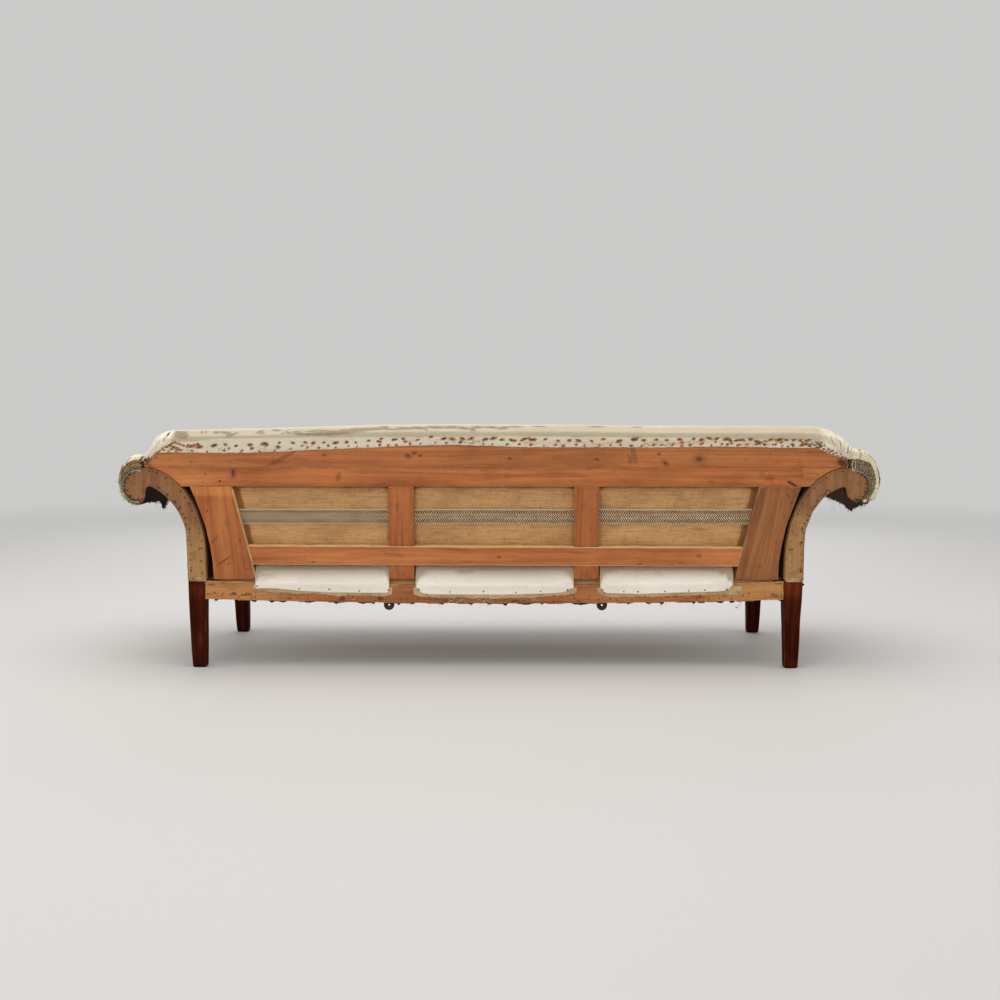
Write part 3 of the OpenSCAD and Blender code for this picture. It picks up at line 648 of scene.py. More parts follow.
def chunk(p, n, sp, d, rng):
    """n places along part of an outline, d inside it, irregularly spaced"""
    seg = np.linalg.norm(np.diff(p, axis=0), axis=1)
    s = np.concatenate([[0], np.cumsum(seg)])
    out = []
    t = rng.uniform(4, 12)
    while t < s[-1] - 4 and len(out) < n:
        x, y = np.interp(t, s, p[:, 0]), np.interp(t, s, p[:, 1])
        x2, y2 = np.interp(t + 1, s, p[:, 0]), np.interp(t + 1, s, p[:, 1])
        nx, ny = -(y2 - y), (x2 - x)
        l = math.hypot(nx, ny) + 1e-9
        dd = d + rng.uniform(-2.0, 2.0)
        out.append((x - nx / l * -dd, y - ny / l * -dd))
        t += sp * rng.uniform(0.45, 1.5)
    return out


def flipx(o):
    return A(o) * [-1, 1]


def arm_marks(side, face, seed):
    rng = np.random.RandomState(seed)
    inner = arc(175, 80, 175, 267, 178, 92, 30)
    outer = A((OUT_R if side > 0 else OUT_L)[6:-3])[::-1]
    scroll = arc(*SC, 50, 50, 66, -150, 50)
    pts = chunk(inner, 40, 22, -9, rng) + chunk(outer, 30, 17, 7, rng) + chunk(outer, 16, 30, 12, rng) + chunk(scroll, 60, 8, -5.5, rng) + chunk(scroll, 20, 24, -12, rng)
    if face:
        pts += chunk(arc(*SC, 50, 50, 88 if side > 0 else 40, -100, 60), 60, 6.5, -3.6, rng) + chunk(arc(*SC, 50, 50, 80, -150, 50), 30, 13, -7.5, rng)
        pts += [(46, 34), (44, 40), (47, 64), (45, 30), (45, 82), (12, 24), (14, 60), (17, 98), (42, 110), (45, 158)]
    m = holes([(869 + a, u) for a, u in pts], r=1.9, dark=1.0, depth=1.4, seed=seed, face=face)
    stains = [(869 + rng.uniform(8, 42), rng.uniform(20, 240), rng.uniform(4, 9), rng.uniform(8, 22), rng.uniform(0, 3), 0.22, 0.0, face) for _ in range(7)]
    stains += [(1060 + 20 * math.cos(a), 291 + 20 * math.sin(a), 10, 6, a, 0.18, 0.0, face) for a in (0.5, 2.4, 4.0)]
    m += stains
    if side < 0:
        m = [(-k[0], k[1], k[2], k[3], -k[4], *k[5:]) for k in m]
    return m


def arm_tint(s):
    def f(V):
        n = fbm(V[:, 0] * 0.03, V[:, 2] * 0.02, V[:, 1] * 0.05, seed=61 if s > 0 else 62)
        c = 160 if s > 0 else 205
        return sst(c + 30, c - 25, V[:, 2] + 26 * n) * (0.9 + 0.3 * n)
    return f


for s, side in ((1, "right"), (-1, "left")):
    o = arm_outline(s=s)
    o[:, 0] += XA
    o = o if s > 0 else flipx(o)
    board(f"arm_board_rear_{side}", o, -28, 0, rk, BEECH, grain=1, res=9, bev=1.5, marks=arm_marks(s, 1, 31 + s), wob=0.8, node=f"arm_board_rear_{side}", slot="frame_beech", seed=11 + s, tint=arm_tint(s), round_r=3, dents=0.8)
    o = arm_outline(s=s)
    o[:, 0] += XA
    o = o if s > 0 else flipx(o)
    board(f"arm_board_front_{side}", o * [1, CR] + [0, ZH], YF, YF + 28, wd, BEECH, grain=1, res=10, bev=1.5, marks=[(k[0], ZH + k[1] * CR, *k[2:]) for k in arm_marks(s, 0, 71 + s)], wob=0.5, node=f"arm_board_front_{side}", slot="frame_beech", seed=21 + s, tint=lambda V: 0.35 + 0.5 * fbm(V[:, 0] * 0.02, V[:, 2] * 0.02, seed=77), round_r=3, dents=0.6)


# ------------------------------------------------------------------ legs
def leg(name, s, front, seed):
    rng = np.random.RandomState(seed)
    zs = np.concatenate([[0, 0.6, 2.2, 5, 9, 14, 20], np.linspace(30, 254, 26), [258.4, 260.3, 261]])
    V, ED = [], []
    K = 7                                  # points along a side
    for z in zs:
        w = np.interp(z, [0, 4, 205, 261], [37.2, 38, 50, 50])
        if s > 0:
            xi, wx = np.interp(z, [0, 60, 142, 205, 250], [870, 870, 871.5, 872.5, 874.6]), np.interp(z, [0, 4, 52, 142, 205, 261], [39.6, 40.4, 44.6, 48, 50, 49.6])
        else:
            xi, wx = np.interp(z, [0, 60, 150, 205, 250], [866, 865.5, 864.5, 863.7, 865.3]), np.interp(z, [0, 4, 52, 150, 205, 250], [39.2, 40.2, 44.4, 50.4, 55.4, 56.6])
        r = 2.2 if z > 12 else 3.4
        r = min(r, w / 3)
        g = 2.6 * (1 - min(z, 5) / 5) ** 2 if z < 5 else 0.0        # worn edge at the floor
        g += 0.9 * max(0, (z - 259.4) / 1.6)
        ring, ed = [], []
        t = np.linspace(0, 1, K)
        a0, a1 = g, w - g
        sides = [((a0 + r, a0), (a1 - r, a0)), ((a1, a0 + r), (a1, a1 - r)), ((a1 - r, a1), (a0 + r, a1)), ((a0, a1 - r), (a0, a0 + r))]
        for k, (p, q) in enumerate(sides):
            for tt in t:
                ring.append((p[0] + (q[0] - p[0]) * tt, p[1] + (q[1] - p[1]) * tt))
                ed.append(min(tt, 1 - tt) * (w - 2 * r) + 1.2)
            # rounded corner
            cx, cy = [(a1 - r, a0 + r), (a1 - r, a1 - r), (a0 + r, a1 - r), (a0 + r, a0 + r)][k]
            base = [-math.pi / 2, 0, math.pi / 2, math.pi][k]
            for th in (0.25, 0.5, 0.75):
                an = base + th * math.pi / 2
                ring.append((cx + r * math.cos(an), cy + r * math.sin(an)))
                ed.append(0.3)
        ring = A(ring)
        n = 0.45 * fbm(ring[:, 0] * 0.06 + seed, ring[:, 1] * 0.06, z * 0.015, seed=seed)
        chip = sst(0.45, 0.75, fbm(ring[:, 0] * 0.12, ring[:, 1] * 0.12, z * 0.07, seed=seed + 4)) * 1.1 * (A(ed) < 1.3)
        c = A([w / 2, w / 2])
        d = ring - c
        d /= np.linalg.norm(d, axis=1)[:, None]
        ring = ring + d * (n - chip)[:, None]
        x = xi + ring[:, 0] * wx / w
        y = (YR - ring[:, 1]) if not front else (YF + ring[:, 1])
        V.append(np.stack([s * x, y, np.full(len(x), z)], 1))
        ED.append(np.minimum(A(ed), 1.0 + max(0.0, min(z, 260 - z))))
    m = len(V[0])
    V = np.concatenate(V)
    ED = np.concatenate(ED)
    F = grid_faces(len(zs), m, wrap_v=True)
    # caps with a middle point
    base = len(V)
    V = np.concatenate([V, [V[:m].mean(0)], [V[(len(zs) - 1) * m:].mean(0)]])
    ED = np.concatenate([ED, [15, 15]])
    F += [[base, (i + 1) % m, i] for i in range(m)]
    o2 = (len(zs) - 1) * m
    F += [[base + 1, o2 + i, o2 + (i + 1) % m] for i in range(m)]
    gr = np.stack([V[:, 2], V[:, 0], V[:, 1]], 1) + rng.uniform(-500, 500, 3)
    mk = np.clip(sst(10, 0, V[:, 2]) * 0.5 + sst(0.35, 0.7, fbm(V[:, 0] * 0.05, V[:, 1] * 0.05, V[:, 2] * 0.02, seed=seed + 9)) * 0.35 + sst(242, 261, V[:, 2]) * 0.35, 0, 1)
    red = sst(0.0, 0.6, fbm(V[:, 0] * 0.03, V[:, 1] * 0.03, V[:, 2] * 0.012, seed=seed + 2)) * 0.7
    if s > 0 and not front:
        red = np.clip(red + sst(196, 226, V[:, 2]) * (0.5 + 0.6 * fbm(V[:, 0] * 0.12, V[:, 1] * 0.12, V[:, 2] * 0.09, seed=seed + 6)), 0, 1)
    if s < 0 and not front:
        red = np.clip(red + sst(190, 250, V[:, 2]) * 0.9, 0, 1)
        mk *= sst(262, 225, V[:, 2]) * 0.8 + 0.1
    J = Join()
    J.add(wd(V), F, gr=gr, ed=ED, mk=mk, tn=red)
    if s < 0 and not front:                 # a splinter stands off the top of this leg
        t = A([[-917.2, YR - 6, 256], [-917.2, YR - 14, 254], [-925.5, YR - 9, 250.5], [-917.4, YR - 7, 243], [-917.4, YR - 13, 244], [-921, YR - 11, 246]]) - [4.0, 0, 0]
        J.add(wd(t), [[0, 1, 2], [0, 2, 5, 3], [1, 4, 5, 2], [0, 3, 4, 1], [3, 5, 4]], gr=t[:, [2, 0, 1]], ed=1.0, mk=0.1, tn=1.0)
    return J.make(name, MAHOGANY, node=name, slot="leg_mahogany")


for i, (s, side) in enumerate(((1, "right"), (-1, "left"))):
    leg(f"leg_rear_{side}", s, False, 41 + i)
    leg(f"leg_front_{side}", s, True, 51 + i)

# ------------------------------------------------------------------ seat rails
rng = np.random.RandomState(5)


def rail_outline():
    xs = np.linspace(-864.4, 873.2, 49)
    return np.concatenate([np.stack([xs, 205 - sag(xs)], 1), np.stack([xs[::-1], 260 - sag(xs[::-1])], 1)])


def rail_holes(seed, face):
    rng = np.random.RandomState(seed)
    m = []
    x = -858
    while x < 858:
        z0 = 205 - float(sag(x))
        m.append((x, z0 + rng.uniform(6, 15)))
        if rng.rand() < 0.35:
            m.append((x + rng.uniform(-5, 5), z0 + rng.uniform(16, 24)))
        x += rng.uniform(9, 34)
    return holes(m, r=1.6, dark=1.0, depth=1.3, seed=seed, face=face)


bruise = [(855, 248, 10, 3, 0.1, 0.55, 0.9), (861, 220, 6, 2.2, 0, 0.5, 0.5), (846, 246, 5, 2, 0, 0.45, 0.6), (787, 221, 8, 4.5, 0, 0.75, 1.2), (760, 218, 6, 3, 0.2, 0.6, 0.8), (741, 220, 8, 4, 0, 0.6, 0.8),
          (-853, 253, 14, 3, 0, 0.6, 1.0), (-838, 218, 12, 4, 0.3, 0.6, 0.8), (-760, 224, 4, 3, 0, 0.5, 0.6), (-880, 214, 6, 4, 0, 0.4, 0.5), (461, 206, 9, 7, 0, 0.7, 1.0), (346, 206, 9, 6, 0, 0.7, 1.0),
          (-614, 216, 7, 4, 0, 0.5, 0.6), (150, 200, 8, 4, 0, 0.5, 0.6), (-60, 199, 9, 4, 0, 0.45, 0.6), (-250, 201, 6, 4, 0, 0.5, 0.6), (620, 208, 6, 4, 0, 0.5, 0.6)]


def rail_gap_shade(V):
    """painted shade on the top of the rail, in the gaps under the feet of the uprights, which stand close over it"""
    x = V[:, 0]
    under = (np.abs(np.abs(x) - 803) < 66) | (np.abs(x - 280) < 41) | (np.abs(x + 273) < 41)
    return 0.95 * under * (V[:, 2] > 256 - sag(x)) * (V[:, 1] < YR - 3.2)


def rail_tint(V):
    n = fbm(V[:, 0] * 0.008, V[:, 2] * 0.03, seed=15)
    return sst(680, 610, np.abs(V[:, 0]) + 20 * n) * (0.75 + 0.4 * n)


board("seat_rail_rear", rail_outline(), YR - 33.5, YR - 1.5, wd, RAIL, res=10, bev=1.6, marks=rail_holes(8, 1) + [(*b, 1) for b in bruise], wob=0.6, node="seat_rail_rear", slot="frame_beech", seed=31, tint=rail_tint, dents=0.6, grime_and_gap_shade=rail_gap_shade)
board("seat_rail_front", rail_outline(), YF + 1.5, YF + 33.5, wd, RAIL, res=12, bev=1.6, marks=rail_holes(9, 0), wob=0.6, node="seat_rail_front", slot="frame_beech", seed=32, tint=lambda V: 0.3 + 0.4 * fbm(V[:, 0] * 0.005, V[:, 2] * 0.03, seed=16), dents=0.5)
swap = lambda V: wd(V[:, [1, 0, 2]])
for s, side in ((1, "right"), (-1, "left")):
    ye = [(-336.2, 205), (273.2, 205), (273.2, 260), (-336.2, 260)]
    x0, x1 = (884, 916) if s > 0 else (-916, -884)
    rng = np.random.RandomState(90 + s)
    hm = holes([(y, 205 + rng.uniform(6, 16)) for y in np.cumsum(rng.uniform(10, 30, 34)) - 330 if y < 265], r=1.6, seed=91 + s, face=1 if s > 0 else 0)
    board(f"seat_rail_{side}", ye, x0, x1, swap, RAIL, res=12, bev=1.6, marks=hm, wob=0.6, node=f"seat_rail_{side}", slot="frame_beech", seed=33 + s, tint=lambda V: 0.2 + 0.4 * fbm(V[:, 0] * 0.006, V[:, 2] * 0.03, seed=18), dents=0.5)
    xa, xb = (266, 294) if s > 0 else (-294, -266)
    board(f"cross_brace_{side}", [(-352.7, 210), (289.7, 210), (289.7, 242), (-352.7, 242)], xa, xb, swap, INNER, res=14, bev=1.6, wob=0.6, node=f"cross_brace_{side}", slot="inner_pine", seed=37 + s)
    xt, xu = (871.5, 893) if s > 0 else (-893, -871.5)
    # the lower rail of an arm ends on the leaning board
    zt0, zt1 = 301.2, 344.8
    yb = lambda z: YR - 28 / CR + (z - ZH) * SR / CR
    board(f"arm_tack_rail_{side}", [(YF + 28.3, zt0), (yb(zt0) - 0.4, zt0), (yb(zt1) - 0.4, zt1), (YF + 28.3, zt1)], xt, xu, swap, INNER, res=14, bev=1.4, wob=0.5, node=f"arm_tack_rail_{side}", slot="frame_beech", seed=41 + s)

flat = lambda V: wd(V[:, [0, 2, 1]])        # outline in plan, third axis up
cb = Join()
k = 0
for sx in (1, -1):
    xl = 872.6 if sx > 0 else 863.4
    for f in (1, 0):
        yi = YF + 50 if f else YR - 50
        d = 1 if f else -1
        g = 50 - 32 - 2.2
        p = [(xl - 0.3, yi + d * 0.3 - d * g), (xl - 0.3, yi + d * 0.3), (XL + 15.7, yi + d * 0.3), (XL + 15.7, yi + d * 52), (XL - 58, yi - d * g + d * 0.3)]
        p = [(sx * x, y) for x, y in p]
        k += 1
        name = "corner_blocks" if k == 1 else f"corner_blocks_{k}"
        board(name, p, 211.3, 250.7, flat, INNER, res=14, bev=1.5, wob=0.5, node="corner_blocks", slot="inner_pine", seed=50 + k, ang=0.8)

# ------------------------------------------------------------------ the leaning back frame
SEAM, LOWT = 348.0, 290.0
stile_in = lambda u: 717.5 + 0.227 * u
mid_z = lambda x, z: z + 2 - 5 * (740 - x) / 1480


def neck_inner(g, n=20):
    return arc(175, 80, 175 + g, 267 + g, 180, 90, n)


# upper long board; its ends slope where the arm tops begin
top_pts = [(-1041, SEAM + 0.25), (1041, SEAM + 0.25), (1041, 379), (1011, 390), (981, 412), (953, 431)] + [(x, 453 - 15 * (x / 900) ** 2) for x in np.linspace(900, -900, 25)] + [(-953, 431), (-981, 412), (-1011, 390), (-1041, 379)]


def knot(x, u, ra, rb, turn=0.0, dark=0.75):
    return [(x, u, ra, rb, turn, dark, 0.25, 1), (x - 0.2, u, ra * 2.1, rb * 1.7, turn, 0.3, 0.0, 1)]


top_m = knot(505, 386, 4.2, 3.2) + knot(257, 383, 7, 5, 0.2) + knot(239, 392, 5, 4) + knot(221, 384, 4, 3.4) + knot(-44, 375, 4.2, 3.2) + knot(-301, 373, 4, 3) + knot(-484, 389, 3.4, 3) + knot(-504, 361, 7, 4.4, 0.7)
top_m += knot(-603, 374, 9.5, 7.0) + [(633, 374, 50, 5.5, -0.5, 0.42, 0.0, 1), (612, 386, 20, 4, -0.5, 0.4, 0.0, 1), (-411, 385, 24, 7, 1.35, 0.42, 0.0, 1), (-400, 372, 14, 6, 1.3, 0.38, 0.0, 1), (-307, 352, 14, 2.0, 0, 0.3, 0.0, 1),
          (-813, 390, 3, 2, 0, 0.6, 0.6, 1), (760, 372, 3, 2, 0, 0.6, 0.6, 1), (-740, 372, 2.6, 1.6, 0, 0.6, 0.5, 1), (900, 366, 2.2, 2.2, 0, 0.8, 1, 1), (-900, 366, 2.2, 2.2, 0, 0.8, 1, 1)]
# holes left by older tacks near the cloth
rng = np.random.RandomState(12)
top_m += holes([(x, 397 + rng.uniform(-10, 6)) for x in rng.uniform(-930, 930, 34)], r=0.9, seed=12)
top_m += holes([(1004, 378), (1020, 372), (1028, 366), (1012, 388), (-1030, 366), (-1018, 372), (-1037, 356), (-1026, 352)], r=1.6, seed=13)
top_m += [(-1024, 364, 14, 10, 0.5, 0.75, 0.3, 1), (-1034, 352, 8, 6, 0.2, 0.7, 0.3, 1), (1034, 372, 8, 5, 0.4, 0.5, 0.2, 1)]
board("back_top_board", top_pts, -22, 0, rk, PINE, res=12, bev=0.9, marks=top_m, wob=0.35, node="back_top_board", slot="back_pine", seed=61, dents=0.5)

n_in = neck_inner(1.6, 40)
n_in = n_in[(n_in[:, 1] > LOWT + 1) & (n_in[:, 1] < SEAM - 0.5)]
right_end = [(XA + a, u) for a, u in n_in]          # scribed to the arm board, from low to high
lo_a = 175 - 176.6 * math.sqrt(1 - ((LOWT - 80) / 268.6) ** 2)
rail_pts = [(-XA - lo_a, LOWT), (XA + lo_a, LOWT)] + right_end + [(XA + 128, SEAM - 0.25), (-XA - 128, SEAM - 0.25)] + [(-x, u) for x, u in right_end[::-1]]
# room for the patch
px0 = XA + 175 - 176.9 * math.sqrt(1 - ((312 - 80) / 268.9) ** 2)
below = [q for q in right_end if q[1] < 310.5]
above = [q for q in right_end if q[1] >= 311.5]
rail_pts = [(-XA - lo_a, LOWT), (XA + lo_a, LOWT)] + right_end + [(XA + 128, SEAM - 0.25), (-909.8, SEAM - 0.25), (-909.8, 311.6), (-px0, 311.6)] + [(-x, u) for x, u in below[::-1]]
low_m = knot(777, 331, 4.5, 12, 0.1, 0.8) + knot(860, 328, 2.4, 2) + [(465, 319, 7, 14, 0.2, 0.4, 0, 1), (0, 351, 40, 1.1, 0.03, 0.2, 0, 1), (-813, 317, 14, 9, 0, 0.38, 0, 1), (-790, 326, 9, 7, 0, 0.3, 0, 1), (-640, 306, 8, 3, 0.3, 0.35, 0, 1),
           (-884, 296, 17, 3.4, 0.52, 0.9, 2.2, 1), (-874, 302, 8, 4.2, 0.3, 0.7, 1.6, 1), (330, 300, 4, 2, 0, 0.4, 0, 1), (-250, 322, 30, 3, 0.02, 0.22, 0, 1), (120, 330, 40, 3, 0, 0.22, 0, 1)]
board("back_top_rail", rail_pts, -22, -0.3, rk, PINE_RED, res=12, bev=0.9, marks=low_m, wob=0.3, node="back_top_rail", slot="back_pine", seed=62, tint=lambda V: 0.28 + 0.5 * fbm(V[:, 0] * 0.004, V[:, 2] * 0.02, seed=27) + sst(700, 900, V[:, 0]) * 0.35, dents=0.5)
# the block let into it
ppx = [(-910.4, 312.2), (-910.4, SEAM - 0.7)] + [(-XA - 175 + 177.4 * math.sqrt(1 - ((u - 80) / 269.4) ** 2), u) for u in (SEAM - 0.7, 342, 336, 330, 324, 318, 312.2)]
board("back_rail_patch", ppx, -12, -0.6, rk, PINE_RED, res=9, bev=0.5, marks=[(-940, 330, 20, 4, 0.1, 0.22, 0, 1)], wob=0.15, node="back_rail_patch", slot="back_pine", seed=63, tint=lambda V: 0.75 + 0 * V[:, 0], dents=0.3)

mid_top = lambda x: mid_z(x, 106)
mid_bot = lambda x: mid_z(x, 48)
xs = np.linspace(-1, 1, 37)
mt = [(x * (stile_in(mid_top(x * 740)) - 0.6), mid_top(x * 740)) for x in xs[::-1]]
mb = [(x * (stile_in(mid_bot(x * 728)) - 0.6), mid_bot(x * 728)) for x in xs]
mid_m = [(-11, 74, 3.4, 2.6, 0, 0.75, 0.8, 1), (-11, 74, 8, 5, 0, 0.25, 0, 1), (-609, 78, 8, 6, 0.4, 0.4, 0, 1), (658, 54, 3, 2, 0, 0.5, 0.8, 1), (546, 57, 5, 3, 0, 0.5, 1.0, 1), (612, 56, 3, 2, 0, 0.4, 0.8, 1), (-433, 52, 9, 3.4, 0, 0.4, 0.9, 1), (-553, 55, 4, 2, 0, 0.4, 0.8, 1), (300, 80, 30, 5, 0.1, 0.2, 0, 1), (90, 60, 20, 4, 0, 0.2, 0, 1), (-240, 88, 26, 4, 0.1, 0.22, 0, 1)]
board("back_mid_rail", mb + mt, -22, 0.2, rk, EDGED, res=10, bev=1.5, marks=mid_m, wob=0.9, node="back_mid_rail", slot="back_pine", seed=64, tint=lambda V: 0.6 + 0.5 * fbm(V[:, 0] * 0.006, V[:, 2] * 0.03, seed=28), dents=0.5, wall=0.06)

for s, side in ((1, "right"), (-1, "left")):
    o = [(stile_in(3), 3.2), (847, 3.2), (849, 60), (855, 110), (866, 165), (881, 215), (897, 260), (908, LOWT - 0.4), (stile_in(LOWT), LOWT - 0.4)]
    o = [(s * x, u) for x, u in o]
    rng = np.random.RandomState(70 + s)
    if s > 0:
        m = [(859, 215, 2.6, 2.6, 0, 0.85, 0.8, 1), (835, 132, 6, 12, 0.5, 0.35, 0, 1), (846, 120, 3, 6, 0.4, 0.5, 0.3, 1), (764, 124, 3, 6, 0.3, 0.6, 0.4, 1), (816, 60, 26, 2.6, -0.6, 0.7, 0.6, 1), (800, 52, 10, 2, -0.5, 0.6, 0.5, 1), (740, 36, 14, 2, 0.1, 0.4, 0.3, 1),
             (850, 250, 8, 14, 0.8, 0.25, 0, 1), (800, 180, 10, 16, 0.5, 0.25, 0, 1)] + holes([(850 + 0.25 * u + rng.uniform(-6, 3), u) for u in range(30, 280, 36)], r=1.2, seed=71)
        board("back_stile_right", o, -22, -0.2, rk, EDGED, grain=1, res=10, bev=1.6, marks=m, wob=0.6, node="back_stile_right", slot="back_pine", seed=65, tint=lambda V: sst(258, 264, V[:, 2] - 0.03 * (V[:, 0] - 800)) * 0.9 + 0.22 + 0.4 * fbm(V[:, 0] * 0.02, V[:, 2] * 0.006, seed=29), ang=-0.12, dents=0.6, wall=0.15,
              dull=lambda V: ((V[:, 0] > np.interp(V[:, 2], [3, 60, 110, 165, 215, 260, 290], [847, 849, 855, 866, 881, 897, 908]) - 16) | (V[:, 2] > LOWT - 9) | (V[:, 2] < 13)) * 1.0,
              # dark marks here: a little grime on the stile, and painted shade on its foot (the last term), over the
              # gap above the rail
              grime_and_gap_shade=lambda V: np.clip(sst(262, 256, V[:, 2] - 0.03 * (V[:, 0] - 800)) * (0.12 + 0.1 * fbm(V[:, 0] * 0.02, V[:, 2] * 0.008, seed=41)), 0, 1) + 0.7 * (V[:, 2] < 4.6))
    else:
        m = [(-790, 46, 10, 5, 0.2, 0.3, 0, 1), (-838, 120, 3, 3, 0, 0.6, 0.6, 1), (-870, 262, 10, 3, 1.1, 0.5, 0.4, 1), (-878, 240, 3, 3, 0, 0.7, 0.6, 1), (-861, 200, 2, 2, 0, 0.8, 0.8, 1), (-884, 278, 3, 3, 0, 0.6, 0.5, 1)] + holes([(-(846 + 0.2 * u) + rng.uniform(-3, 5), u) for u in range(40, 280, 40)], r=1.1, seed=72)
        # dark marks here: a little grime on the stile, and painted shade on its foot (the last term), over the gap
        # above the rail
        board("back_stile_left", o, -22, -0.2, rk, WALNUT, grain=1, res=10, bev=1.8, marks=m, wob=0.6, node="back_stile_left", slot="stile_walnut", seed=66, tint=lambda V: 0.35 + 0.6 * fbm(V[:, 0] * 0.02, V[:, 2] * 0.008, seed=30), ang=0.16, dents=0.6, wall=0.2, grime_and_gap_shade=lambda V: np.clip(0.11 + 0.1 * fbm(V[:, 0] * 0.02, V[:, 2] * 0.01, seed=42), 0, 1) + 0.7 * (V[:, 2] < 4.6))

for x0, side in ((280, "right"), (-273, "left")):
    a, b = x0 - 37, x0 + 37
    mt0, mt1, mb0, mb1 = mid_top(a) + 0.4, mid_top(b) + 0.4, mid_bot(a) - 0.4, mid_bot(b) - 0.4
    board(f"back_muntin_{side}", [(a, mt0), (b, mt1), (b, LOWT - 0.4), (a, LOWT - 0.4)], -22, -0.4, rk, PINE_RED, grain=1, res=10, bev=1.7, marks=[(x0 + 10, 230, 6, 14, 0.2, 0.3, 0, 1), (x0 - 14, 160, 5, 10, 0.3, 0.25, 0, 1)], wob=0.5, node=f"back_muntin_{side}", slot="back_pine", seed=67 + (x0 > 0), tint=lambda V: 0.12 + 0.3 * fbm(V[:, 0] * 0.02, V[:, 2] * 0.008, seed=33), grime_and_gap_shade=lambda V: np.clip(0.12 + 0.1 * fbm(V[:, 0] * 0.03, V[:, 2] * 0.01, seed=43), 0, 1))
    # the last term of the dark marks is painted shade on the foot, over the gap above the rail
    board(f"back_muntin_{side}_foot", [(a, 3.4), (b, 3.4), (b, mb1), (a, mb0)], -22, -0.4, rk, PINE_RED, grain=1, res=10, bev=1.7, wob=0.5, node=f"back_muntin_{side}", slot="back_pine", seed=69 + (x0 > 0), tint=lambda V: 0.05 + 0.2 * fbm(V[:, 0] * 0.02, V[:, 2] * 0.008, seed=34), marks=[(x0, 20, 12, 8, 0, 0.3, 0, 1)], grime_and_gap_shade=lambda V: np.clip(0.1 + 0.1 * fbm(V[:, 0] * 0.03, V[:, 2] * 0.01, seed=44), 0, 1) + 0.7 * (V[:, 2] < 4.6))

# round rails inside the scrolls
for s, side in ((1, "right"), (-1, "left")):
    xc, zc, r = XA + SC[0], ZH + SC[1] * CR, 38.0
    th = np.arange(48) / 48 * 2 * math.pi
    rr = r + 0.4 * fbm(np.cos(th) * 1.5, np.sin(th) * 1.5, seed=80)
    rows = []
    for t in np.linspace(0, 1, 30):
        x, z = xc + rr * np.cos(th), zc + rr * np.sin(th)
        y0 = np.full(48, YF + 28.2)
        y1 = YR - 28.3 / CR + (z - ZH) * SR / CR
        rows.append(np.stack([s * x, y0 + (y1 - y0) * t, z], 1))
    V = np.concatenate(rows)
    F = grid_faces(30, 48, wrap_v=True) + [list(range(48))[::-1], [29 * 48 + k for k in range(48)]]
    make(f"arm_roll_{side}", wd(V), F, INNER, {"gr": V[:, [1, 0, 2]] + 300, "ed": np.full(len(V), 20.0), "mk": np.zeros(len(V))}, node=f"arm_roll_{side}", slot="inner_pine")


# ------------------------------------------------------------------ CAD pieces that only take a finish
def simple(name, base, rough, metal=0.0, scale=90.0, spots=None, coords="Object"):
    m = Mat(name)
    tc = m.t.nodes.new("ShaderNodeTexCoord")
    v = tc.outputs[coords]
    n = m.noise(v, scale, 4, 0.6)
    c = m.mix(m.mr(n, 0.35, 0.7), base, tuple(x * 0.55 for x in base))
    if spots is not None:
        c = m.mix(m.mr(m.noise(v, scale * 2.7, 3, 0.6), 0.52, 0.62), c, spots)
    m.set(Base_Color=c, Roughness=m.mr(n, 0.2, 0.8, rough - 0.1, rough + 0.12), Metallic=metal, Normal=m.bump(n, 0.0004, 0.4))
    return m.m


IRON = simple("forged_iron", rgb(62, 56, 52), 0.62, 0.6, 140, rgb(104, 58, 34))
STEEL = simple("old_steel", rgb(140, 132, 122), 0.45, 0.9, 400, rgb(110, 66, 40))
DULL = simple("dull_screws", rgb(84, 56, 40), 0.75, 0.3, 400, rgb(60, 40, 30))
for n in ("eye_plate_left", "eye_plate_right", "eye_plate_screws", "back_screws", "arm_dowels"):
    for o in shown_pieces():
        if o.get("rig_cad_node") == n:
            o.data.materials.clear()
            o.data.materials.append(INNER if n == "arm_dowels" else DULL if n == "back_screws" else STEEL if "screws" in n else IRON)

# ------------------------------------------------------------------ cloth materials
def weave_nodes(m, st, pitch_s, pitch_t, slub=0.5):
    """plain weave from cloth coordinates in mm: (height, thread shade, open spots)"""
    x = m.sep(st)
    wob = m.math("MULTIPLY", m.math("SUBTRACT", m.noise(m.vmath("MULTIPLY", st, (0.03, 0.03, 0.03)), 1.0, 2), 0.5), 2.2)
    u = m.math("DIVIDE", m.math("ADD", x[0], wob), pitch_s)
    v = m.math("DIVIDE", m.math("ADD", x[1], wob), pitch_t)
    su = m.math("SINE", m.math("MULTIPLY", u, math.pi))
    sv = m.math("SINE", m.math("MULTIPLY", v, math.pi))
    h = m.math("ABSOLUTE", m.math("MULTIPLY", su, sv))
    warp = m.noise(m.vmath("MULTIPLY", st, (1.6 / pitch_s, 0.02, 0.0)), 1.0, 2, 0.6)
    weft = m.noise(m.vmath("MULTIPLY", st, (0.02, 1.6 / pitch_t, 0.0)), 1.0, 2, 0.6)
    th = m.math("ADD", m.math("MULTIPLY", warp, 0.5), m.math("MULTIPLY", weft, 0.5))
    return h, th, m.mr(h, 0.3, 0.05)


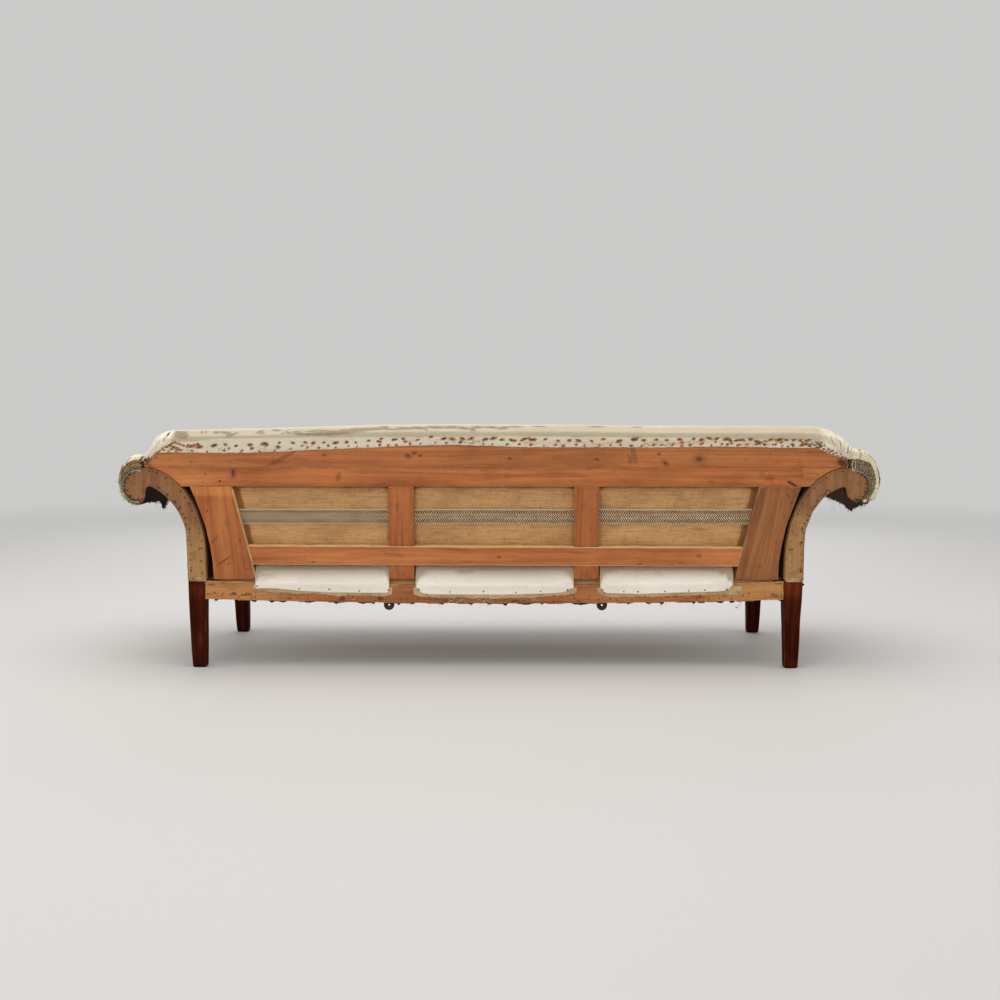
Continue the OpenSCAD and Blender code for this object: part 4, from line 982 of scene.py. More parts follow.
def calico(name, white=(230, 221, 203), grey=(190, 178, 153), soil=0.55, rough=0.86, deep=False):
    """st: cloth coordinates in mm; yl: bright to grey; rs: rust; rm: remnants of an older cloth; dk: dirt, and painted
    shade in creases, folds and where the cloth runs under other parts
    """
    m = Mat(name)
    st = m.attr("st", "Vector")
    h, th, hole = weave_nodes(m, st, 0.9, 0.9)
    c = m.mix(m.attr("yl"), rgb(*white), rgb(*grey))
    big = m.noise(m.vmath("MULTIPLY", st, (0.006, 0.009, 0.009)), 1.0, 4, 0.6, 0.4)
    c = m.mix(m.math("MULTIPLY", m.mr(big, 0.42, 0.82), soil), c, m.mix(1.0, c, (0.84, 0.78, 0.66), "MULTIPLY"))
    mid = m.noise(m.vmath("MULTIPLY", st, (0.03, 0.045, 0.03)), 1.0, 4, 0.66)
    c = m.mix(m.math("MULTIPLY", m.mr(mid, 0.55, 0.75), soil * 0.7), c, m.mix(1.0, c, (0.8, 0.74, 0.64), "MULTIPLY"))
    c = m.mix(m.mr(th, 0.35, 0.7, 0.0, 0.22, smooth=False), m.mix(1.0, c, (1.03, 1.03, 1.03), "MULTIPLY"), m.mix(1.0, c, (0.72, 0.7, 0.64), "MULTIPLY"))
    fine = m.noise(m.vmath("MULTIPLY", st, (0.32, 0.32, 0.32)), 1.0, 4, 0.7)
    fx = m.math("SUBTRACT", fine, 0.5)
    dk = m.math("ADD", m.attr("dk"), m.math("MULTIPLY", fx, 0.7))
    c = m.mix(m.mr(dk, 0.3, 0.9, 0.0, 0.8), c, m.mix(1.0, c, (0.46, 0.38, 0.28), "MULTIPLY"))
    if deep:
        c = m.mix(m.mr(dk, 1.35, 1.95, 0.0, 0.82), c, m.mix(m.mr(fine, 0.38, 0.62), rgb(84, 62, 42), rgb(146, 116, 80)))
    # remnants: thin olive-grey fibre stuck to the cloth
    streak = m.noise(m.vmath("MULTIPLY", st, (0.24, 0.42, 0.3)), 1.0, 6, 0.78, 1.2)
    rm = m.math("ADD", m.attr("rm"), m.math("MULTIPLY", m.math("SUBTRACT", streak, 0.5), 3.9))
    rmm = m.math("MULTIPLY", m.mr(rm, 0.5, 0.58), m.mr(m.attr("rm"), 0.06, 0.25))
    rcol = m.mix(m.mr(fine, 0.36, 0.62), rgb(94, 83, 60), rgb(152, 139, 106))
    c = m.mix(m.math("MULTIPLY", rmm, 0.84), c, rcol)
    blot = m.noise(m.vmath("MULTIPLY", st, (0.14, 0.2, 0.2)), 1.0, 4, 0.7, 0.8)
    rs = m.math("ADD", m.attr("rs"), m.math("ADD", m.math("MULTIPLY", fx, 0.5), m.math("MULTIPLY", m.math("SUBTRACT", blot, 0.5), 1.1)))
    has = m.mr(m.attr("rs"), 0.03, 0.2)
    halo = m.math("MULTIPLY", m.mr(rs, 0.12, 0.38), has)
    core = m.math("MULTIPLY", m.mr(rs, 0.72, 1.02), has)
    age = m.noise(m.vmath("MULTIPLY", st, (0.035, 0.05, 0.05)), 1.0, 2, 0.5)
    c = m.mix(m.math("MULTIPLY", halo, 0.85), c, m.mix(m.mr(age, 0.4, 0.6), m.mix(m.mr(fine, 0.4, 0.6), rgb(206, 138, 72), rgb(176, 106, 48)), m.mix(m.mr(fine, 0.4, 0.6), rgb(146, 96, 58), rgb(106, 64, 38))))
    c = m.mix(m.math("MULTIPLY", core, 0.92), c, m.mix(m.mr(mid, 0.4, 0.6), rgb(98, 58, 34), rgb(58, 36, 26)))
    hh = m.math("ADD", m.math("MULTIPLY", h, 0.35), m.math("ADD", m.math("MULTIPLY", fine, 0.5), m.math("MULTIPLY", rmm, 0.9)))
    n = m.bump(hh, 0.0005, 0.5)
    crease = m.noise(m.vmath("MULTIPLY", st, (0.045, 0.02, 0.03)), 1.0, 5, 0.6, 1.4)
    n = m.bump(m.math("ABSOLUTE", m.math("SUBTRACT", crease, 0.5)), 0.004, 0.35, n)
    m.set(Base_Color=c, Roughness=rough, Normal=n)
    m.b.inputs["Sheen Weight"].default_value = 0.12
    m.b.inputs["Specular IOR Level"].default_value = 0.2
    return m.m


CALICO = calico("calico")
CALICO_CLEAN = calico("calico_tails", (246, 239, 228), (214, 203, 190), 0.3)
CALICO_ARM = calico("calico_arm", (230, 222, 196), (196, 186, 148), 0.7, deep=True)


def burlap(name, pale, dark, p=1.5, open_=0.5):
    m = Mat(name)
    st = m.attr("st", "Vector")
    h, th, hole = weave_nodes(m, st, p, p)
    c = m.mix(m.mr(th, 0.32, 0.68, smooth=False), rgb(*dark), rgb(*pale))
    c = m.mix(m.math("MULTIPLY", hole, open_), c, m.mix(1.0, c, (0.42, 0.36, 0.3), "MULTIPLY"))
    big = m.noise(m.vmath("MULTIPLY", st, (0.006, 0.012, 0.01)), 1.0, 5, 0.62, 0.5)
    c = m.mix(1.0, c, m.ramp(big, [(0.25, (0.7, 0.66, 0.6)), (0.5, (1, 1, 1)), (0.75, (1.16, 1.13, 1.08))]), "MULTIPLY")
    slub = m.noise(m.vmath("MULTIPLY", st, (0.012, 0.16, 0.1)), 1.0, 4, 0.68, 0.3)
    mott = m.noise(m.vmath("MULTIPLY", st, (0.05, 0.08, 0.1)), 1.0, 4, 0.66, 0.5)
    c = m.mix(1.0, c, m.ramp(slub, [(0.3, (0.78, 0.75, 0.7)), (0.5, (1, 1, 1)), (0.7, (1.14, 1.12, 1.08))]), "MULTIPLY")
    c = m.mix(m.mr(mott, 0.53, 0.7, 0.0, 0.7), c, m.mix(1.0, c, (0.7, 0.62, 0.52), "MULTIPLY"))
    fine = m.noise(m.vmath("MULTIPLY", st, (0.35, 0.35, 0.3)), 1.0, 3, 0.7)
    dk = m.math("ADD", m.attr("dk"), m.math("MULTIPLY", m.math("SUBTRACT", fine, 0.5), 0.6))
    c = m.mix(m.mr(dk, 0.25, 0.9, 0.0, 0.85), c, m.mix(1.0, c, (0.36, 0.28, 0.2), "MULTIPLY"))
    n = m.bump(m.math("ADD", m.math("MULTIPLY", h, 0.6), m.math("MULTIPLY", th, 0.5)), 0.0009, 0.55)
    m.set(Base_Color=c, Roughness=0.9, Normal=n)
    m.b.inputs["Specular IOR Level"].default_value = 0.15
    return m.m


HESSIAN = burlap("hessian", (226, 181, 127), (184, 137, 89))
HESSIAN_PALE = burlap("hessian_pale", (222, 196, 152), (186, 152, 106), 1.4)
# a darker hessian: an old torn layer on the left arm, and painted shade for the hessian inside the arms, which shows
# only deep in the gap
HESSIAN_AGED_AND_SHADED = burlap("hessian_aged_and_shaded", (150, 128, 92), (98, 80, 54), 1.5)
LAYER_TAN = burlap("layer_tan", (214, 164, 114), (122, 80, 50), 1.5)
LINEN_GREY = burlap("linen_grey", (206, 198, 184), (150, 138, 122), 1.1, 0.6)
BLACK_CLOTH = burlap("black_cloth", (38, 31, 27), (15, 13, 12), 1.1, 0.7)
BROWN_CLOTH = burlap("black_cloth_faded", (74, 52, 42), (34, 24, 20), 1.1, 0.7)


def webbing_mat(name, light, dark, edge=True, pitch=5.4, col=5.4, mixk=1.0):
    """herringbone from (along, across) in mm; across is 0 at the middle"""
    m = Mat(name)
    st = m.attr("st", "Vector")
    x = m.sep(st)
    s, t = x[0], x[1]
    k = m.math("DIVIDE", m.math("ADD", t, 500.0), col)
    odd = m.math("GREATER_THAN", m.math("FRACT", m.math("MULTIPLY", k, 0.5)), 0.5)
    loc = m.math("MULTIPLY", m.math("FRACT", k), col)
    sg = m.math("SUBTRACT", m.math("MULTIPLY", odd, 2.0), 1.0)
    wob = m.math("MULTIPLY", m.math("SUBTRACT", m.noise(m.vmath("MULTIPLY", st, (0.05, 0.08, 0)), 1.0, 3), 0.5), 2.4)
    ph = m.math("FRACT", m.math("DIVIDE", m.math("ADD", m.math("ADD", s, m.math("MULTIPLY", sg, loc)), wob), pitch))
    tri = m.math("ABSOLUTE", m.math("SUBTRACT", ph, 0.5))
    at = m.math("ABSOLUTE", t)
    th = 0.25
    if edge:
        # darker warp stripes towards both edges, a pale middle
        stripe = m.math("MULTIPLY", m.mr(at, 12.0, 13.2), m.mr(at, 18.8, 17.6))
        mid = m.mr(at, 8.0, 5.5)
        thn = m.math("ADD", 0.25, m.math("ADD", m.math("MULTIPLY", stripe, -0.05), m.math("MULTIPLY", mid, 0.03)))
    else:
        thn = th
    d = m.math("SUBTRACT", tri, thn)
    mask = m.mr(d, -0.03, 0.03)
    age = m.noise(m.vmath("MULTIPLY", st, (0.02, 0.05, 0)), 1.0, 4, 0.65)
    fine = m.noise(m.vmath("MULTIPLY", st, (0.9, 0.9, 0)), 1.0, 2, 0.6)
    lc = m.mix(m.mr(age, 0.35, 0.65), rgb(*light), m.mix(1.0, rgb(*light), (0.78, 0.72, 0.62), "MULTIPLY"))
    dc = m.mix(m.mr(age, 0.3, 0.7), rgb(*dark), m.mix(1.0, rgb(*dark), (1.5, 1.4, 1.2), "MULTIPLY"))
    c = m.mix(m.math("MULTIPLY", mask, mixk), lc, dc)
    # every second column of the herringbone is a little darker
    c = m.mix(m.math("MULTIPLY", odd, 0.7), c, m.mix(1.0, c, (0.72, 0.7, 0.68), "MULTIPLY"))
    c = m.mix(m.mr(fine, 0.4, 0.7, 0.0, 0.4), c, m.mix(1.0, c, (0.6, 0.55, 0.5), "MULTIPLY"))
    fleck = m.noise(m.vmath("MULTIPLY", st, (0.2, 0.32, 0)), 1.0, 3, 0.75)
    c = m.mix(1.0, c, m.ramp(fleck, [(0.3, (0.55, 0.53, 0.5)), (0.5, (1, 1, 1)), (0.68, (1.5, 1.48, 1.42))]), "MULTIPLY")
    if edge:
        c = m.mix(m.mr(at, 20.6, 21.2), c, rgb(208, 178, 140))
    rib = m.math("ABSOLUTE", m.math("SINE", m.math("MULTIPLY", s, math.pi / 1.35)))
    n = m.bump(m.math("ADD", m.math("MULTIPLY", rib, 0.5), m.math("MULTIPLY", mask, -0.4)), 0.0007, 0.6)
    m.set(Base_Color=c, Roughness=0.88, Normal=n)
    m.b.inputs["Specular IOR Level"].default_value = 0.15
    return m.m


WEBBING = webbing_mat("herringbone_webbing", (230, 205, 169), (54, 43, 34), pitch=7.0, col=6.0)
JUTE_WEB = webbing_mat("seat_webbing", (176, 144, 100), (116, 88, 56), pitch=4.6, col=4.6)


def fibre_mat(name, cols, s_scale=0.05, q_scale=0.9):
    """gr: along, across and through the layers, in mm; q: share of the way from the board to the outside"""
    m = Mat(name)
    g = m.attr("gr", "Vector")
    q = m.attr("q")
    n1 = m.noise(m.vmath("MULTIPLY", g, (s_scale, q_scale, q_scale * 0.5)), 1.0, 5, 0.7, 0.9)
    n2 = m.noise(m.vmath("MULTIPLY", g, (0.02, 0.06, 0.06)), 1.0, 4, 0.6)
    f = m.math("ADD", q, m.math("MULTIPLY", m.math("SUBTRACT", n1, 0.5), 1.1))
    c = m.ramp(f, cols)
    fine = m.noise(m.vmath("MULTIPLY", g, (0.09, 0.8, 0.8)), 1.0, 4, 0.72)
    c = m.mix(m.mr(fine, 0.48, 0.62), c, m.mix(1.0, c, (0.3, 0.26, 0.2), "MULTIPLY"))
    c = m.mix(m.mr(n2, 0.56, 0.68, 0.0, 0.75), c, rgb(34, 28, 22))
    # painted shade: this darkens the stuffing that lies deep in the gap between the arm and the back
    c = m.mix(m.attr("gap_shade"), c, m.mix(1.0, c, (0.1, 0.09, 0.08), "MULTIPLY"))
    n = m.bump(m.math("ADD", n1, fine), 0.003, 0.8)
    m.set(Base_Color=c, Roughness=0.95, Normal=n)
    m.b.inputs["Specular IOR Level"].default_value = 0.1
    return m.m


FIBRE_R = fibre_mat("old_layers_right", [(0.0, rgb(170, 152, 126)), (0.18, rgb(92, 70, 50)), (0.34, rgb(226, 178, 128)), (0.46, rgb(76, 46, 28)), (0.58, rgb(238, 188, 134)), (0.7, rgb(116, 68, 38)), (0.84, rgb(236, 198, 150)), (1.0, rgb(160, 126, 88))], 0.03, 0.26)
FIBRE_L = fibre_mat("old_layers_left", [(0.0, rgb(112, 88, 60)), (0.2, rgb(216, 198, 160)), (0.34, rgb(84, 64, 44)), (0.48, rgb(234, 216, 178)), (0.6, rgb(120, 96, 66)), (0.74, rgb(240, 226, 190)), (0.86, rgb(150, 124, 88)), (1.0, rgb(244, 232, 202))], 0.03, 0.24)
HAIR = fibre_mat("hair_stuffing", [(0.0, rgb(70, 56, 40)), (0.5, rgb(112, 92, 62)), (1.0, rgb(60, 48, 36))])


def strand_mat(name, a, b, rough=0.8):
    m = Mat(name)
    r = m.attr("rnd")
    m.set(Base_Color=m.mix(r, rgb(*a), rgb(*b)), Roughness=rough)
    m.b.inputs["Specular IOR Level"].default_value = 0.25
    return m.m


STRAND_OLIVE = strand_mat("loose_fibres", (228, 212, 168), (96, 74, 48))
STRAND_PALE = strand_mat("pale_threads", (226, 212, 184), (176, 148, 106))
STRAND_BLACK = strand_mat("black_threads", (30, 26, 25), (58, 48, 42))
WIRE = simple("spring_wire", rgb(58, 48, 42), 0.5, 0.8, 200, rgb(112, 66, 40))
TWINE = simple("laid_twine", rgb(196, 170, 122), 0.9, 0.0, 600, rgb(150, 120, 78))
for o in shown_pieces():
    if o.get("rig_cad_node") == "spring_twine":
        o.data.materials.clear()
        o.data.materials.append(TWINE)


def rust_mat(name, a, b, c3, metal):
    m = Mat(name)
    tc = m.t.nodes.new("ShaderNodeTexCoord")
    n = m.noise(tc.outputs["Object"], 260, 4, 0.65)
    n2 = m.noise(tc.outputs["Object"], 55, 2, 0.5)
    c = m.mix(m.mr(n, 0.38, 0.62), rgb(*a), rgb(*b))
    c = m.mix(m.mr(n2, 0.5, 0.6), c, rgb(*c3))
    m.set(Base_Color=c, Roughness=m.mr(n, 0.3, 0.7, 0.45, 0.85), Metallic=metal, Normal=m.bump(n, 0.0005, 0.5))
    return m.m


RUST = rust_mat("rusty_tacks", (58, 36, 24), (104, 62, 34), (40, 28, 22), 0.1)
BLUED = rust_mat("blued_tacks", (34, 34, 38), (58, 54, 54), (44, 36, 32), 0.6)


# ------------------------------------------------------------------ cloth pieces
def normals(P):
    du = np.gradient(P, axis=0)
    dv = np.gradient(P, axis=1)
    n = np.cross(du, dv)
    l = np.linalg.norm(n, axis=2, keepdims=True)
    return n / np.maximum(l, 1e-9)


def arclen(P, axis):
    d = np.linalg.norm(np.diff(P, axis=axis), axis=2)
    z = np.zeros_like(np.take(d, [0], axis=axis))
    return np.concatenate([z, np.cumsum(d, axis=axis)], axis=axis)


def cloth_grid(name, P, mat, attrs=None, node=(), slot=None, thick=1.0, st=None, flip=False, offset=-1.0):
    """P: (nu, nv, 3) in metres"""
    nu, nv = P.shape[:2]
    F = grid_faces(nu, nv)
    if flip:
        F = [f[::-1] for f in F]
    a = {k: A(v).reshape(-1) if A(v).ndim == 2 else A(v).reshape(-1, 3) for k, v in (attrs or {}).items()}
    if st is None:
        st = np.stack([arclen(P, 0) * 1000, arclen(P, 1) * 1000, 0 * P[..., 0]], -1)
    a["st"] = st.reshape(-1, 3)
    for k in ("yl", "rs", "rm", "dk"):
        a.setdefault(k, np.zeros(nu * nv))
    o = make(name, P.reshape(-1, 3), F, mat, a, node=node, slot=slot, solid=thick, offset=offset)
    o["sheet"] = 1
    return o


def area_of(o):
    return sum(p.area for p in o.data.polygons)


def sheet(o, flat, held, rests_on, **kw):
    """works out the flat area of a cloth piece, the mesh's own where the cut is no rectangle, and gives the piece back
    unchanged
    """
    a = area_of(o)
    full = flat[0] * flat[1]
    if not 0.97 < a / full < 1.03:
        a = min(max(a, 0.31 * full), full)
        kw.setdefault("area", a)
    return o


def bil(C, nu, nv):
    """a coarse grid drawn out to nu x nv points, smoothly"""
    def up(C, n):
        m = C.shape[0]
        t = np.linspace(0, m - 1, n)
        i = np.clip(np.floor(t).astype(int), 0, m - 2)
        f = (t - i)[:, None, None]
        g = lambda k: C[np.clip(k, 0, m - 1)]
        p0, p1, p2, p3 = g(i - 1), g(i), g(i + 1), g(i + 2)
        return 0.5 * ((2 * p1) + (-p0 + p2) * f + (2 * p0 - 5 * p1 + 4 * p2 - p3) * f ** 2 + (-p0 + 3 * p1 - 3 * p2 + p3) * f ** 3)
    C = up(C, nu)
    return up(C.transpose(1, 0, 2), nv).transpose(1, 0, 2)


def puffed(P, pin, out, pressure=4.0, shrink=-0.012, cap=7.0, frames=20, flip=False, bend=0.4, down=0.0):
    """How far a padded cover of this shape moves when it is stuffed, from a cloth simulation on a coarse grid. P in metres; pin 0 to 1 per point.
    Returns the displacement drawn out to the grid size out."""
    sc = bpy.context.scene
    nu, nv = P.shape[:2]
    me = bpy.data.meshes.new("stuffed")
    F = grid_faces(nu, nv)
    if flip:
        F = [f[::-1] for f in F]
    me.from_pydata([tuple(v) for v in P.reshape(-1, 3)], [], F)
    o = bpy.data.objects.new("stuffed", me)
    sc.collection.objects.link(o)
    g = o.vertex_groups.new(name="pin")
    for i, w in enumerate(pin.reshape(-1)):
        if w > 0:
            g.add([i], float(w), "REPLACE")
    c = o.modifiers.new("cloth", "CLOTH")
    s = c.settings
    s.quality = 5
    s.mass = 0.3
    s.air_damping = 4
    s.tension_stiffness = s.compression_stiffness = 18
    s.shear_stiffness = 8
    s.bending_stiffness = bend
    s.vertex_group_mass = "pin"
    s.pin_stiffness = 1.0
    s.shrink_min = shrink
    s.use_pressure = True
    s.uniform_pressure_force = pressure
    s.effector_weights.gravity = down
    c.collision_settings.use_collision = False
    c.point_cache.frame_start, c.point_cache.frame_end = 1, frames
    for f in range(1, frames + 1):
        sc.frame_set(f)
    dg = bpy.context.evaluated_depsgraph_get()
    e = o.evaluated_get(dg)
    Q = np.empty(len(e.data.vertices) * 3)
    e.data.vertices.foreach_get("co", Q)
    Q = Q.reshape(nu, nv, 3)
    bpy.data.objects.remove(o)
    bpy.data.meshes.remove(me)
    sc.frame_set(1)
    D = Q - P
    l = np.linalg.norm(D, axis=2, keepdims=True)
    if not np.isfinite(D).all():
        return np.zeros((*out, 3))
    D = D * (cap / 1000) * np.tanh(l / (cap / 1000)) / np.maximum(l, 1e-9)
    return bil(D, *out)


class Strands(Join):
    """loose threads and fibres"""
    def curl(self, start, way, length, r, rng, curl=0.35, n=7, sides=3, drop=0.0, rnd=None):
        p = [A(start)]
        d = A(way) / (np.linalg.norm(way) + 1e-9)
        step = length / (n - 1)
        for _ in range(n - 1):
            d = d + rng.normal(0, curl, 3)
            d[2] -= drop
            d /= np.linalg.norm(d) + 1e-9
            p.append(p[-1] + d * step)
        rr = np.linspace(r, r * 0.5, n)
        v, f = tube(p, rr, sides)
        self.add(v / 1000, f, rnd=rng.rand() if rnd is None else rnd)


def tack_head(J, centre, up, r, rng, h=0.9):
    """a domed head, a little uneven and askew; mm"""
    up = A(up) / np.linalg.norm(up)
    up = up + rng.normal(0, 0.10, 3)
    up /= np.linalg.norm(up)
    a = np.cross(up, [0.3, 0.2, 0.9])
    a /= np.linalg.norm(a)
    b = np.cross(up, a)
    v = [A(centre) + up * h * r * 0.5]
    rings = [(0.45, 0.46), (0.8, 0.32), (1.0, 0.08), (0.96, -0.12)]
    k = 9
    for rr, hh in rings:
        th = np.arange(k) / k * 2 * math.pi
        j = 1 + rng.uniform(-0.07, 0.07, k)
        v += list(A(centre) + (a[None] * np.cos(th)[:, None] + b[None] * np.sin(th)[:, None]) * (r * rr * j)[:, None] + up * hh * r)
    f = [[0, 1 + i, 1 + (i + 1) % k] for i in range(k)]
    for q in range(len(rings) - 1):
        f += [[1 + q * k + i, 1 + (q + 1) * k + i, 1 + (q + 1) * k + (i + 1) % k, 1 + q * k + (i + 1) % k] for i in range(k)]
    f.append([1 + 3 * k + i for i in range(k)][::-1])
    J.add(A(v) / 1000, f)


# ------------------------------------------------------------------ calico over the back
EDGE = [(1046, 371), (1044, 370), (1018, 376), (998, 391), (980, 394), (964, 395), (950, 393), (840, 392), (724, 393), (620, 397), (520, 402), (430, 406), (351, 409), (270, 413), (191, 416), (91, 416), (-98, 410), (-200, 409), (-310, 410), (-495, 409), (-663, 412), (-760, 410), (-866, 408), (-940, 408), (-957, 404), (-972, 396), (-987, 389), (-1005, 382), (-1022, 378), (-1040, 374), (-1052, 373), (-1058, 380), (-1063, 397)]
TOPS = [(1046, 377), (1040, 385), (1034, 395), (1026, 407), (1012, 430), (1003, 443), (995, 452), (984, 458), (970, 461), (950, 464), (914, 465.5), (722, 469), (518, 476), (350, 480), (191, 481.5), (-21, 481), (-309, 480), (-462, 476.5), (-720, 476.5), (-828, 477), (-940, 475), (-972, 469), (-999, 459), (-1018, 446), (-1032, 432), (-1048, 417), (-1058, 407), (-1063, 402)]
# tacks: the upper row along the fold, the lower one along the edge
UP_R = [(907, 414), (899, 412), (891, 415), (878, 418), (875, 410), (833, 413), (827, 416), (796, 417), (765, 414), (724, 417), (719, 406), (682, 420), (676, 417), (637, 423), (640, 410), (597, 423), (560, 424), (536, 423), (505, 424)]
LOW_R = [(896, 398), (851, 396), (801, 400), (787, 406), (748, 399), (696, 396), (652, 400), (604, 405), (570, 414), (555, 408), (520, 408), (493, 415)]
rng = np.random.RandomState(33)
up, low = list(UP_R), list(LOW_R)
x = 470.0
while x > -930:
    e = float(tab(x, EDGE))
    up.append((x, e + rng.uniform(17, 25)))
    if rng.rand() < 0.42:
        up.append((x - rng.uniform(5, 10), e + rng.uniform(12, 26)))
    x -= rng.uniform(24, 44) * (0.62 if x < -560 else 1.0)
x = 470.0
while x > -985:
    e = float(tab(x, EDGE))
    low.append((x, e + rng.uniform(3.5, 8.5)))
    if x < -480 and rng.rand() < 0.4:
        low.append((x - rng.uniform(6, 14), e + rng.uniform(5, 14)))
    x -= rng.uniform(22, 46) * (0.7 if x < -560 else 1.0)
corner_r = [(921, 415), (930, 418), (938, 421), (947, 424), (955, 421), (962, 415), (951, 411), (943, 407), (935, 403), (956, 404), (970, 410), (966, 398), (979, 400), (984, 405), (992, 397), (1000, 393), (1008, 387), (1016, 381), (1026, 378), (1036, 374), (928, 400), (944, 398)]
corner_l = [(-905, 416), (-915, 420), (-925, 415), (-932, 421), (-941, 417), (-948, 423), (-955, 418), (-962, 412), (-950, 409), (-940, 406), (-968, 404), (-975, 398), (-982, 405), (-986, 395), (-993, 399), (-998, 390), (-1006, 393), (-1010, 384), (-1018, 388), (-1024, 381), (-1034, 379), (-960, 425), (-970, 416)]
up += corner_r[:11] + corner_l[:9]
low += corner_r[11:] + corner_l[9:]
# older cloth left on the calico: x, u, half widths, turn
REM = [(930, 452, 17, 13, 0.0), (918, 446, 12, 9, 0.4), (938, 457, 10, 7, 0), (826, 458, 9, 3.5, 0.2), (870, 459, 4, 3, 0), (858, 459, 3, 3, 0), (796, 456, 22, 4, 0.2), (774, 450, 16, 4, -0.5), (788, 448, 6, 5, 0), (697, 460, 12, 3.5, -0.6), (688, 455, 8, 3, -0.4), (648, 466, 16, 2.4, 0.1), (622, 458, 14, 2.4, -0.7), (610, 454, 9, 2.4, 0.2),
       (596, 459, 24, 3, -0.2), (575, 452, 22, 4.5, 0.05), (548, 450, 26, 4.5, -0.05), (520, 451, 26, 5, 0.04), (492, 452, 24, 6, 0.1), (470, 456, 26, 8, 0.05), (500, 462, 34, 4, 0.05), (540, 463, 24, 3, -0.1), (440, 459, 26, 8, 0.1), (412, 463, 30, 7, 0.04), (380, 466, 26, 5, 0.05), (352, 468, 24, 4, 0.05), (326, 472, 18, 4, 0.1), (300, 466, 30, 3, 0.0), (262, 470, 30, 3.4, 0.02), (224, 471, 24, 4, 0.06), (205, 466, 10, 3, 0.6),
       (176, 474, 30, 3, 0.02), (130, 473, 26, 3.4, 0.0), (92, 470, 22, 4, 0.15), (66, 466, 10, 7, 0.9), (50, 474, 16, 3, 0), (10, 474, 22, 3.4, 0.03), (-24, 471, 18, 4, -0.1), (-60, 476, 22, 2, 0), (-130, 477, 18, 2, 0), (-300, 476, 26, 1.8, 0), (-420, 474, 16, 1.6, 0)]
nX, XR, XLft = 705, 1046.0, -1063.0
xs = np.linspace(XR, XLft, nX)
E, T = tab(xs, EDGE), tab(xs, TOPS) - 7.0
T = np.maximum(T, E + 2.5)
ax = np.abs(xs)
xe = np.where(xs > 0, XR, -XLft)
q = np.clip((ax - 968) / (xe - 968), 0, 1)
ee = np.sqrt(np.clip(1 - q ** 2.6, 0, 1)) * 0.86 + 0.14
# its foot presses on the seat, and further out on the arm's cover
aa_ = np.clip(ax - XA, -33, 175)
pt_ = np.where(xs > 0, PAD_R[0][1], PAD_L[0][1]) + SC[1] - 347
hc_ = 80 + (267 + pt_) * np.sqrt(np.clip(1 - ((175 - aa_) / 207) ** 2, 0, 1))
U0 = np.where(aa_ < -32, 72.0, np.maximum(72.0, hc_ - 6 - 16 * sst(-32, 30, aa_)))
U0 = np.minimum(U0, (T + E) / 2 - 1.0)
hh = np.minimum(24.0, (T - E) * 0.42)
uc = T - hh
yf = 3.0 - 84.0 * ee
yc, d = (3.0 + yf) / 2, (3.0 - yf) / 2
n1, n2, n3, n4 = 12, 30, 14, 36
rows = []                                   # (y, u) per column
for t in np.linspace(0, 1, n1, endpoint=False):
    rows.append((1.6 + 1.4 * sst(0, 1, t) + 0 * xs, E + (uc - E) * t))
for t in np.linspace(0, 1, n2, endpoint=False):
    th = t * math.pi / 2
    k = 2 / 2.35
    rows.append((yc + d * math.cos(th) ** k, uc + hh * math.sin(th) ** k))
for t in np.linspace(0, 1, n3, endpoint=False):
    th = math.pi / 2 + t * math.pi / 2
    k = 2 / 2.1
    rows.append((yc - d * abs(math.cos(th)) ** k, uc + hh * max(0.0, math.sin(th)) ** k))
uf = np.maximum(uc - 1, U0 + 1)
for t in np.linspace(0, 1, n4):
    b = math.sin(math.pi * min(1, t * 1.05)) * 4.0
    tuck = sst(0.86, 1.0, t)
    rows.append((yf - b * ee + tuck * 13 * ee, uf + (U0 - uf) * t))
rows.append((yf + 24 * ee, U0 - 4 * np.minimum(1, (uf - U0) / 60)))
rows.append((yf + 34 * ee, U0 - 5 * np.minimum(1, (uf - U0) / 60)))
Y, U = np.stack([r[0] for r in rows], 1), np.stack([r[1] for r in rows], 1)
nR = Y.shape[1]
XX = np.repeat(xs[:, None], nR, 1)
P = rk(np.stack([XX, Y, U], -1))
# stuffing pushes the cover out between its fixed edges
ci, cj = np.linspace(0, nX - 1, 170).round().astype(int), np.linspace(0, nR - 1, 40).round().astype(int)
Pc = P[np.ix_(ci, cj)]
pin = np.zeros(Pc.shape[:2])
pin[:, cj <= n1 + 4] = 1
pin[:, cj >= nR - 4] = 1
pin[:4], pin[-4:] = 1, 1
D = puffed(Pc, pin, (nX, nR), pressure=4, shrink=-0.014, cap=6)
back_D = D
P = P + D * sst(n1 + 2, n1 + 16, np.arange(nR))[None, :, None]
N = normals(P)
if N[nX // 2, n1 + n2][2] < 0:
    N = -N
s_arc = arclen(P, 1) * 1000
ux = U - E[:, None]                          # height over the tacked edge, on the rear side
rear = sst(n1 + n2 + 4, n1 + n2 - 6, np.arange(nR))[None, :] * np.ones((nX, 1))
h = 1.6 * fbm(XX * 0.006, s_arc * 0.012, seed=101) + 0.7 * fbm(XX * 0.03, s_arc * 0.011, seed=102)
h = h * sst(4, 26, ux * rear + 60 * (1 - rear)) + 0.35 * fbm(XX * 0.05, s_arc * 0.05, seed=103)
fold = tab(xs, [(1046, 384), (960, 424), (892, 425), (856, 431), (800, 435), (708, 437), (575, 437), (280, 440), (65, 440), (-15, 443), (-309, 440), (-603, 437), (-897, 431), (-960, 420), (-1063, 390)])
h += 1.1 * rear * sst(1.6, -1.2, U - fold[:, None]) * sst(-2, 1.5, ux)
h += -0.7 * rear * np.exp(-((U - fold[:, None] - 2.0) / 2.2) ** 2)
rs = np.zeros((nX, nR))
rad = np.random.RandomState(44)
tack_pts = []
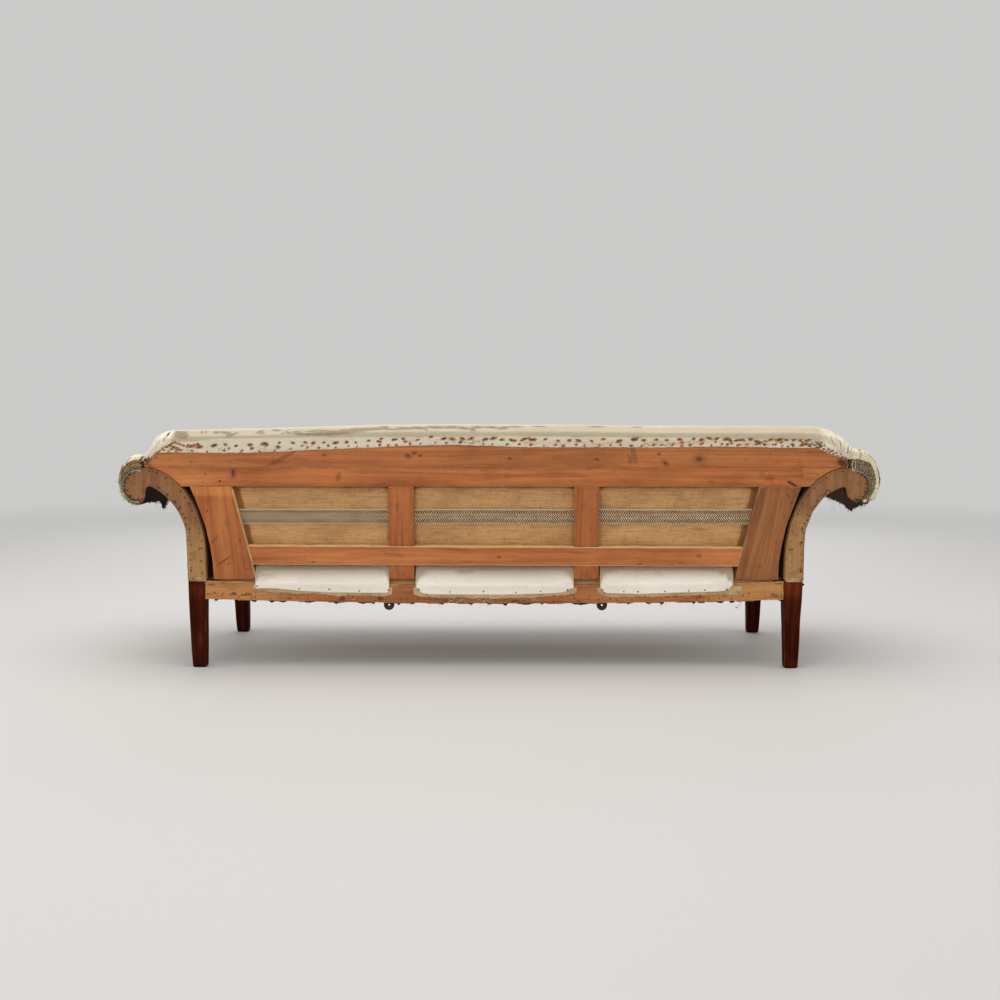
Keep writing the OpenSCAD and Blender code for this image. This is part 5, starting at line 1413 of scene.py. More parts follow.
for k, (x, u) in enumerate(up + low):
    isup = k < len(up)
    r = rad.uniform(3.9, 6.8) if isup else rad.uniform(2.6, 4.2)
    r *= 0.8 if abs(x) > 915 else 1.0
    cols = np.abs(xs - x) < 26
    ex, eu = (XX[cols] - x), (U[cols] - u)
    st_ = rad.uniform(0.9, 1.75) if isup else rad.uniform(0.8, 1.3)
    sk = rad.uniform(-0.3, 0.3)
    q2 = np.sqrt((ex / (r * st_)) ** 2 + ((eu + sk * ex) / (r * (0.66 if isup else 0.85))) ** 2)
    rs[cols] = np.maximum(rs[cols], rear[cols] * sst(1.7, 0.3, q2))
    pk = np.exp(-(ex / 5.5) ** 2) * sst(-6, 0, eu) * np.exp(-np.clip(eu, 0, None) / 14)
    h[cols] += rear[cols] * (-0.8 * np.exp(-(q2 / 1.2) ** 2) - 0.5 * pk)
    if isup or rad.rand() < 0.9:
        tack_pts.append((x, u, (rad.uniform(1.7, 2.7) if isup else rad.uniform(1.1, 1.9))))
rs = np.maximum(rs, rear * 0.2 * sst(1, 5, ux) * sst(24, 15, ux) * sst(-0.25, 0.35, fbm(XX * 0.02, U * 0.06, seed=106)) * sst(1010, 985, np.abs(XX)))
h += rear * 0.55 * np.sin(XX * 0.21 + 3 * fbm(XX * 0.01, U * 0, seed=105)) * np.exp(-np.clip(ux - 6, 0, None) / 16) * sst(0, 8, ux)
# pleats gathered into the two corners
creased = np.zeros_like(h)
for cx, cu, reach, amp, nf, sgn in ((-1040, 371, 150, 5.2, 17, -1), (1020, 384, 120, 4.2, 13, 1)):
    rr = np.hypot(XX - cx, U - cu)
    an = np.arctan2(U - cu, (XX - cx) * -sgn)
    w = sst(6, 30, rr) * sst(reach, reach * 0.35, rr) * (np.abs(XX) > 860)
    pl = np.abs(np.sin(an * nf / 2 + 1.6 * fbm(an * 3, rr * 0.012, seed=107)))
    h += w * amp * (pl - 0.55) * (0.45 + 0.55 * rear)
    creased = np.maximum(creased, w * np.exp(-(pl / 0.36) ** 2) * sst(-0.4, 0.25, fbm(an * 5, rr * 0.03, seed=108)))
# a standing fold and a tear near the right-hand end
h += rear * 3.6 * np.exp(-((XX - (951 + 0.10 * (U - 440))) / 4.5) ** 2) * sst(424, 432, U)
h += -rear * 2.6 * np.exp(-((XX - (975 - 0.25 * (U - 440))) / 3.4) ** 2) * sst(420, 430, U)
# single creases drawn towards both corners
for (x0, u0), (x1, u1), dp in (((-1001, 409), (-982, 452), 1.0), ((-1010, 405), (-1000, 446), 0.8), ((-1018, 401), (-1016, 440), 1.0), ((-1026, 398), (-1032, 432), 0.8), ((-1035, 392), (-1046, 420), 0.9), ((-992, 413), (-962, 454), 0.7), ((-984, 416), (-944, 450), 0.6), ((-1043, 389), (-1056, 408), 0.7),
                           ((1028, 410), (1040, 424), 1.0), ((1022, 436), (1012, 458), 0.9), ((1004, 420), (990, 462), 0.7), ((1012, 402), (1026, 430), 0.6), ((984, 428), (966, 470), 0.6), ((1034, 396), (1044, 408), 0.7)):
    vx, vu = x1 - x0, u1 - u0
    ll = math.hypot(vx, vu)
    tp_ = ((XX - x0) * vx + (U - u0) * vu) / ll ** 2
    ds = ((XX - x0) * vu - (U - u0) * vx) / ll + 2.2 * fbm(tp_ * 1.6, x0 * 0.1, seed=109)
    wt = dp * rear * sst(-0.08, 0.12, tp_) * sst(1.15, 0.6, tp_) * (np.abs(XX - (x0 + x1) / 2) < 60)
    h += wt * (2.2 * np.exp(-((ds - 4.5) / 4.0) ** 2) - 1.8 * np.exp(-(ds / 2.6) ** 2))
    creased = np.maximum(creased, 1.15 * wt * np.exp(-(ds / 2.0) ** 2))
rm = np.zeros((nX, nR))
for x, u, ra, rb, turn in REM:
    c_, s_ = math.cos(turn), math.sin(turn)
    cols = np.abs(xs - x) < ra * 2 + 20
    # the measured heights are on the rear plane; the roll leans away above it
    uu = U[cols] + np.clip(-Y[cols], 0, 60) * 0.17
    dx, du_ = XX[cols] - x, uu - u
    rm[cols] = np.maximum(rm[cols], rear[cols] * sst(1.7, 0.2, np.hypot((dx * c_ + du_ * s_) / (ra * 1.1), (-dx * s_ + du_ * c_) / (rb * 1.35))) * 0.88)
h += 0.5 * rm
Yn = np.clip(-Y, 0, 100)
yl = rear * sst(-1.5, 1.5, U - fold[:, None]) * (0.9 + 0.12 * fbm(XX * 0.01, U * 0.05, seed=111)) * np.where(XX > 0, sst(960, 950, XX), sst(-985, -950, XX)) + (1 - rear) * (0.3 + 0.35 * fbm(XX * 0.004, s_arc * 0.006, seed=112))
# the crease term is painted shade along the fold line; the first term darkens the cloth at its tacked edge
dk = rear * (0.55 * sst(6, -1, ux) * (0.5 + 0.5 * fbm(XX * 0.06, U * 0.1, seed=113)) + 0.8 * np.exp(-((U - fold[:, None] - 1.5) / 2.0) ** 2) * sst(-0.1, 0.5, fbm(XX * 0.02, 0 * U, seed=114)))
# painted shade in the tear and beside the standing fold
dk += rear * 1.2 * np.exp(-((XX - (975 - 0.25 * (U - 440))) / 2.8) ** 2) * sst(420, 430, U) + rear * 0.7 * np.exp(-((XX - (944 + 0.10 * (U - 440))) / 3.0) ** 2) * sst(426, 440, U)
# painted shade in the pleats and the single creases
dk += 0.95 * creased * (0.4 + 0.6 * rear)
yl = yl + 0.32 * rear * sst(1.5, -1.5, U - fold[:, None]) * (1 + fbm(XX * 0.012, U * 0.08, seed=118))
# the last term is painted shade low on the front side, where the cover goes down behind the seat; the middle term is
# mottled dirt; the first darkens the far ends near the tacked edge
dk += 0.5 * (np.abs(XX) > 985) * sst(14, 0, ux) * rear + (1 - rear) * 0.5 * sst(0.2, 0.8, fbm(XX * 0.006, s_arc * 0.01, seed=115)) + (1 - rear) * 0.4 * sst(130, 80, U)
btop = np.interp(ax, [0, 450, 900, 953, 981, 1011, 1041], [453, 449.5, 438, 431, 412, 390, 379])
h = np.where((rear > 0.5) & (U < btop[:, None] + 3) & (Y > -8), np.maximum(h, 1.6 - Y), h)
P = P + N * h[..., None] / 1000
# the cut edge is uneven
P[:, 0] += (rk([[0, 0, 1]]) - rk([[0, 0, 0]]))[0] * (1.6 * fbm(xs * 0.08, seed=116) + 0.8 * fbm(xs * 0.4, seed=117))[:, None]
st = np.stack([XX, s_arc, 0 * XX], -1)
back_cover = cloth_grid("back_cover", P, CALICO, {"yl": yl, "rs": rs, "rm": rm, "dk": dk}, node="back_cover", slot="calico", thick=1.0, st=st, flip=False)
BACK_P, BACK_N = P, N


def on_back(x, u, lift=0.0):
    """a place on the rear side of the cover"""
    i = int(np.clip(round((XR - x) / (XR - XLft) * (nX - 1)), 0, nX - 1))
    j = int(np.argmin(np.abs(U[i, :n1 + n2 - 8] - u)))
    return BACK_P[i, j] * 1000 + BACK_N[i, j] * lift, BACK_N[i, j]


J, J2 = Join(), Join()
rt = np.random.RandomState(71)
for x, u, r in tack_pts:
    p, n = on_back(x, u, 0.2)
    tack_head(J, p, n, r, rt)
J.make("back_edge_tacks", RUST, node="back_edge_tacks", slot="rusty_tacks")

# stuffing of the back: a closed body just inside its cover and before the hessian
cols = np.linspace(6, nX - 7, 90).round().astype(int)
ring = []
for i in cols:
    js = np.linspace(n1 + 2, nR - 3, 44).round().astype(int)
    outer = BACK_P[i, js] - BACK_N[i, js] * 0.0028
    lo_u, hi_u = U[i, nR - 3] + 2, max(U[i, n1 + 2] + 0.5, U[i, nR - 3] + 4)
    yb = min(-27.4, float(Y[i].max() - 6)) if ax[i] < 990 else float(Y[i, n1 + 2]) - 5.0
    inner = rk(np.stack([np.full(10, xs[i]), np.full(10, yb), np.linspace(lo_u, hi_u, 10)], 1))
    ring.append(np.concatenate([outer, inner]))
ring = A(ring)
m = ring.shape[1]
V = ring.reshape(-1, 3)
F = grid_faces(len(cols), m, wrap_v=True) + [list(range(m))[::-1], [(len(cols) - 1) * m + k for k in range(m)]]
back_stuffing = make("back_stuffing", V, F, HAIR, {"gr": V * 1000, "q": 0.5 + 0.5 * fbm(V[:, 0] * 30, V[:, 2] * 30, seed=5)}, node="back_stuffing", slot="hair_stuffing")

# ------------------------------------------------------------------ hessian and webbing of the back
xh = np.linspace(-1, 1, 241)
uh = np.linspace(50, 428, 96)
G = np.stack(np.meshgrid(xh, uh, indexing="ij"), -1)
X = G[..., 0] * (717.5 + 0.227 * G[..., 1] + 22)
Uh = G[..., 1]
bil_h = 1.2 * fbm(X * 0.004, Uh * 0.02, seed=121) + 0.9 * fbm(X * 0.003, Uh * 0.06, seed=122) + 0.5 * np.sin(Uh * 0.11 + 2 * fbm(X * 0.003, 0 * X, seed=123)) * (0.5 + 0.5 * fbm(X * 0.006, Uh * 0.01, seed=124))
press = np.exp(-((Uh - 189) / 26) ** 2)
Yh = -26.2 + np.clip(bil_h, -1.2, 1.4) - 1.0 * press
# mottled dirt and stains, with painted shadow under the top rail (the sst(270, 289, Uh) term)
dkh = 0.25 * sst(0.2, 0.9, fbm(X * 0.01, Uh * 0.03, seed=125)) + 0.55 * np.exp(-((X - 305) / 20) ** 2 - ((Uh - 128) / 10) ** 2) + 0.9 * sst(270, 289, Uh) + 0.16 * np.exp(-((Uh - 189) / 30) ** 2)
# painted shadows cast by the stiles onto the hessian
for sx in (717.5 + 0.227 * Uh, ):
    dkh += 1.25 * sst(17, 5, sx - np.abs(X) + 4 * fbm(Uh * 0.03, X * 0.002, seed=126)) + 0.4 * sst(34, 12, sx - np.abs(X))
# painted shadows cast by the muntins onto the hessian, on both sides
for mx in (280, -273):
    dkh += 0.5 * sst(22, 0, np.abs(np.abs(X - mx) - 37) - 0) * 1.0
rngh = np.random.RandomState(9)
for _ in range(40):
    x, u = rngh.uniform(-740, 740), rngh.uniform(110, 285)
    dkh += rngh.uniform(0.2, 0.5) * np.exp(-((X - x) / rngh.uniform(3, 8)) ** 2 - ((Uh - u) / rngh.uniform(2, 4)) ** 2)
P = rk(np.stack([X, Yh, Uh], -1))
bh = cloth_grid("back_hessian", P, HESSIAN, {"dk": np.clip(dkh, 0, 1.2)}, node="back_hessian", slot="hessian", thick=0.9, st=np.stack([X, Uh, 0 * X], -1))

xw = np.linspace(-1, 1, 401)
tw = np.linspace(-24.0, 24.0, 15)
G = np.stack(np.meshgrid(xw, tw, indexing="ij"), -1)
Uw = 192.6 + G[..., 1] + 0.9 * fbm(G[..., 0] * 5, seed=131)
X = G[..., 0] * (stile_in(189) + 18)
Yw = -23.6 + 0.5 * fbm(X * 0.01, G[..., 1] * 0.05, seed=132) + 0.25 * np.cos(G[..., 1] * 0.15)
bw = cloth_grid("back_webbing", rk(np.stack([X, Yw, Uw], -1)), WEBBING, node="back_webbing", slot="herringbone_webbing", thick=1.4, st=np.stack([X, G[..., 1], 0 * X], -1))


# ------------------------------------------------------------------ arms
ARMS = {}
for s, side, tab_ in ((1, "right", PAD_R), (-1, "left", PAD_L)):
    ptop = SC[1] + tab_[0][1] - 80 - 267
    seed = 200 + (s < 0) * 50
    # one parameter runs up the inner side, over the scroll and under it
    te = np.radians(np.linspace(180, 97, 90))
    ts = np.radians(np.linspace(88, -90 if s > 0 else -56, 84 if s > 0 else 66))
    rad_ = np.interp(-np.degrees(ts), [-k for k, _ in tab_], [v for _, v in tab_])

    def path(g, inner=False, ins=0.0):
        """inner: the board's own edge, ins inside it; otherwise the padding's outside, g beyond it"""
        if inner:
            a = np.stack([175 + (175 - ins) * np.cos(te), 80 + (267 - ins) * np.sin(te)], 1)
            b = np.stack([SC[0] + (50 - ins) * np.cos(ts), SC[1] + (50 - ins) * np.sin(ts)], 1)
        else:
            a = np.stack([175 + (207 + g) * np.cos(te), 80 + (267 + ptop + g) * np.sin(te)], 1)
            b = np.stack([SC[0] + (rad_ + g) * np.cos(ts), SC[1] + (rad_ + g) * np.sin(ts)], 1)
        return np.concatenate([a, b])

    out = path(0)
    seg = np.concatenate([[0], np.cumsum(np.linalg.norm(np.diff(out, axis=0), axis=1))])
    L = seg[-1]
    nS = int(L / 4.2)
    sv = np.linspace(0, L, nS)
    ev = lambda p: np.stack([np.interp(sv, seg, p[:, 0]), np.interp(sv, seg, p[:, 1])], 1)
    out, inn, inn2 = ev(path(0)), ev(path(0, True, 9.0)), ev(path(0, True, -2.5))
    sm = np.cumsum(np.ones(nS)) * L / nS
    # low start of the inner side: goes down to the seat
    lowk = np.clip((60 - sv) / 60, 0, 1)
    start = np.stack([np.full(9, out[0, 0]), np.linspace(5, out[0, 1], 9, endpoint=False)], 1)
    out = np.concatenate([start, out])
    inn = np.concatenate([np.stack([np.full(9, inn[0, 0]), np.linspace(3, inn[0, 1], 9, endpoint=False)], 1), inn])
    inn2 = np.concatenate([np.stack([np.full(9, inn2[0, 0]), np.linspace(3, inn2[0, 1], 9, endpoint=False)], 1), inn2])
    nS = len(out)
    a_, h_ = out[:, 0], out[:, 1]
    ss = np.concatenate([[0], np.cumsum(np.linalg.norm(np.diff(out, axis=0), axis=1))])
    beyond = sst(174, 188, a_) * np.ones(nS)
    over = np.zeros(nS)
    first = int(np.argmax(a_ > 181))
    beyond[first + 3:] = 1.0                                   # past the top of the arm the cover reaches the rear face
    rag = 1.2 * fbm(ss * 0.06, seed=seed) + 1.0 * fbm(ss * 0.3, seed=seed + 1)
    qe = np.clip((XA + a_ - 968) / ((1046 if s > 0 else 1063) - 968), 0, 1)
    cut_ = np.clip(84 * (np.sqrt(np.clip(1 - qe ** 2.6, 0, 1)) * 0.86 + 0.14) - 3 - 9 * sst(90, 140, a_), 0.5, 82)
    back_cut = cut_ * (1 - beyond)
    rear_end = YR + h_ * SR - back_cut / CR + beyond * (rag - 0.4)
    # sections from the tacked front edge, round the front rim, back to the rear
    cols = []
    tq = [(inn, YF - 1.1), (inn + (inn2 - inn) * 0.5, YF - 1.6), (inn2, YF - 2.4)]
    for p_, y_ in tq:
        cols.append((p_[:, 0], p_[:, 1], np.full(nS, y_)))
    for t in (0.35, 0.7, 0.9):
        p_ = inn2 + (out - inn2) * t
        cols.append((p_[:, 0], p_[:, 1], np.full(nS, YF - 2.6 - 4.2 * math.sin(t * math.pi * 0.62))))
    for th in (20, 45, 70, 90):
        r_ = 7.0
        p_ = out - (out - inn2) / (np.linalg.norm(out - inn2, axis=1)[:, None] + 1e-6) * (r_ * (1 - math.sin(math.radians(th))))
        cols.append((p_[:, 0], p_[:, 1], np.full(nS, YF - 6.2 + r_ * (1 - math.cos(math.radians(th))))))
    nF = len(cols)
    nY = 110
    tt = np.linspace(0, 1, nY)[1:]
    tt = 1 - (1 - tt) ** 1.15
    y0 = YF + 1.2
    od_ = (out - inn2) / (np.linalg.norm(out - inn2, axis=1)[:, None] + 1e-6)
    for t in tt:
        y_ = y0 + (rear_end - y0) * t
        ins_ = 6.0 - np.sqrt(np.clip(36 - np.clip(6.0 - (rear_end - y_), 0, 6) ** 2, 0, 36))
        p_ = out - od_ * (ins_ * beyond)[:, None]
        cols.append((p_[:, 0], p_[:, 1], y_))
    # the cloth turns in over the torn edge at the rear
    th_ = np.degrees(np.arctan2(out[:, 1] - SC[1], out[:, 0] - SC[0]))
    if s > 0:
        ww = np.interp(-th_, [-180, -120, -100, -90, -75, -60, -40, 0, 40, 80], [9, 10, 15, 15, 12.5, 7.5, 6.3, 6.3, 8, 8])
    else:
        ww = np.interp(-th_, [-180, -120, -100, -90, -75, -54, -22, 14, 40, 58], [16, 22, 29, 31, 29, 19, 16, 14, 17, 13])
    ww = np.clip(ww + 2.4 * fbm(ss * 0.07, seed=seed + 14) + 1.5 * fbm(ss * 0.33, seed=seed + 15), 6.6, None)
    NWR = 18

    def folds(t):
        """layers of the turned-in edge: rounded ridges with sharp creases between them"""
        return np.abs(np.sin(math.pi * (t * (3.4 if s < 0 else 2.6) + 0.5 * fbm(ss * 0.016, 3.0, seed=seed + 33) + 0.12 * fbm(ss * 0.09, t * 2, seed=seed + 34))))
    for k in range(NWR):
        t = (k + 1) / NWR
        p_ = out - od_ * ((6.0 + (ww - 6.0) * t) * beyond + 0.07 * (k + 1) * (1 - beyond))[:, None]
        cols.append((p_[:, 0], p_[:, 1], rear_end + beyond * (0.6 + 1.3 * math.sin(math.pi * min(1, 0.25 + 0.7 * t)) + 1.9 * folds(t) + 0.8 * t * fbm(ss * 0.2, t, seed=seed + 16))))
    AA, HH, YY = (np.stack([c[k] for c in cols], 1) for k in range(3))
    nC = AA.shape[1]
    P = np.stack([s * (XA + AA), YY, ZH + HH * CR], -1) / 1000
    ci, cj = np.linspace(0, nS - 1, 62).round().astype(int), np.concatenate([np.arange(0, nF, 3), np.linspace(nF, nC - 1, 50).round().astype(int)])
    pin = np.zeros((len(ci), len(cj)))
    pin[:3], pin[-3:] = 1, 1
    pin[:, :2], pin[:, -3:] = 1, 1
    # the displacement is drawn out evenly, so take an even index on both sides
    cj = np.linspace(0, nC - 1, 56).round().astype(int)
    pin = np.zeros((len(ci), len(cj)))
    pin[:3], pin[-3:], pin[:, :2], pin[:, -7:] = 1, 1, 1, 1
    tw = np.clip((np.arange(nC) - (nC - 1 - NWR)) / NWR, 0, 1)[None, :] * np.ones((nS, 1))
    D = puffed(P[np.ix_(ci, cj)], pin, (nS, nC), pressure=4, shrink=-0.016, cap=6, flip=(s > 0))
    P = P + D
    N = normals(P)
    mid_i = nS // 3
    if N[mid_i, nC // 2][0] * s > 0:
        N = -N
    fromrear = (rear_end[:, None] - YY) / 1.0
    fromfront = np.clip(YY - YF, 0, None)
    body = (np.arange(nC)[None, :] >= nF) * 1.0 * np.ones((nS, 1))
    SSg = np.repeat(ss[:, None], nC, 1)
    top = np.exp(-((AA - 165) / 60) ** 2)
    hgt = 1.5 * fbm(SSg * 0.012, YY * 0.006, seed=seed + 3) + 0.9 * fbm(SSg * 0.02, YY * 0.03, seed=seed + 4)
    hgt += (2.2 if s < 0 else 1.2) * fbm(SSg * 0.03, YY * 0.02, seed=seed + 5) * sst(170, 200, AA)
    # drag lines run from the tacked front edge and towards the rear edge
    hgt += 1.1 * (0.6 - np.abs(np.sin(SSg * 0.085 + 2.0 * fbm(SSg * 0.01, YY * 0.004, seed=seed + 6)))) * np.exp(-fromfront / 45) * body
    hgt += (1.8 if s < 0 else 1.1) * (0.6 - np.abs(np.sin(SSg * 0.11 + 3.0 * fbm(SSg * 0.02, YY * 0.01, seed=seed + 7)))) * np.exp(-np.clip(fromrear, 0, None) / 38) * beyond[:, None]
    hgt -= 1.2 * np.exp(-((np.sin(SSg * 0.157)) / 0.3) ** 2) * (np.arange(nC)[None, :] < 3) * 0.5
    hgt *= np.clip((SSg - 4) / 20, 0, 1)
    P = P + N * hgt[..., None] / 1000
    dk = 0.45 * sst(0.1, 0.7, fbm(SSg * 0.01, YY * 0.008, seed=seed + 8)) + 0.35 * np.exp(-np.clip(fromrear, 0, None) / 7) * beyond[:, None] * (0.5 + 0.8 * fbm(SSg * 0.06, YY * 0.02, seed=seed + 9))
    crease = np.stack([folds(t) for t in np.clip(tw[0], 0, 1)], 1)
    # painted shade in the creases between the layers of the turned-in edge
    dk += 1.15 * np.exp(-(crease / 0.3) ** 2) * sst(-0.5, 0.15, fbm(SSg * 0.03, tw * 3, seed=seed + 18)) * (tw > 0) * beyond[:, None]
    if s > 0:
        dk += 2.5 * sst(-24, -52, th_)[:, None] * sst(44, 10, fromrear) * (0.75 + 0.7 * fbm(SSg * 0.08, tw * 3, seed=seed + 37)) * beyond[:, None]
        th2 = th_[:, None] + 8 * fbm(SSg * 0.03, tw * 2, seed=seed + 35)
        dk += 0.95 * sst(64, 50, th2) * sst(-26, -12, th2) * sst(16, 6, fromrear) * (0.75 + 0.5 * fbm(SSg * 0.06, tw * 5, seed=seed + 36)) * beyond[:, None]
    dk += 0.9 * sst(0.78, 1.0, tw) * (0.5 + 0.7 * fbm(SSg * 0.08, seed=seed + 19)) * beyond[:, None]
    dk += 0.9 * sst(0.35, 0.6, fbm(SSg * 0.03, YY * 0.05, seed=seed + 10)) * np.exp(-np.clip(fromrear, 0, None) / 40) * beyond[:, None]
    dk += 0.4 * sst(80, 20, SSg)
    yl = 0.35 + 0.5 * fbm(SSg * 0.006, YY * 0.005, seed=seed + 11) + 0.3 * (AA > 200) * sst(-20, 60, SC[1] - HH)
    rt = np.random.RandomState(seed + 12)
    tack_s = np.cumsum(rt.uniform(17, 23, 80)) - 12
    tack_s = tack_s[tack_s < ss[-1] - 4]
    rs = 0.42 * np.exp(-(np.abs(SSg[..., None] - tack_s).min(-1) / 3.6) ** 2) * (np.arange(nC)[None, :] < 3)
    ac = cloth_grid(f"arm_cover_{side}", P, CALICO_ARM, {"yl": yl, "dk": dk, "rs": rs}, node=f"arm_cover_{side}", slot="calico", thick=1.1, flip=(s > 0), st=np.stack([SSg, YY, 0 * YY], -1))
    ARMS[side] = ac
    # tacks that hold it on the face of the front board
    J = Join()
    for sp in tack_s:
        i = int(np.searchsorted(ss, sp))
        p = P[min(i, nS - 1), 1] * 1000
        tack_head(J, p + [0, -0.9, 0], [0, -1, 0], rt.uniform(2.1, 2.7), rt)
    J.make(f"arm_front_tacks_{side}", BLUED, slot="blued_tacks")

    # stuffing between the scroll and the cover; its rear face is the torn edge that shows
    o2, i2 = out, ev(path(0, True, -2.6))
    i2 = np.concatenate([np.stack([np.full(9, i2[0, 0]), np.linspace(5, i2[0, 1], 9, endpoint=False)], 1), i2])
    nr = 9
    K = np.linspace(0, 1, nr)
    rings = []
    gr_, q_ = [], []
    ys = np.concatenate([[0.0, 0.02], np.linspace(0.06, 0.93, 12), [0.96, 0.985, 1.0]])
    od = (out - i2) / (np.linalg.norm(out - i2, axis=1)[:, None] + 1e-9)
    oo = out - od * 2.6
    Vs, Fs = [], []
    J = Join()
    # rear face: many small steps, rough
    nq = 16
    qq = np.linspace(0, 1, nq)
    R = i2[:, None, :] + (oo - i2)[:, None, :] * qq[None, :, None]
    Sg, Qg = np.meshgrid(ss, qq, indexing="ij")
    cut = (cut_ + 1.5) * (1 - beyond)
    thick = np.linalg.norm(oo - i2, axis=1)
    rough = (2.6 if s > 0 else 3.4) * fbm(Sg * 0.10, Qg * thick[:, None] * 0.22, seed=seed + 20, octaves=4) - 1.6
    hollow = np.zeros_like(Sg)
    for hx, hq, hr, hd in ([(0.70, 0.25, 16, 13), (0.82, 0.3, 10, 8)] if s < 0 else [(0.66, 0.2, 10, 7)]):
        hollow += hd * np.exp(-((Sg - hx * ss[-1]) / hr) ** 2 - ((Qg - hq) / 0.25) ** 2)
    Yr = (YR + R[..., 1] * SR) - cut[:, None] / CR + (rough - hollow) * 1.0
    Yr = Yr - 2.0 * (1 - np.sin(np.clip(Qg, 0, 1) * math.pi)) * 0.6
    rearf = np.stack([s * (XA + R[..., 0]), Yr, ZH + R[..., 1] * CR], -1)
    base_gr = np.stack([Sg, Qg * thick[:, None], 0 * Sg + seed * 7], -1)
    # the body: outer side, front, inner side as one strip of sections from the rear face's outer edge to its inner edge
    nb = 14
    yfront = YF + 2.0
    tb = np.linspace(0, 1, nb)
    sec = [rearf]
    outer_b = np.stack([np.stack([rearf[:, -1, 0], rearf[:, -1, 1] + (yfront - rearf[:, -1, 1]) * t, rearf[:, -1, 2]], -1) for t in tb[1:]], 1)
    inner_b = np.stack([np.stack([rearf[:, 0, 0], rearf[:, 0, 1] + (yfront - rearf[:, 0, 1]) * t, rearf[:, 0, 2]], -1) for t in tb[1:][::-1]], 1)
    loop = np.concatenate([rearf, outer_b, inner_b], 1)
    m = loop.shape[1]
    gq = np.concatenate([Qg, np.ones((nS, nb - 1)), np.zeros((nS, nb - 1))], 1)
    gg = np.concatenate([base_gr, np.stack([np.repeat(ss[:, None], nb - 1, 1), np.repeat(thick[:, None], nb - 1, 1) + outer_b[..., 1] * 0.2, 0 * outer_b[..., 0]], -1), np.stack([np.repeat(ss[:, None], nb - 1, 1), inner_b[..., 1] * 0.2, 0 * inner_b[..., 0]], -1)], 1)
    V = loop.reshape(-1, 3)
    F = grid_faces(nS, m, wrap_v=True) + [list(range(m))[::-1], [(nS - 1) * m + k for k in range(m)]]
    # the stuffing short of the rear face lies deep in the gap; it takes painted shade there
    st_o = make(f"arm_stuffing_{side}", wd(V), F, FIBRE_R if s > 0 else FIBRE_L, {"gr": gg.reshape(-1, 3), "q": gq.reshape(-1), "gap_shade": np.repeat(1 - beyond[:, None], gq.shape[1], 1).reshape(-1)}, node=f"arm_stuffing_{side}", slot="hair_stuffing")

    # torn layers whose edges stand out at the rear
    lay = [(0.93, 0.50, 0.86, LAYER_TAN, 2.4), (0.78, 0.56, 0.80, HESSIAN_PALE, 3.0), (0.60, 0.55, 0.74, LAYER_TAN, 2.0), (0.86, 0.60, 0.72, LINEN_GREY, 3.4)] if s > 0 else [(0.92, 0.50, 0.90, LINEN_GREY, 2.6), (0.66, 0.55, 0.86, HESSIAN_AGED_AND_SHADED, 3.2), (0.8, 0.66, 0.94, HESSIAN_PALE, 2.4)]
    for k, (q0, sa, sb, mat, amp) in enumerate(lay):
        ia = max(int(sa * nS), first + 5)
        ib = min(max(int(sb * nS), ia + 22), nS - 3)
        idx = np.arange(ia, ib)
        yy = np.linspace(0, 1, 12)
        bulge = q0 + 0.05 * fbm(ss[idx] * 0.05, seed=seed + 30 + k)
        pth = i2[idx] + (out - i2)[idx] * np.clip(bulge, 0, 0.97)[:, None]
        end = YR + pth[:, 1] * SR + amp * fbm(ss[idx] * 0.16, seed=seed + 40 + k, octaves=4) + 0.6
        rows_ = []
        for t in yy:
            w_ = fbm(ss[idx] * 0.12, t * 3, seed=seed + 50 + k) * 1.6 * t
            pp = pth + od[idx] * w_[:, None]
            rows_.append(np.stack([s * (XA + pp[:, 0]), end - 46 * (1 - t), ZH + pp[:, 1] * CR], -1))
        Pl = np.stack(rows_, 1) / 1000
        lo = cloth_grid(f"arm_layer_{side}_{k + 1}", Pl, mat, {"dk": 0.3 + 0.5 * fbm(np.repeat(ss[idx][:, None], 12, 1) * 0.05, 0, seed=seed + 60 + k)}, thick=1.5)
        sheet(lo, (float(ss[ib - 1] - ss[ia]) / 1000, 0.046), "stretched", [f"arm_stuffing_{side}"])

    # fibres that stand out of the torn edge
    S = Strands()
    rt = np.random.RandomState(seed + 70)
    lo_i = first + 6
    for _ in range(520 if s > 0 else 800):
        i = rt.randint(lo_i, nS - 2)
        qv = rt.beta(1.2, 1.6) * float(np.clip(1 - 0.8 * ww[i] / max(thick[i], 1), 0.25, 1))
        j = min(nq - 1, int(qv * (nq - 1)))
        p0 = rearf[i, j] + rt.normal(0, 0.8, 3) - [0, 2.0, 0]
        tg = rearf[min(i + 1, nS - 1), j] - rearf[i, j]
        tg = tg / (np.linalg.norm(tg) + 1e-9) * rt.choice([-1, 1])
        way = tg * rt.uniform(0.3, 1.0) + A([0, rt.uniform(0.1, 0.55), 0])
        S.curl(p0, way, rt.uniform(7, 24), rt.uniform(0.22, 0.5), rt, curl=0.42, n=6, drop=0.06)
    S.make(f"arm_fibres_{side}", STRAND_OLIVE, slot="hair_stuffing")

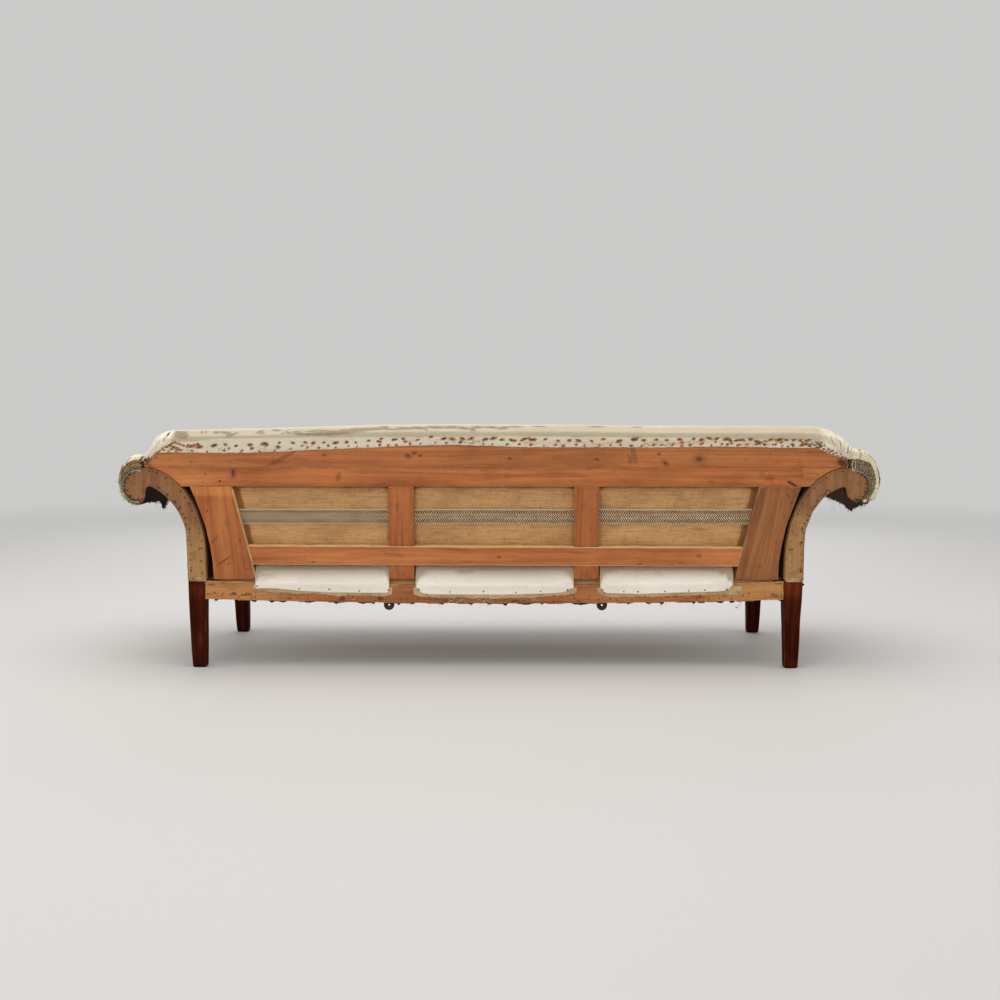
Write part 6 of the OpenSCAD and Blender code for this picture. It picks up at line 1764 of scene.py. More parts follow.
    # a frayed strip of grey linen tacked round the scroll, on the face of the board
    ang = np.radians(np.concatenate([np.linspace(100, 74, 14), np.linspace(72, -98 if s > 0 else -60, 150)]))
    rt = np.random.RandomState(seed + 80)
    rr_out = 51.0 + 0.5 * fbm(ang * 9, seed=seed + 81)
    wdt = 6.6 + 2.4 * fbm(ang * 7, seed=seed + 82) + 2.0 * fbm(ang * 26, seed=seed + 83)
    if s < 0:
        wdt *= np.interp(np.degrees(ang)[::-1], [-60, -20, 40, 60, 100], [0.25, 0.4, 0.55, 0.9, 0.8])[::-1]
    else:
        wdt *= np.interp(np.degrees(ang)[::-1], [-98, -60, 0, 60, 100], [0.3, 0.5, 0.8, 1.1, 0.9])[::-1]
    kk = np.linspace(0, 1, 5)
    rad2 = rr_out[:, None] - np.clip(wdt, 1.2, None)[:, None] * kk[None]
    aa, uu = SC[0] + rad2 * np.cos(ang)[:, None], SC[1] + rad2 * np.sin(ang)[:, None]
    yy = 0.35 + 0.5 * np.clip(fbm(ang[:, None] * 12, kk[None] * 2, seed=seed + 84), -0.4, 1) + 0.3
    Pf = rk(np.stack([s * (XA + aa), yy, uu], -1))
    fs = cloth_grid(f"scroll_edging_{side}", Pf, LINEN_GREY, {"dk": (0.3 if s > 0 else 0.45) + 0.9 * fbm(ang[:, None] * 9 + 0 * kk[None], kk[None] * 2, seed=seed + 85) + 0.5 * sst(20, -60, np.degrees(ang))[:, None]}, thick=0.7)
    L_ = float(np.sum(np.abs(np.diff(ang))) * 48)
    sheet(fs, (L_ / 1000, 0.0105), "laid", [f"arm_board_rear_{side}"])
    J = Join()
    for i in range(22):
        t = math.radians(84 - 8.2 * i + rt.uniform(-2, 2))
        rr_ = 46.5 + rt.uniform(-1.6, 1.6)
        p = rk([s * (XA + SC[0] + rr_ * math.cos(t)), 0.7, SC[1] + rr_ * math.sin(t)]) * 1000
        tack_head(J, p, (rk([0, 1, 0]) - rk([0, 0, 0])), rt.uniform(1.5, 2.3), rt)
    J.make("arm_board_tacks" if s > 0 else "arm_board_tacks_left", RUST, node="arm_board_tacks", slot="rusty_tacks")

# old black cloth left in the notch under each scroll, ragged, in a few layers
MASS = {1: ([(182, 262), (175, 284), (164, 288), (156, 289.5), (143, 282), (128, 272.5), (117, 262), (106, 252)], [(182, 250), (175, 245), (166, 243), (157, 242), (149, 242.5), (140, 246), (133, 246), (127, 238), (120, 222), (114, 230), (110, 244), (104, 249)]),
        -1: ([(238, 252), (222, 247), (206, 243), (190, 246), (176, 258), (168, 276), (160, 286), (148, 282), (132, 273), (118, 265)], [(238, 241), (222, 234), (206, 229), (198, 224), (190, 219), (182, 221), (172, 231), (162, 239), (152, 245), (140, 250), (128, 253), (114, 257)])}
for s, side in ((1, "right"), (-1, "left")):
    rt = np.random.RandomState(300 + s)
    J, S = Join(), Strands()
    up_, dn_ = A(MASS[s][0])[::-1], A(MASS[s][1])[::-1]
    a_lo, a_hi = dn_[0, 0], dn_[-1, 0]
    for k in range(6):
        w0 = [0.0, 0.0, 0.10, 0.34, 0.0, 0.5][k]
        w1 = [1.0, 1.0, 0.62, 1.0, 0.55, 0.92][k]
        aa = np.linspace(a_lo + (a_hi - a_lo) * w0, a_lo + (a_hi - a_lo) * w1, 64)
        tp = np.interp(aa, up_[:, 0], up_[:, 1]) + 1.5
        bt = np.interp(aa, dn_[:, 0], dn_[:, 1]) + [0, 3, -3, 1, 2, -1][k]
        fray = 2.8 * fbm(aa * 0.16, k, seed=301 + s) + 8.0 * np.abs(fbm(aa * 0.42, k * 3.0, seed=303 + s)) * (1 if k else 0.7) + rt.uniform(-1.6, 1.6, 64)
        bt = np.minimum(bt + fray, tp - 2.5)
        tt_ = np.linspace(0, 1, 9)
        u = tp[:, None] + (bt - tp)[:, None] * tt_[None]
        a2 = aa[:, None] + 1.6 * fbm(aa[:, None] * 0.1, tt_[None] * 3, k, seed=305 + s) * tt_[None]
        y_ = [-1.5, -6, 0.8, -11, -17, -24][k] + 3.4 * fbm(aa[:, None] * 0.16, tt_[None] * 2.2, k, seed=307 + s) + 2.0 * np.sin(aa[:, None] * 0.35 + k) * tt_[None]
        Pg = rk(np.stack([s * (XA + a2), np.minimum(y_, 2.2), u], -1))
        J.add(Pg.reshape(-1, 3), grid_faces(64, 9), st=np.stack([a2, u, 0 * u + 40 * k], -1).reshape(-1, 3), dk=(0.4 * fbm(a2 * 0.1, u * 0.1, k, seed=309)).reshape(-1))
    fr = J.make("arm_fringes" if s > 0 else "arm_fringes_left", BLACK_CLOTH if s > 0 else BROWN_CLOTH, node="arm_fringes", slot="black_cloth", solid=1.0)
    fr["sheet"] = 1
    for k in range(340):
        a0 = rt.uniform(a_lo, a_hi)
        b0 = float(np.interp(a0, dn_[:, 0], dn_[:, 1]))
        p0 = rk([s * (XA + a0), rt.uniform(-24, 0), b0 + rt.uniform(0, 6)]) * 1000
        S.curl(p0, [rt.uniform(-0.8, 0.8), rt.uniform(-0.2, 0.3), rt.uniform(-1, 0.1)], rt.uniform(4, 13), rt.uniform(0.3, 0.65), rt, curl=0.45, n=7, drop=0.1)
    # a few long ones hang free
    for a0, u0, ln in (((144, 246, 26), (138, 246, 30), (141, 247, 20), (121, 224, 12), (112, 236, 18), (117, 222, 9)) if s > 0 else ((140, 250, 34), (131, 252, 40), (120, 254, 12), (186, 220, 7), (152, 244, 20), (175, 226, 8))):
        p0 = rk([s * (XA + a0), rt.uniform(-12, -2), u0]) * 1000
        S.curl(p0, [rt.uniform(0.1, 0.6) * (1 if s > 0 else -1), 0, -1], ln, 0.42, rt, curl=0.2, n=10, drop=0.1)
    S.make(f"fringe_threads_{side}", STRAND_BLACK, slot="black_cloth")

# threads and torn bits at the ends of the upper board
for s, side in ((1, "right"), (-1, "left")):
    rt = np.random.RandomState(340 + s)
    S, S2 = Strands(), Strands()
    for k in range(120):
        x, u = rt.uniform(1022, 1046), rt.uniform(352, 384)
        p0 = rk([s * x, rt.uniform(-2, 1.0), u]) * 1000
        (S if rt.rand() < 0.6 else S2).curl(p0, [rt.uniform(-1, 1), rt.uniform(0, 0.4), rt.uniform(-0.8, 0.5)], rt.uniform(5, 15), rt.uniform(0.3, 0.6), rt, curl=0.5, n=7, drop=0.08)
    S.make(f"end_threads_dark_{side}", STRAND_BLACK, slot="black_cloth")
    S2.make(f"end_threads_pale_{side}", STRAND_OLIVE, slot="hessian")

# webbing and hessian inside the arms
for s, side in ((1, "right"), (-1, "left")):
    t = np.radians(np.linspace(180, 92, 60))
    base = lambda g, lo_h=42: np.concatenate([A([(34, -0.2), (25, -0.2), (16, 0), (8, 0.5), (2.5, 1.1)]) if lo_h < 10 else np.zeros((0, 2)), np.stack([np.full(8, -g * 1.0), np.linspace(lo_h, 78, 8)], 1), np.stack([175 + (175 + g) * np.cos(t), 80 + (267 + g) * np.sin(t)], 1)])
    pth = base(-1.4)
    cum = np.concatenate([[0], np.cumsum(np.linalg.norm(np.diff(pth, axis=0), axis=1))])
    for k, yw in enumerate((YF + 110, YF + 285, YF + 460)):
        v = np.linspace(-24.5, 24.5, 9)
        bow = 1.2 * np.sin(cum / cum[-1] * math.pi * 5 + k)[:, None] * (np.abs(v)[None] / 25) ** 2
        Pg = np.stack([s * (XA + pth[:, 0][:, None] + bow * 0.6), yw + 25 + v[None] + 0 * bow, ZH + pth[:, 1][:, None] * CR + 0 * bow], -1) / 1000
        nm = f"arm_webbing_{side}" if k == 0 else f"arm_webbing_{side}_{k + 1}"
        o = cloth_grid(nm, Pg, JUTE_WEB, node=f"arm_webbing_{side}", slot="herringbone_webbing", thick=1.3, st=np.stack([np.repeat(cum[:, None], 9, 1), np.repeat(v[None], len(cum), 0), 0 * bow], -1))
        sheet(o, (0.049, cum[-1] / 1000), "stretched", [f"arm_tack_rail_{side}", f"arm_roll_{side}"])
    pth = base(1.2, 2)
    v = np.linspace(0, 1, 70)
    yend = YR + pth[:, 1] * SR - 27.5 / CR
    yfrom, yto = np.full(len(pth), YF + 2.0), yend.copy()
    yfrom[:5], yto[:5] = YF + 52, YR - 52
    Yg = yfrom[:, None] + (yto - yfrom)[:, None] * v[None]
    n = 0.45 * fbm(np.arange(len(pth))[:, None] * 0.1, Yg * 0.02, seed=320 + s)
    cum = np.concatenate([[0], np.cumsum(np.linalg.norm(np.diff(pth, axis=0), axis=1))])
    # the rear hem turns outward along the inside face of the arm board
    hem = 7.0 * sst(0.975, 1.0, v)[None] * (np.arange(len(pth)) >= 5)[:, None]
    Pg = np.stack([s * (XA + pth[:, 0][:, None] + n + hem), Yg, ZH + pth[:, 1][:, None] * CR + 0 * Yg], -1) / 1000
    # painted shade: the hessian inside the arm is the darker copy, and darker still towards the rear, deep in the gap
    # between arm and back; the noise term is dirt
    o = cloth_grid(f"arm_hessian_{side}", Pg, HESSIAN_AGED_AND_SHADED, {"dk": 0.3 * sst(0.1, 0.8, fbm(cum[:, None] * 0.01, Yg * 0.01, seed=323)) + 1.2 * sst(150, 30, yend[:, None] - Yg)}, node=f"arm_hessian_{side}", slot="hessian", thick=0.8, st=np.stack([np.repeat(cum[:, None], 70, 1), Yg, 0 * Yg], -1))
    sheet(o, (cum[-1] / 1000, float(np.mean(yend - YF - 2)) / 1000), "stretched", [f"arm_tack_rail_{side}", f"arm_roll_{side}"])


# ------------------------------------------------------------------ seat
def seat_profile(g):
    """from the tacked front edge, over the seat, to where it goes down under the back"""
    p = [(YF + 0.3 - g * 0, 224), (YF - 0.4 - g, 240), (YF - 2.2 - g, 262), (YF - 5 - g, 290), (YF - 8 - g, 330), (YF - 9.5 - g, 352)]
    p += [tuple(q) for q in arc(YF + 27, 372, 38 + g, 36 + g, 172, 92, 10)]
    p += [(-300, 408.5 + g), (-200, 409 + g), (-100, 408.6 + g), (0, 407 + g), (120, 404 + g), (190, 399.5 + g), (235, 395 + g), (254, 388 + g), (262, 376 + g), (266, 360), (268, 346)]
    return A(p)


pr = seat_profile(1.0)
cum = np.concatenate([[0], np.cumsum(np.linalg.norm(np.diff(pr, axis=0), axis=1))])
L = cum[-1]
nP = 176
sv = L * np.linspace(0, 1, nP)
# smooth the polyline into a curve
yy, zz = np.interp(sv, cum, pr[:, 0]), np.interp(sv, cum, pr[:, 1])
for _ in range(3):
    yy[2:-2] = (yy[:-4] + yy[1:-3] * 2 + yy[2:-2] * 3 + yy[3:-1] * 2 + yy[4:]) / 9
    zz[2:-2] = (zz[:-4] + zz[1:-3] * 2 + zz[2:-2] * 3 + zz[3:-1] * 2 + zz[4:]) / 9
ty, tz = np.gradient(yy), np.gradient(zz)
tl = np.hypot(ty, tz)
ny, nz = -tz / tl, ty / tl                   # outwards
xv = np.concatenate([np.linspace(832, 814, 1)[:0], [846] * 0, np.linspace(-1, 1, 300) * 812])
R_ = 20.0
side_t = np.linspace(0, math.pi / 2, 7)[1:]
drops = np.concatenate([R_ * (1 - np.cos(side_t)), [R_ + 12, R_ + 26, R_ + 38]])
sidex = np.concatenate([812 + R_ * np.sin(side_t), [832.6, 832.8, 832.4]])
X1 = np.concatenate([-sidex[::-1], xv, sidex])
D1 = np.concatenate([drops[::-1], 0 * xv, drops])
nX2 = len(X1)
frontw = sst(1.0, 0.0, (sv - 0) / 60.0)      # the front edge keeps to the rail where it is tacked
sg = sag(X1)
XX = np.repeat(X1[:, None], nP, 1)
drop = D1[:, None] * (1 - frontw[None, :]) * sst(L, L - 30, sv)[None] + 0 * XX
drop = drop * np.clip((sv[None] - 20) / 60, 0, 1)
YYs = yy[None] - ny[None] * drop
ZZs = zz[None] - nz[None] * drop - sg[:, None] * sst(300, 225, zz)[None]
P = np.stack([XX, YYs, ZZs], -1) / 1000
ci, cj = np.linspace(0, nX2 - 1, 150).round().astype(int), np.linspace(0, nP - 1, 80).round().astype(int)
pin = np.zeros((len(ci), len(cj)))
pin[:, :4], pin[:, -4:] = 1, 1
pin[:4], pin[-4:] = 1, 1
stitch_s = cum[5] + 8                          # the stitched edge below the front roll
j0 = np.abs(sv[cj] - stitch_s).argmin()
pin[:, j0] = 0.9
D = puffed(P[np.ix_(ci, cj)], pin, (nX2, nP), pressure=4, shrink=-0.012, cap=8, flip=False)
P = P + D
N = normals(P)
if N[nX2 // 2, nP // 2][2] < 0:
    N = -N
SS = np.repeat(sv[None], nX2, 0)
zr_ = np.clip((SS - 14) / 24, 0, 1)
h = 2.4 * fbm(XX * 0.005, SS * 0.006, seed=401) + 1.0 * fbm(XX * 0.02, SS * 0.02, seed=402)
# sat-in hollows
for hx in (-520, 20, 540):
    h -= 5.0 * np.exp(-((XX - hx) / 190) ** 2 - ((SS - 470) / 170) ** 2)
# springs press through a little
for hx in (-750, -570, -390, -180, 0, 180, 390, 570, 750):
    for hy in (-227.5, -31.5, 164.5):
        s_ = float(np.interp(hy, yy[60:], sv[60:]))
        h += 0.7 * np.exp(-((XX - hx) ** 2 + (SS - s_) ** 2) / 48 ** 2)
top1 = cum[5] + 60
h -= 3.2 * np.exp(-((SS - stitch_s) / 4.5) ** 2)
h += 1.6 * np.exp(-((SS - stitch_s - 26) / 17) ** 2)
h -= 1.8 * np.exp(-((SS - stitch_s - 78) / 7) ** 2)
h -= 1.5 * np.exp(-((SS - stitch_s) / 5) ** 2) * np.exp(-((np.mod(XX, 21) - 10.5) / 3.2) ** 2)
h += 0.8 * (0.5 - np.abs(np.sin(XX * math.pi / 40 + 0.0))) * np.exp(-np.clip(SS - 8, 0, None) / 42) * np.clip((SS - 4) / 8, 0, 1)
h += 0.9 * (0.6 - np.abs(np.sin(XX * 0.05 + 2.5 * fbm(XX * 0.006, SS * 0.004, seed=404)))) * np.exp(-((SS - stitch_s - 50) / 60) ** 2)
h += 1.2 * (0.6 - np.abs(np.sin(SS * 0.06 + 2 * fbm(XX * 0.01, SS * 0.006, seed=405)))) * np.exp(-(812 - np.abs(XX)) / 60)
P = P + N * (h * zr_)[..., None] / 1000
P[:, 0, 2] += 0.0012 * fbm(X1 * 0.05, seed=406)
# painted shade: darker in the stitched groove, where the cover turns down under the back (sst(L - 60, L - 20, SS)) and
# at both ends beside the arms; the mottling is dirt and the rings below are stains
dk = 0.45 * sst(0.05, 0.8, fbm(XX * 0.003, SS * 0.004, seed=407)) + 0.4 * np.exp(-((SS - stitch_s) / 5) ** 2) + 0.5 * np.exp(-SS / 9) + 0.5 * sst(L - 60, L - 20, SS) + 0.35 * sst(790, 830, np.abs(XX))
for hx, hs, r_ in ((-300, 380, 46), (210, 520, 60), (610, 330, 38), (-640, 600, 50)):
    q_ = np.hypot(XX - hx, SS - hs) / r_ + 0.25 * fbm(XX * 0.03, SS * 0.03, seed=408)
    dk += 0.14 * np.exp(-((q_ - 1) / 0.12) ** 2) + 0.08 * sst(1.05, 0.7, q_)
yl = 0.35 + 0.4 * fbm(XX * 0.003, SS * 0.004, seed=409)
rs = np.zeros_like(XX)
for i in range(41):
    rs = np.maximum(rs, 0.5 * np.exp(-((XX - (-800 + 40 * i)) / 4.5) ** 2 - ((SS - 7) / 4.5) ** 2))
seat_cover = cloth_grid("seat_cover", P, CALICO, {"yl": yl, "dk": dk, "rs": rs}, node="seat_cover", slot="calico", thick=1.1, st=np.stack([XX, SS, 0 * XX], -1))
SEAT_P, SEAT_N = P, N
J, S = Join(), Join()
rt = np.random.RandomState(410)
for i in range(41):
    x = -800 + 40 * i + rt.uniform(-3, 3)
    k = int(np.abs(X1 - x).argmin())
    jj = int(np.abs(sv - 7).argmin())
    tack_head(J, P[k, jj] * 1000 + N[k, jj] * 0.4, N[k, jj], rt.uniform(2.1, 2.6), rt)
J.make("front_edge_tacks", BLUED, node="front_edge_tacks", slot="blued_tacks")
# twine of the stitched edge
js = int(np.abs(sv - stitch_s).argmin())
for i in range(76):
    x = -800 + 21 * i + 10.5
    k0, k1 = int(np.abs(X1 - x).argmin()), int(np.abs(X1 - (x + 15)).argmin())
    pts = [P[k0, js] * 1000 - N[k0, js] * 1.2]
    for t in (0.2, 0.5, 0.8):
        k = int(round(k0 + (k1 - k0) * t))
        pts.append(P[k, js] * 1000 + N[k, js] * 0.9)
    pts.append(P[k1, js] * 1000 - N[k1, js] * 1.2)
    v, f = tube(pts, 0.6, 5)
    S.add(v / 1000, f)
S.make("front_edge_stitches", TWINE, slot="twine")

# the seat's stuffing, between the hessian over the springs and the calico
xs2 = np.linspace(-828, 828, 60)
rings = []
for x in xs2:
    k = int(np.abs(X1 - x).argmin())
    jj = np.linspace(int(np.abs(zz[:40] - 300).argmin()), nP - 6, 60).round().astype(int)
    o = SEAT_P[k, jj] * 1000 - SEAT_N[k, jj] * 3.0
    o[:, 0] = x
    lowp = A([(x, 262, 352), (x, 251, 348), (x, 180, 347.5), (x, 60, 347.5), (x, -60, 347.5), (x, -180, 347.5), (x, -318, 347.5), (x, -346, 310), (x, -368, 276)])
    rings.append(np.concatenate([o, lowp]))
rings = A(rings)
m = rings.shape[1]
V = rings.reshape(-1, 3)
F = grid_faces(60, m, wrap_v=True) + [list(range(m))[::-1], [59 * m + k for k in range(m)]]
ssf = make("seat_stuffing", wd(V), F, HAIR, {"gr": V, "q": 0.5 + 0.5 * fbm(V[:, 0] * 0.03, V[:, 1] * 0.03, seed=6)}, node="seat_stuffing", slot="hair_stuffing")

# hessian over the springs
yv = np.array([YF + 12, YF + 20, YF + 36, YF + 52, YF + 66, -300, -260, -227.5, -190, -130, -80, -31.5, 20, 70, 120, 164.5, 200, 230, 250, 262, 280, 296, 313.5])
zt = np.interp(yv, [YF + 12, YF + 66, 250, 313.5], [261.3, 345.6, 345.6, 261.3])
xg = np.linspace(-834, 834, 230)
Xg, Yg = np.meshgrid(xg, np.interp(np.linspace(0, 22, 90), np.arange(23), yv), indexing="ij")
Zg = np.interp(Yg, yv, zt)
flatp = sst(-320, -300, Yg) * sst(250, 236, Yg)
spr = np.zeros_like(Xg)
for hx in (-750, -570, -390, -180, 0, 180, 390, 570, 750):
    for hy in (-227.5, -31.5, 164.5):
        spr = np.maximum(spr, sst(90, 44, np.hypot(Xg - hx, Yg - hy)))
Zg = Zg - (sag(Xg) + 0.9) * np.clip((345.6 - Zg) / 84.3, 0, 1) - 4.5 * (1 - spr) * flatp - 0.8 * fbm(Xg * 0.01, Yg * 0.01, seed=421) * flatp
sp = cloth_grid("spring_hessian", wd(np.stack([Xg, Yg, Zg], -1)), HESSIAN, {"dk": 0.3 * sst(0.1, 0.8, fbm(Xg * 0.01, Yg * 0.01, seed=422))}, node="spring_hessian", slot="hessian", thick=0.9, st=np.stack([Xg, Yg * 1.2, 0 * Xg], -1), offset=1.0)
sheet(sp, (1.72, area_of(sp) / 1.72), "stretched", ["seat_springs", "seat_rail_rear", "seat_rail_front"])
sheet(seat_cover, (1.75, area_of(seat_cover) / 1.75), "stretched", ["seat_stuffing", "seat_rail_front"])

# springs: hourglass coils of wire
J = Join()
for hx in (-750, -570, -390, -180, 0, 180, 390, 570, 750):
    for j, hy in enumerate((-227.5, -31.5, 164.5)):
        z0, z1 = 205 - float(sag(hx)) + 2.2, 341.0
        turns = 5.5
        n = 110
        t = np.linspace(0, 1, n)
        an = t * turns * 2 * math.pi + hx * 0.7 + j
        # the end turns lie flat
        tz_ = np.clip((t - 0.13) / 0.74, 0, 1)
        r = 25 + 17.5 * np.abs(2 * t - 1) ** 1.6
        pth = np.stack([hx + r * np.cos(an), hy + r * np.sin(an), z0 + (z1 - z0) * tz_], 1)
        v, f = tube(pth, 1.85, 6)
        J.add(v / 1000, f)
J.make("seat_springs", WIRE, node="seat_springs", slot="spring_wire")

# woven webbing under the springs
WX = [0, 90, 180, 282, 390, 480, 570, 660, 750]
WX = [-x for x in WX[:0:-1]] + WX
WY = [-31.5 + 98 * j for j in (-2, -1, 0, 1, 2)]


def over(i, j):
    return 1 if (i + j) % 2 else -1


rt = np.random.RandomState(431)
wc = []
for i, wx in enumerate(WX):
    ys = np.linspace(YF + 5, YR - 7, 150)
    v = np.linspace(-24.6, 24.6, 7)
    Yg, Vg = np.meshgrid(ys, v, indexing="ij")
    Xg = wx + Vg + 0.9 * fbm(Yg * 0.008, seed=440 + i)
    zw = np.zeros_like(Yg)
    for j, wy in enumerate(WY):
        zw += over(i, j) * 1.35 * np.exp(-((Yg - wy) / 32) ** 2)
    inside = sst(YF + 34, YF + 46, Yg) * sst(YR - 34, YR - 46, Yg)
    Zg = 205 - sag(Xg) - 1.7 - (1 - inside) * 0.3 + (zw - 1.2) * inside + 0.25 * np.cos(Vg * 0.12)
    nm = "seat_webbing_cross" if i == 0 else f"seat_webbing_cross_{i + 1}"
    o = cloth_grid(nm, wd(np.stack([Xg, Yg, Zg], -1)), JUTE_WEB, node="seat_webbing_cross", slot="herringbone_webbing", thick=1.2, st=np.stack([Yg + 37 * i, Vg, 0 * Vg], -1), offset=0.0)
    sheet(o, (0.0492, 0.7), "stretched", ["seat_rail_front", "seat_rail_rear"])
for j, wy in enumerate(WY):
    xs_ = np.linspace(-905, 905, 340)
    v = np.linspace(-24.6, 24.6, 7)
    Xg, Vg = np.meshgrid(xs_, v, indexing="ij")
    Yg = wy + Vg + 0.9 * fbm(Xg * 0.006, seed=460 + j)
    zw = np.zeros_like(Xg)
    for i, wx in enumerate(WX):
        zw += -over(i, j) * 1.35 * np.exp(-((Xg - wx) / 27) ** 2)
    inside = sst(XL + 4, XL - 12, np.abs(Xg))
    Zg = 205 - sag(Xg) - 1.7 + (zw - 1.2) * inside - (1 - inside) * 0.2 + 0.25 * np.cos(Vg * 0.12)
    nm = "seat_webbing_long" if j == 0 else f"seat_webbing_long_{j + 1}"
    o = cloth_grid(nm, wd(np.stack([Xg, Yg, Zg], -1)), JUTE_WEB, node="seat_webbing_long", slot="herringbone_webbing", thick=1.2, st=np.stack([Xg + 61 * j, Vg, 0 * Vg], -1), offset=0.0)
    sheet(o, (0.0492, 1.81), "stretched", ["seat_rail_left", "seat_rail_right"])
J = Join()
rt = np.random.RandomState(470)
for wx in WX:
    for y in (YF + 17, YR - 17):
        for v in (-17, -8, 1, 9, 18):
            tack_head(J, [wx + v + rt.uniform(-2, 2), y + rt.uniform(-4, 4), 205 - float(sag(wx)) - 2.7], [0, 0, -1], rt.uniform(2.0, 2.6), rt)
for wy in WY:
    for x in (-898, 898):
        for v in (-17, -8, 1, 9, 18):
            tack_head(J, [x + rt.uniform(-3, 3), wy + v, 205 - 2.7], [0, 0, -1], rt.uniform(2.0, 2.6), rt)
J.make("webbing_tacks", BLUED, slot="blued_tacks")

# ------------------------------------------------------------------ the tails of the seat's cloth on the rear rail
TAILS = [((722, 318), [(725, 243), (718, 239), (700, 240), (662, 239), (587, 232), (496, 227), (400, 226), (330, 226), (319, 229), (312, 240)]),
         ((239, -236), [(241, 256), (236, 247), (228, 232), (218, 225), (196, 222), (90, 221), (-14, 221), (-100, 223), (-179, 226), (-205, 229), (-222, 236), (-232, 246), (-240, 258)]),
         ((-314, -713), [(-311, 243), (-318, 236), (-335, 226), (-434, 224), (-584, 229), (-660, 231), (-684, 233), (-702, 240), (-712, 258)])]
TTX = [711, 684, 640, 603, 536, 458, 416, 372, 325, 216, 136, -62, 35, 134, 228, -136, -216, -322, -410, -498, -588, -640, -684, -706]
TACKS = [[(716, 245), (588, 237), (498, 235), (410, 230.5), (322, 233)], [(228, 229), (134, 228), (35, 229), (-62, 227.5), (-136, 230), (-216, 234)], [(-322, 233), (-384, 230), (-426, 229), (-508, 230), (-580, 232), (-628, 234.5), (-693, 237)]]
for k, ((xa, xb), bot) in enumerate(TAILS):
    nx = int((xa - xb) / 3.2)
    xs_ = np.linspace(xa, xb, nx)
    zb_ = tab(xs_, bot)
    sg = sag(xs_)
    rws = []
    zt_ = 259.5 - sg
    # from behind the middle rail, rounding out over the edge of the rear rail, down its face
    B = A([[301, 317], [319, 301], [331.5, 276], [YR + 3.4, 250]])
    for t in np.linspace(0, 1, 34, endpoint=False):
        q = B[0] * (1 - t) ** 3 + 3 * B[1] * t * (1 - t) ** 2 + 3 * B[2] * t * t * (1 - t) + B[3] * t ** 3
        rws.append((q[0] + 0 * xs_, q[1] - sg * sst(0, 1, t)))
    yo_ = YR + 1.4
    for t in np.linspace(0, 1, 14):
        rws.append((yo_ + 2.0 * (1 - t) ** 1.5 + 0 * xs_, (250 - sg) + (zb_ - 250 + sg) * t))
    # the turned-in hem
    rws.append((yo_ - 0.7 + 0 * xs_, zb_ - 1.1))
    rws.append((yo_ - 1.5 + 0 * xs_, zb_ + 0.4))
    rws.append((yo_ - 1.6 + 0 * xs_, zb_ + 7))
    Yg, Zg = np.stack([r[0] for r in rws], 1), np.stack([r[1] for r in rws], 1)
    nr_ = Yg.shape[1]
    Xg = np.repeat(xs_[:, None], nr_, 1)
    # rounded lower corners draw in
    P = wd(np.stack([Xg, Yg, Zg], -1))
    ci, cj = np.linspace(0, nx - 1, max(24, nx // 3)).round().astype(int), np.linspace(0, nr_ - 1, 26).round().astype(int)
    pin = np.zeros((len(ci), len(cj)))
    pin[:, :2], pin[:, cj >= 30] = 1, 1
    pin[:1], pin[-1:] = 1, 1
    P = P + puffed(P[np.ix_(ci, cj)], pin, (nx, nr_), pressure=3, shrink=-0.006, cap=4, frames=16)
    N = normals(P)
    if N[nx // 2, 38][1] < 0:
        N = -N
    Sg = arclen(P, 1) * 1000
    hgt = 1.7 * fbm(Xg * 0.009, Sg * 0.02, seed=501 + k) + 0.8 * fbm(Xg * 0.035, Sg * 0.016, seed=511 + k)
    for tx, tz_ in TACKS[k]:
        ex = Xg - tx
        eu = Zg - tz_
        hgt -= 1.0 * np.exp(-(ex / 7) ** 2) * np.exp(-np.clip(eu, 0, None) / 16) * sst(-8, 0, eu)
        hgt += 0.4 * np.exp(-(ex / 16) ** 2) * np.exp(-np.clip(eu, 0, None) / 30) * sst(-8, 0, eu)
    # drag lines at both ends, pleats at the last one
    e1, e2 = Xg[0, 0] - Xg, Xg - Xg[-1, 0]
    hgt += 1.1 * (0.6 - np.abs(np.sin((Xg + 0.5 * Zg) * 0.22))) * np.exp(-np.minimum(e1, e2) / (12 if k < 2 else 16)) * sst(0, 5, np.minimum(e1, e2))
    hgt *= (np.arange(nr_) < nr_ - 3)[None]
    P = P + N * hgt[..., None] / 1000
    cnr = np.minimum(e1, e2)
    w1, w2 = [(9, 7), (19, 13), (11, 15)][k]
    up_ = 0.25 + 0.75 * sst(238, 298, Zg)
    # painted shade: darker at the top, under the middle rail, and towards the upper corners where the cloth folds away,
    # with some brown staining there; the noise term is dirt
    dk = 0.85 * np.exp(-(e1 / (w1 * up_)) ** 1.15) + 0.85 * np.exp(-(e2 / (w2 * up_)) ** 1.15) + 1.2 * sst(290, 304, Zg) + 0.62 * sst(240, 296, Zg) + 0.22 * sst(0.2, 0.8, fbm(Xg * 0.01, Zg * 0.02, seed=521 + k))
    # painted shade in the pleats at the end of the last tail
    if k == 2:
        dk += 0.7 * np.exp(-e2 / 16) * np.clip(0.5 + np.sin((Xg + 0.5 * Zg) * 0.22), 0, 1)
    nm = "seat_cover_tails" if k == 0 else f"seat_cover_tails_{k + 1}"
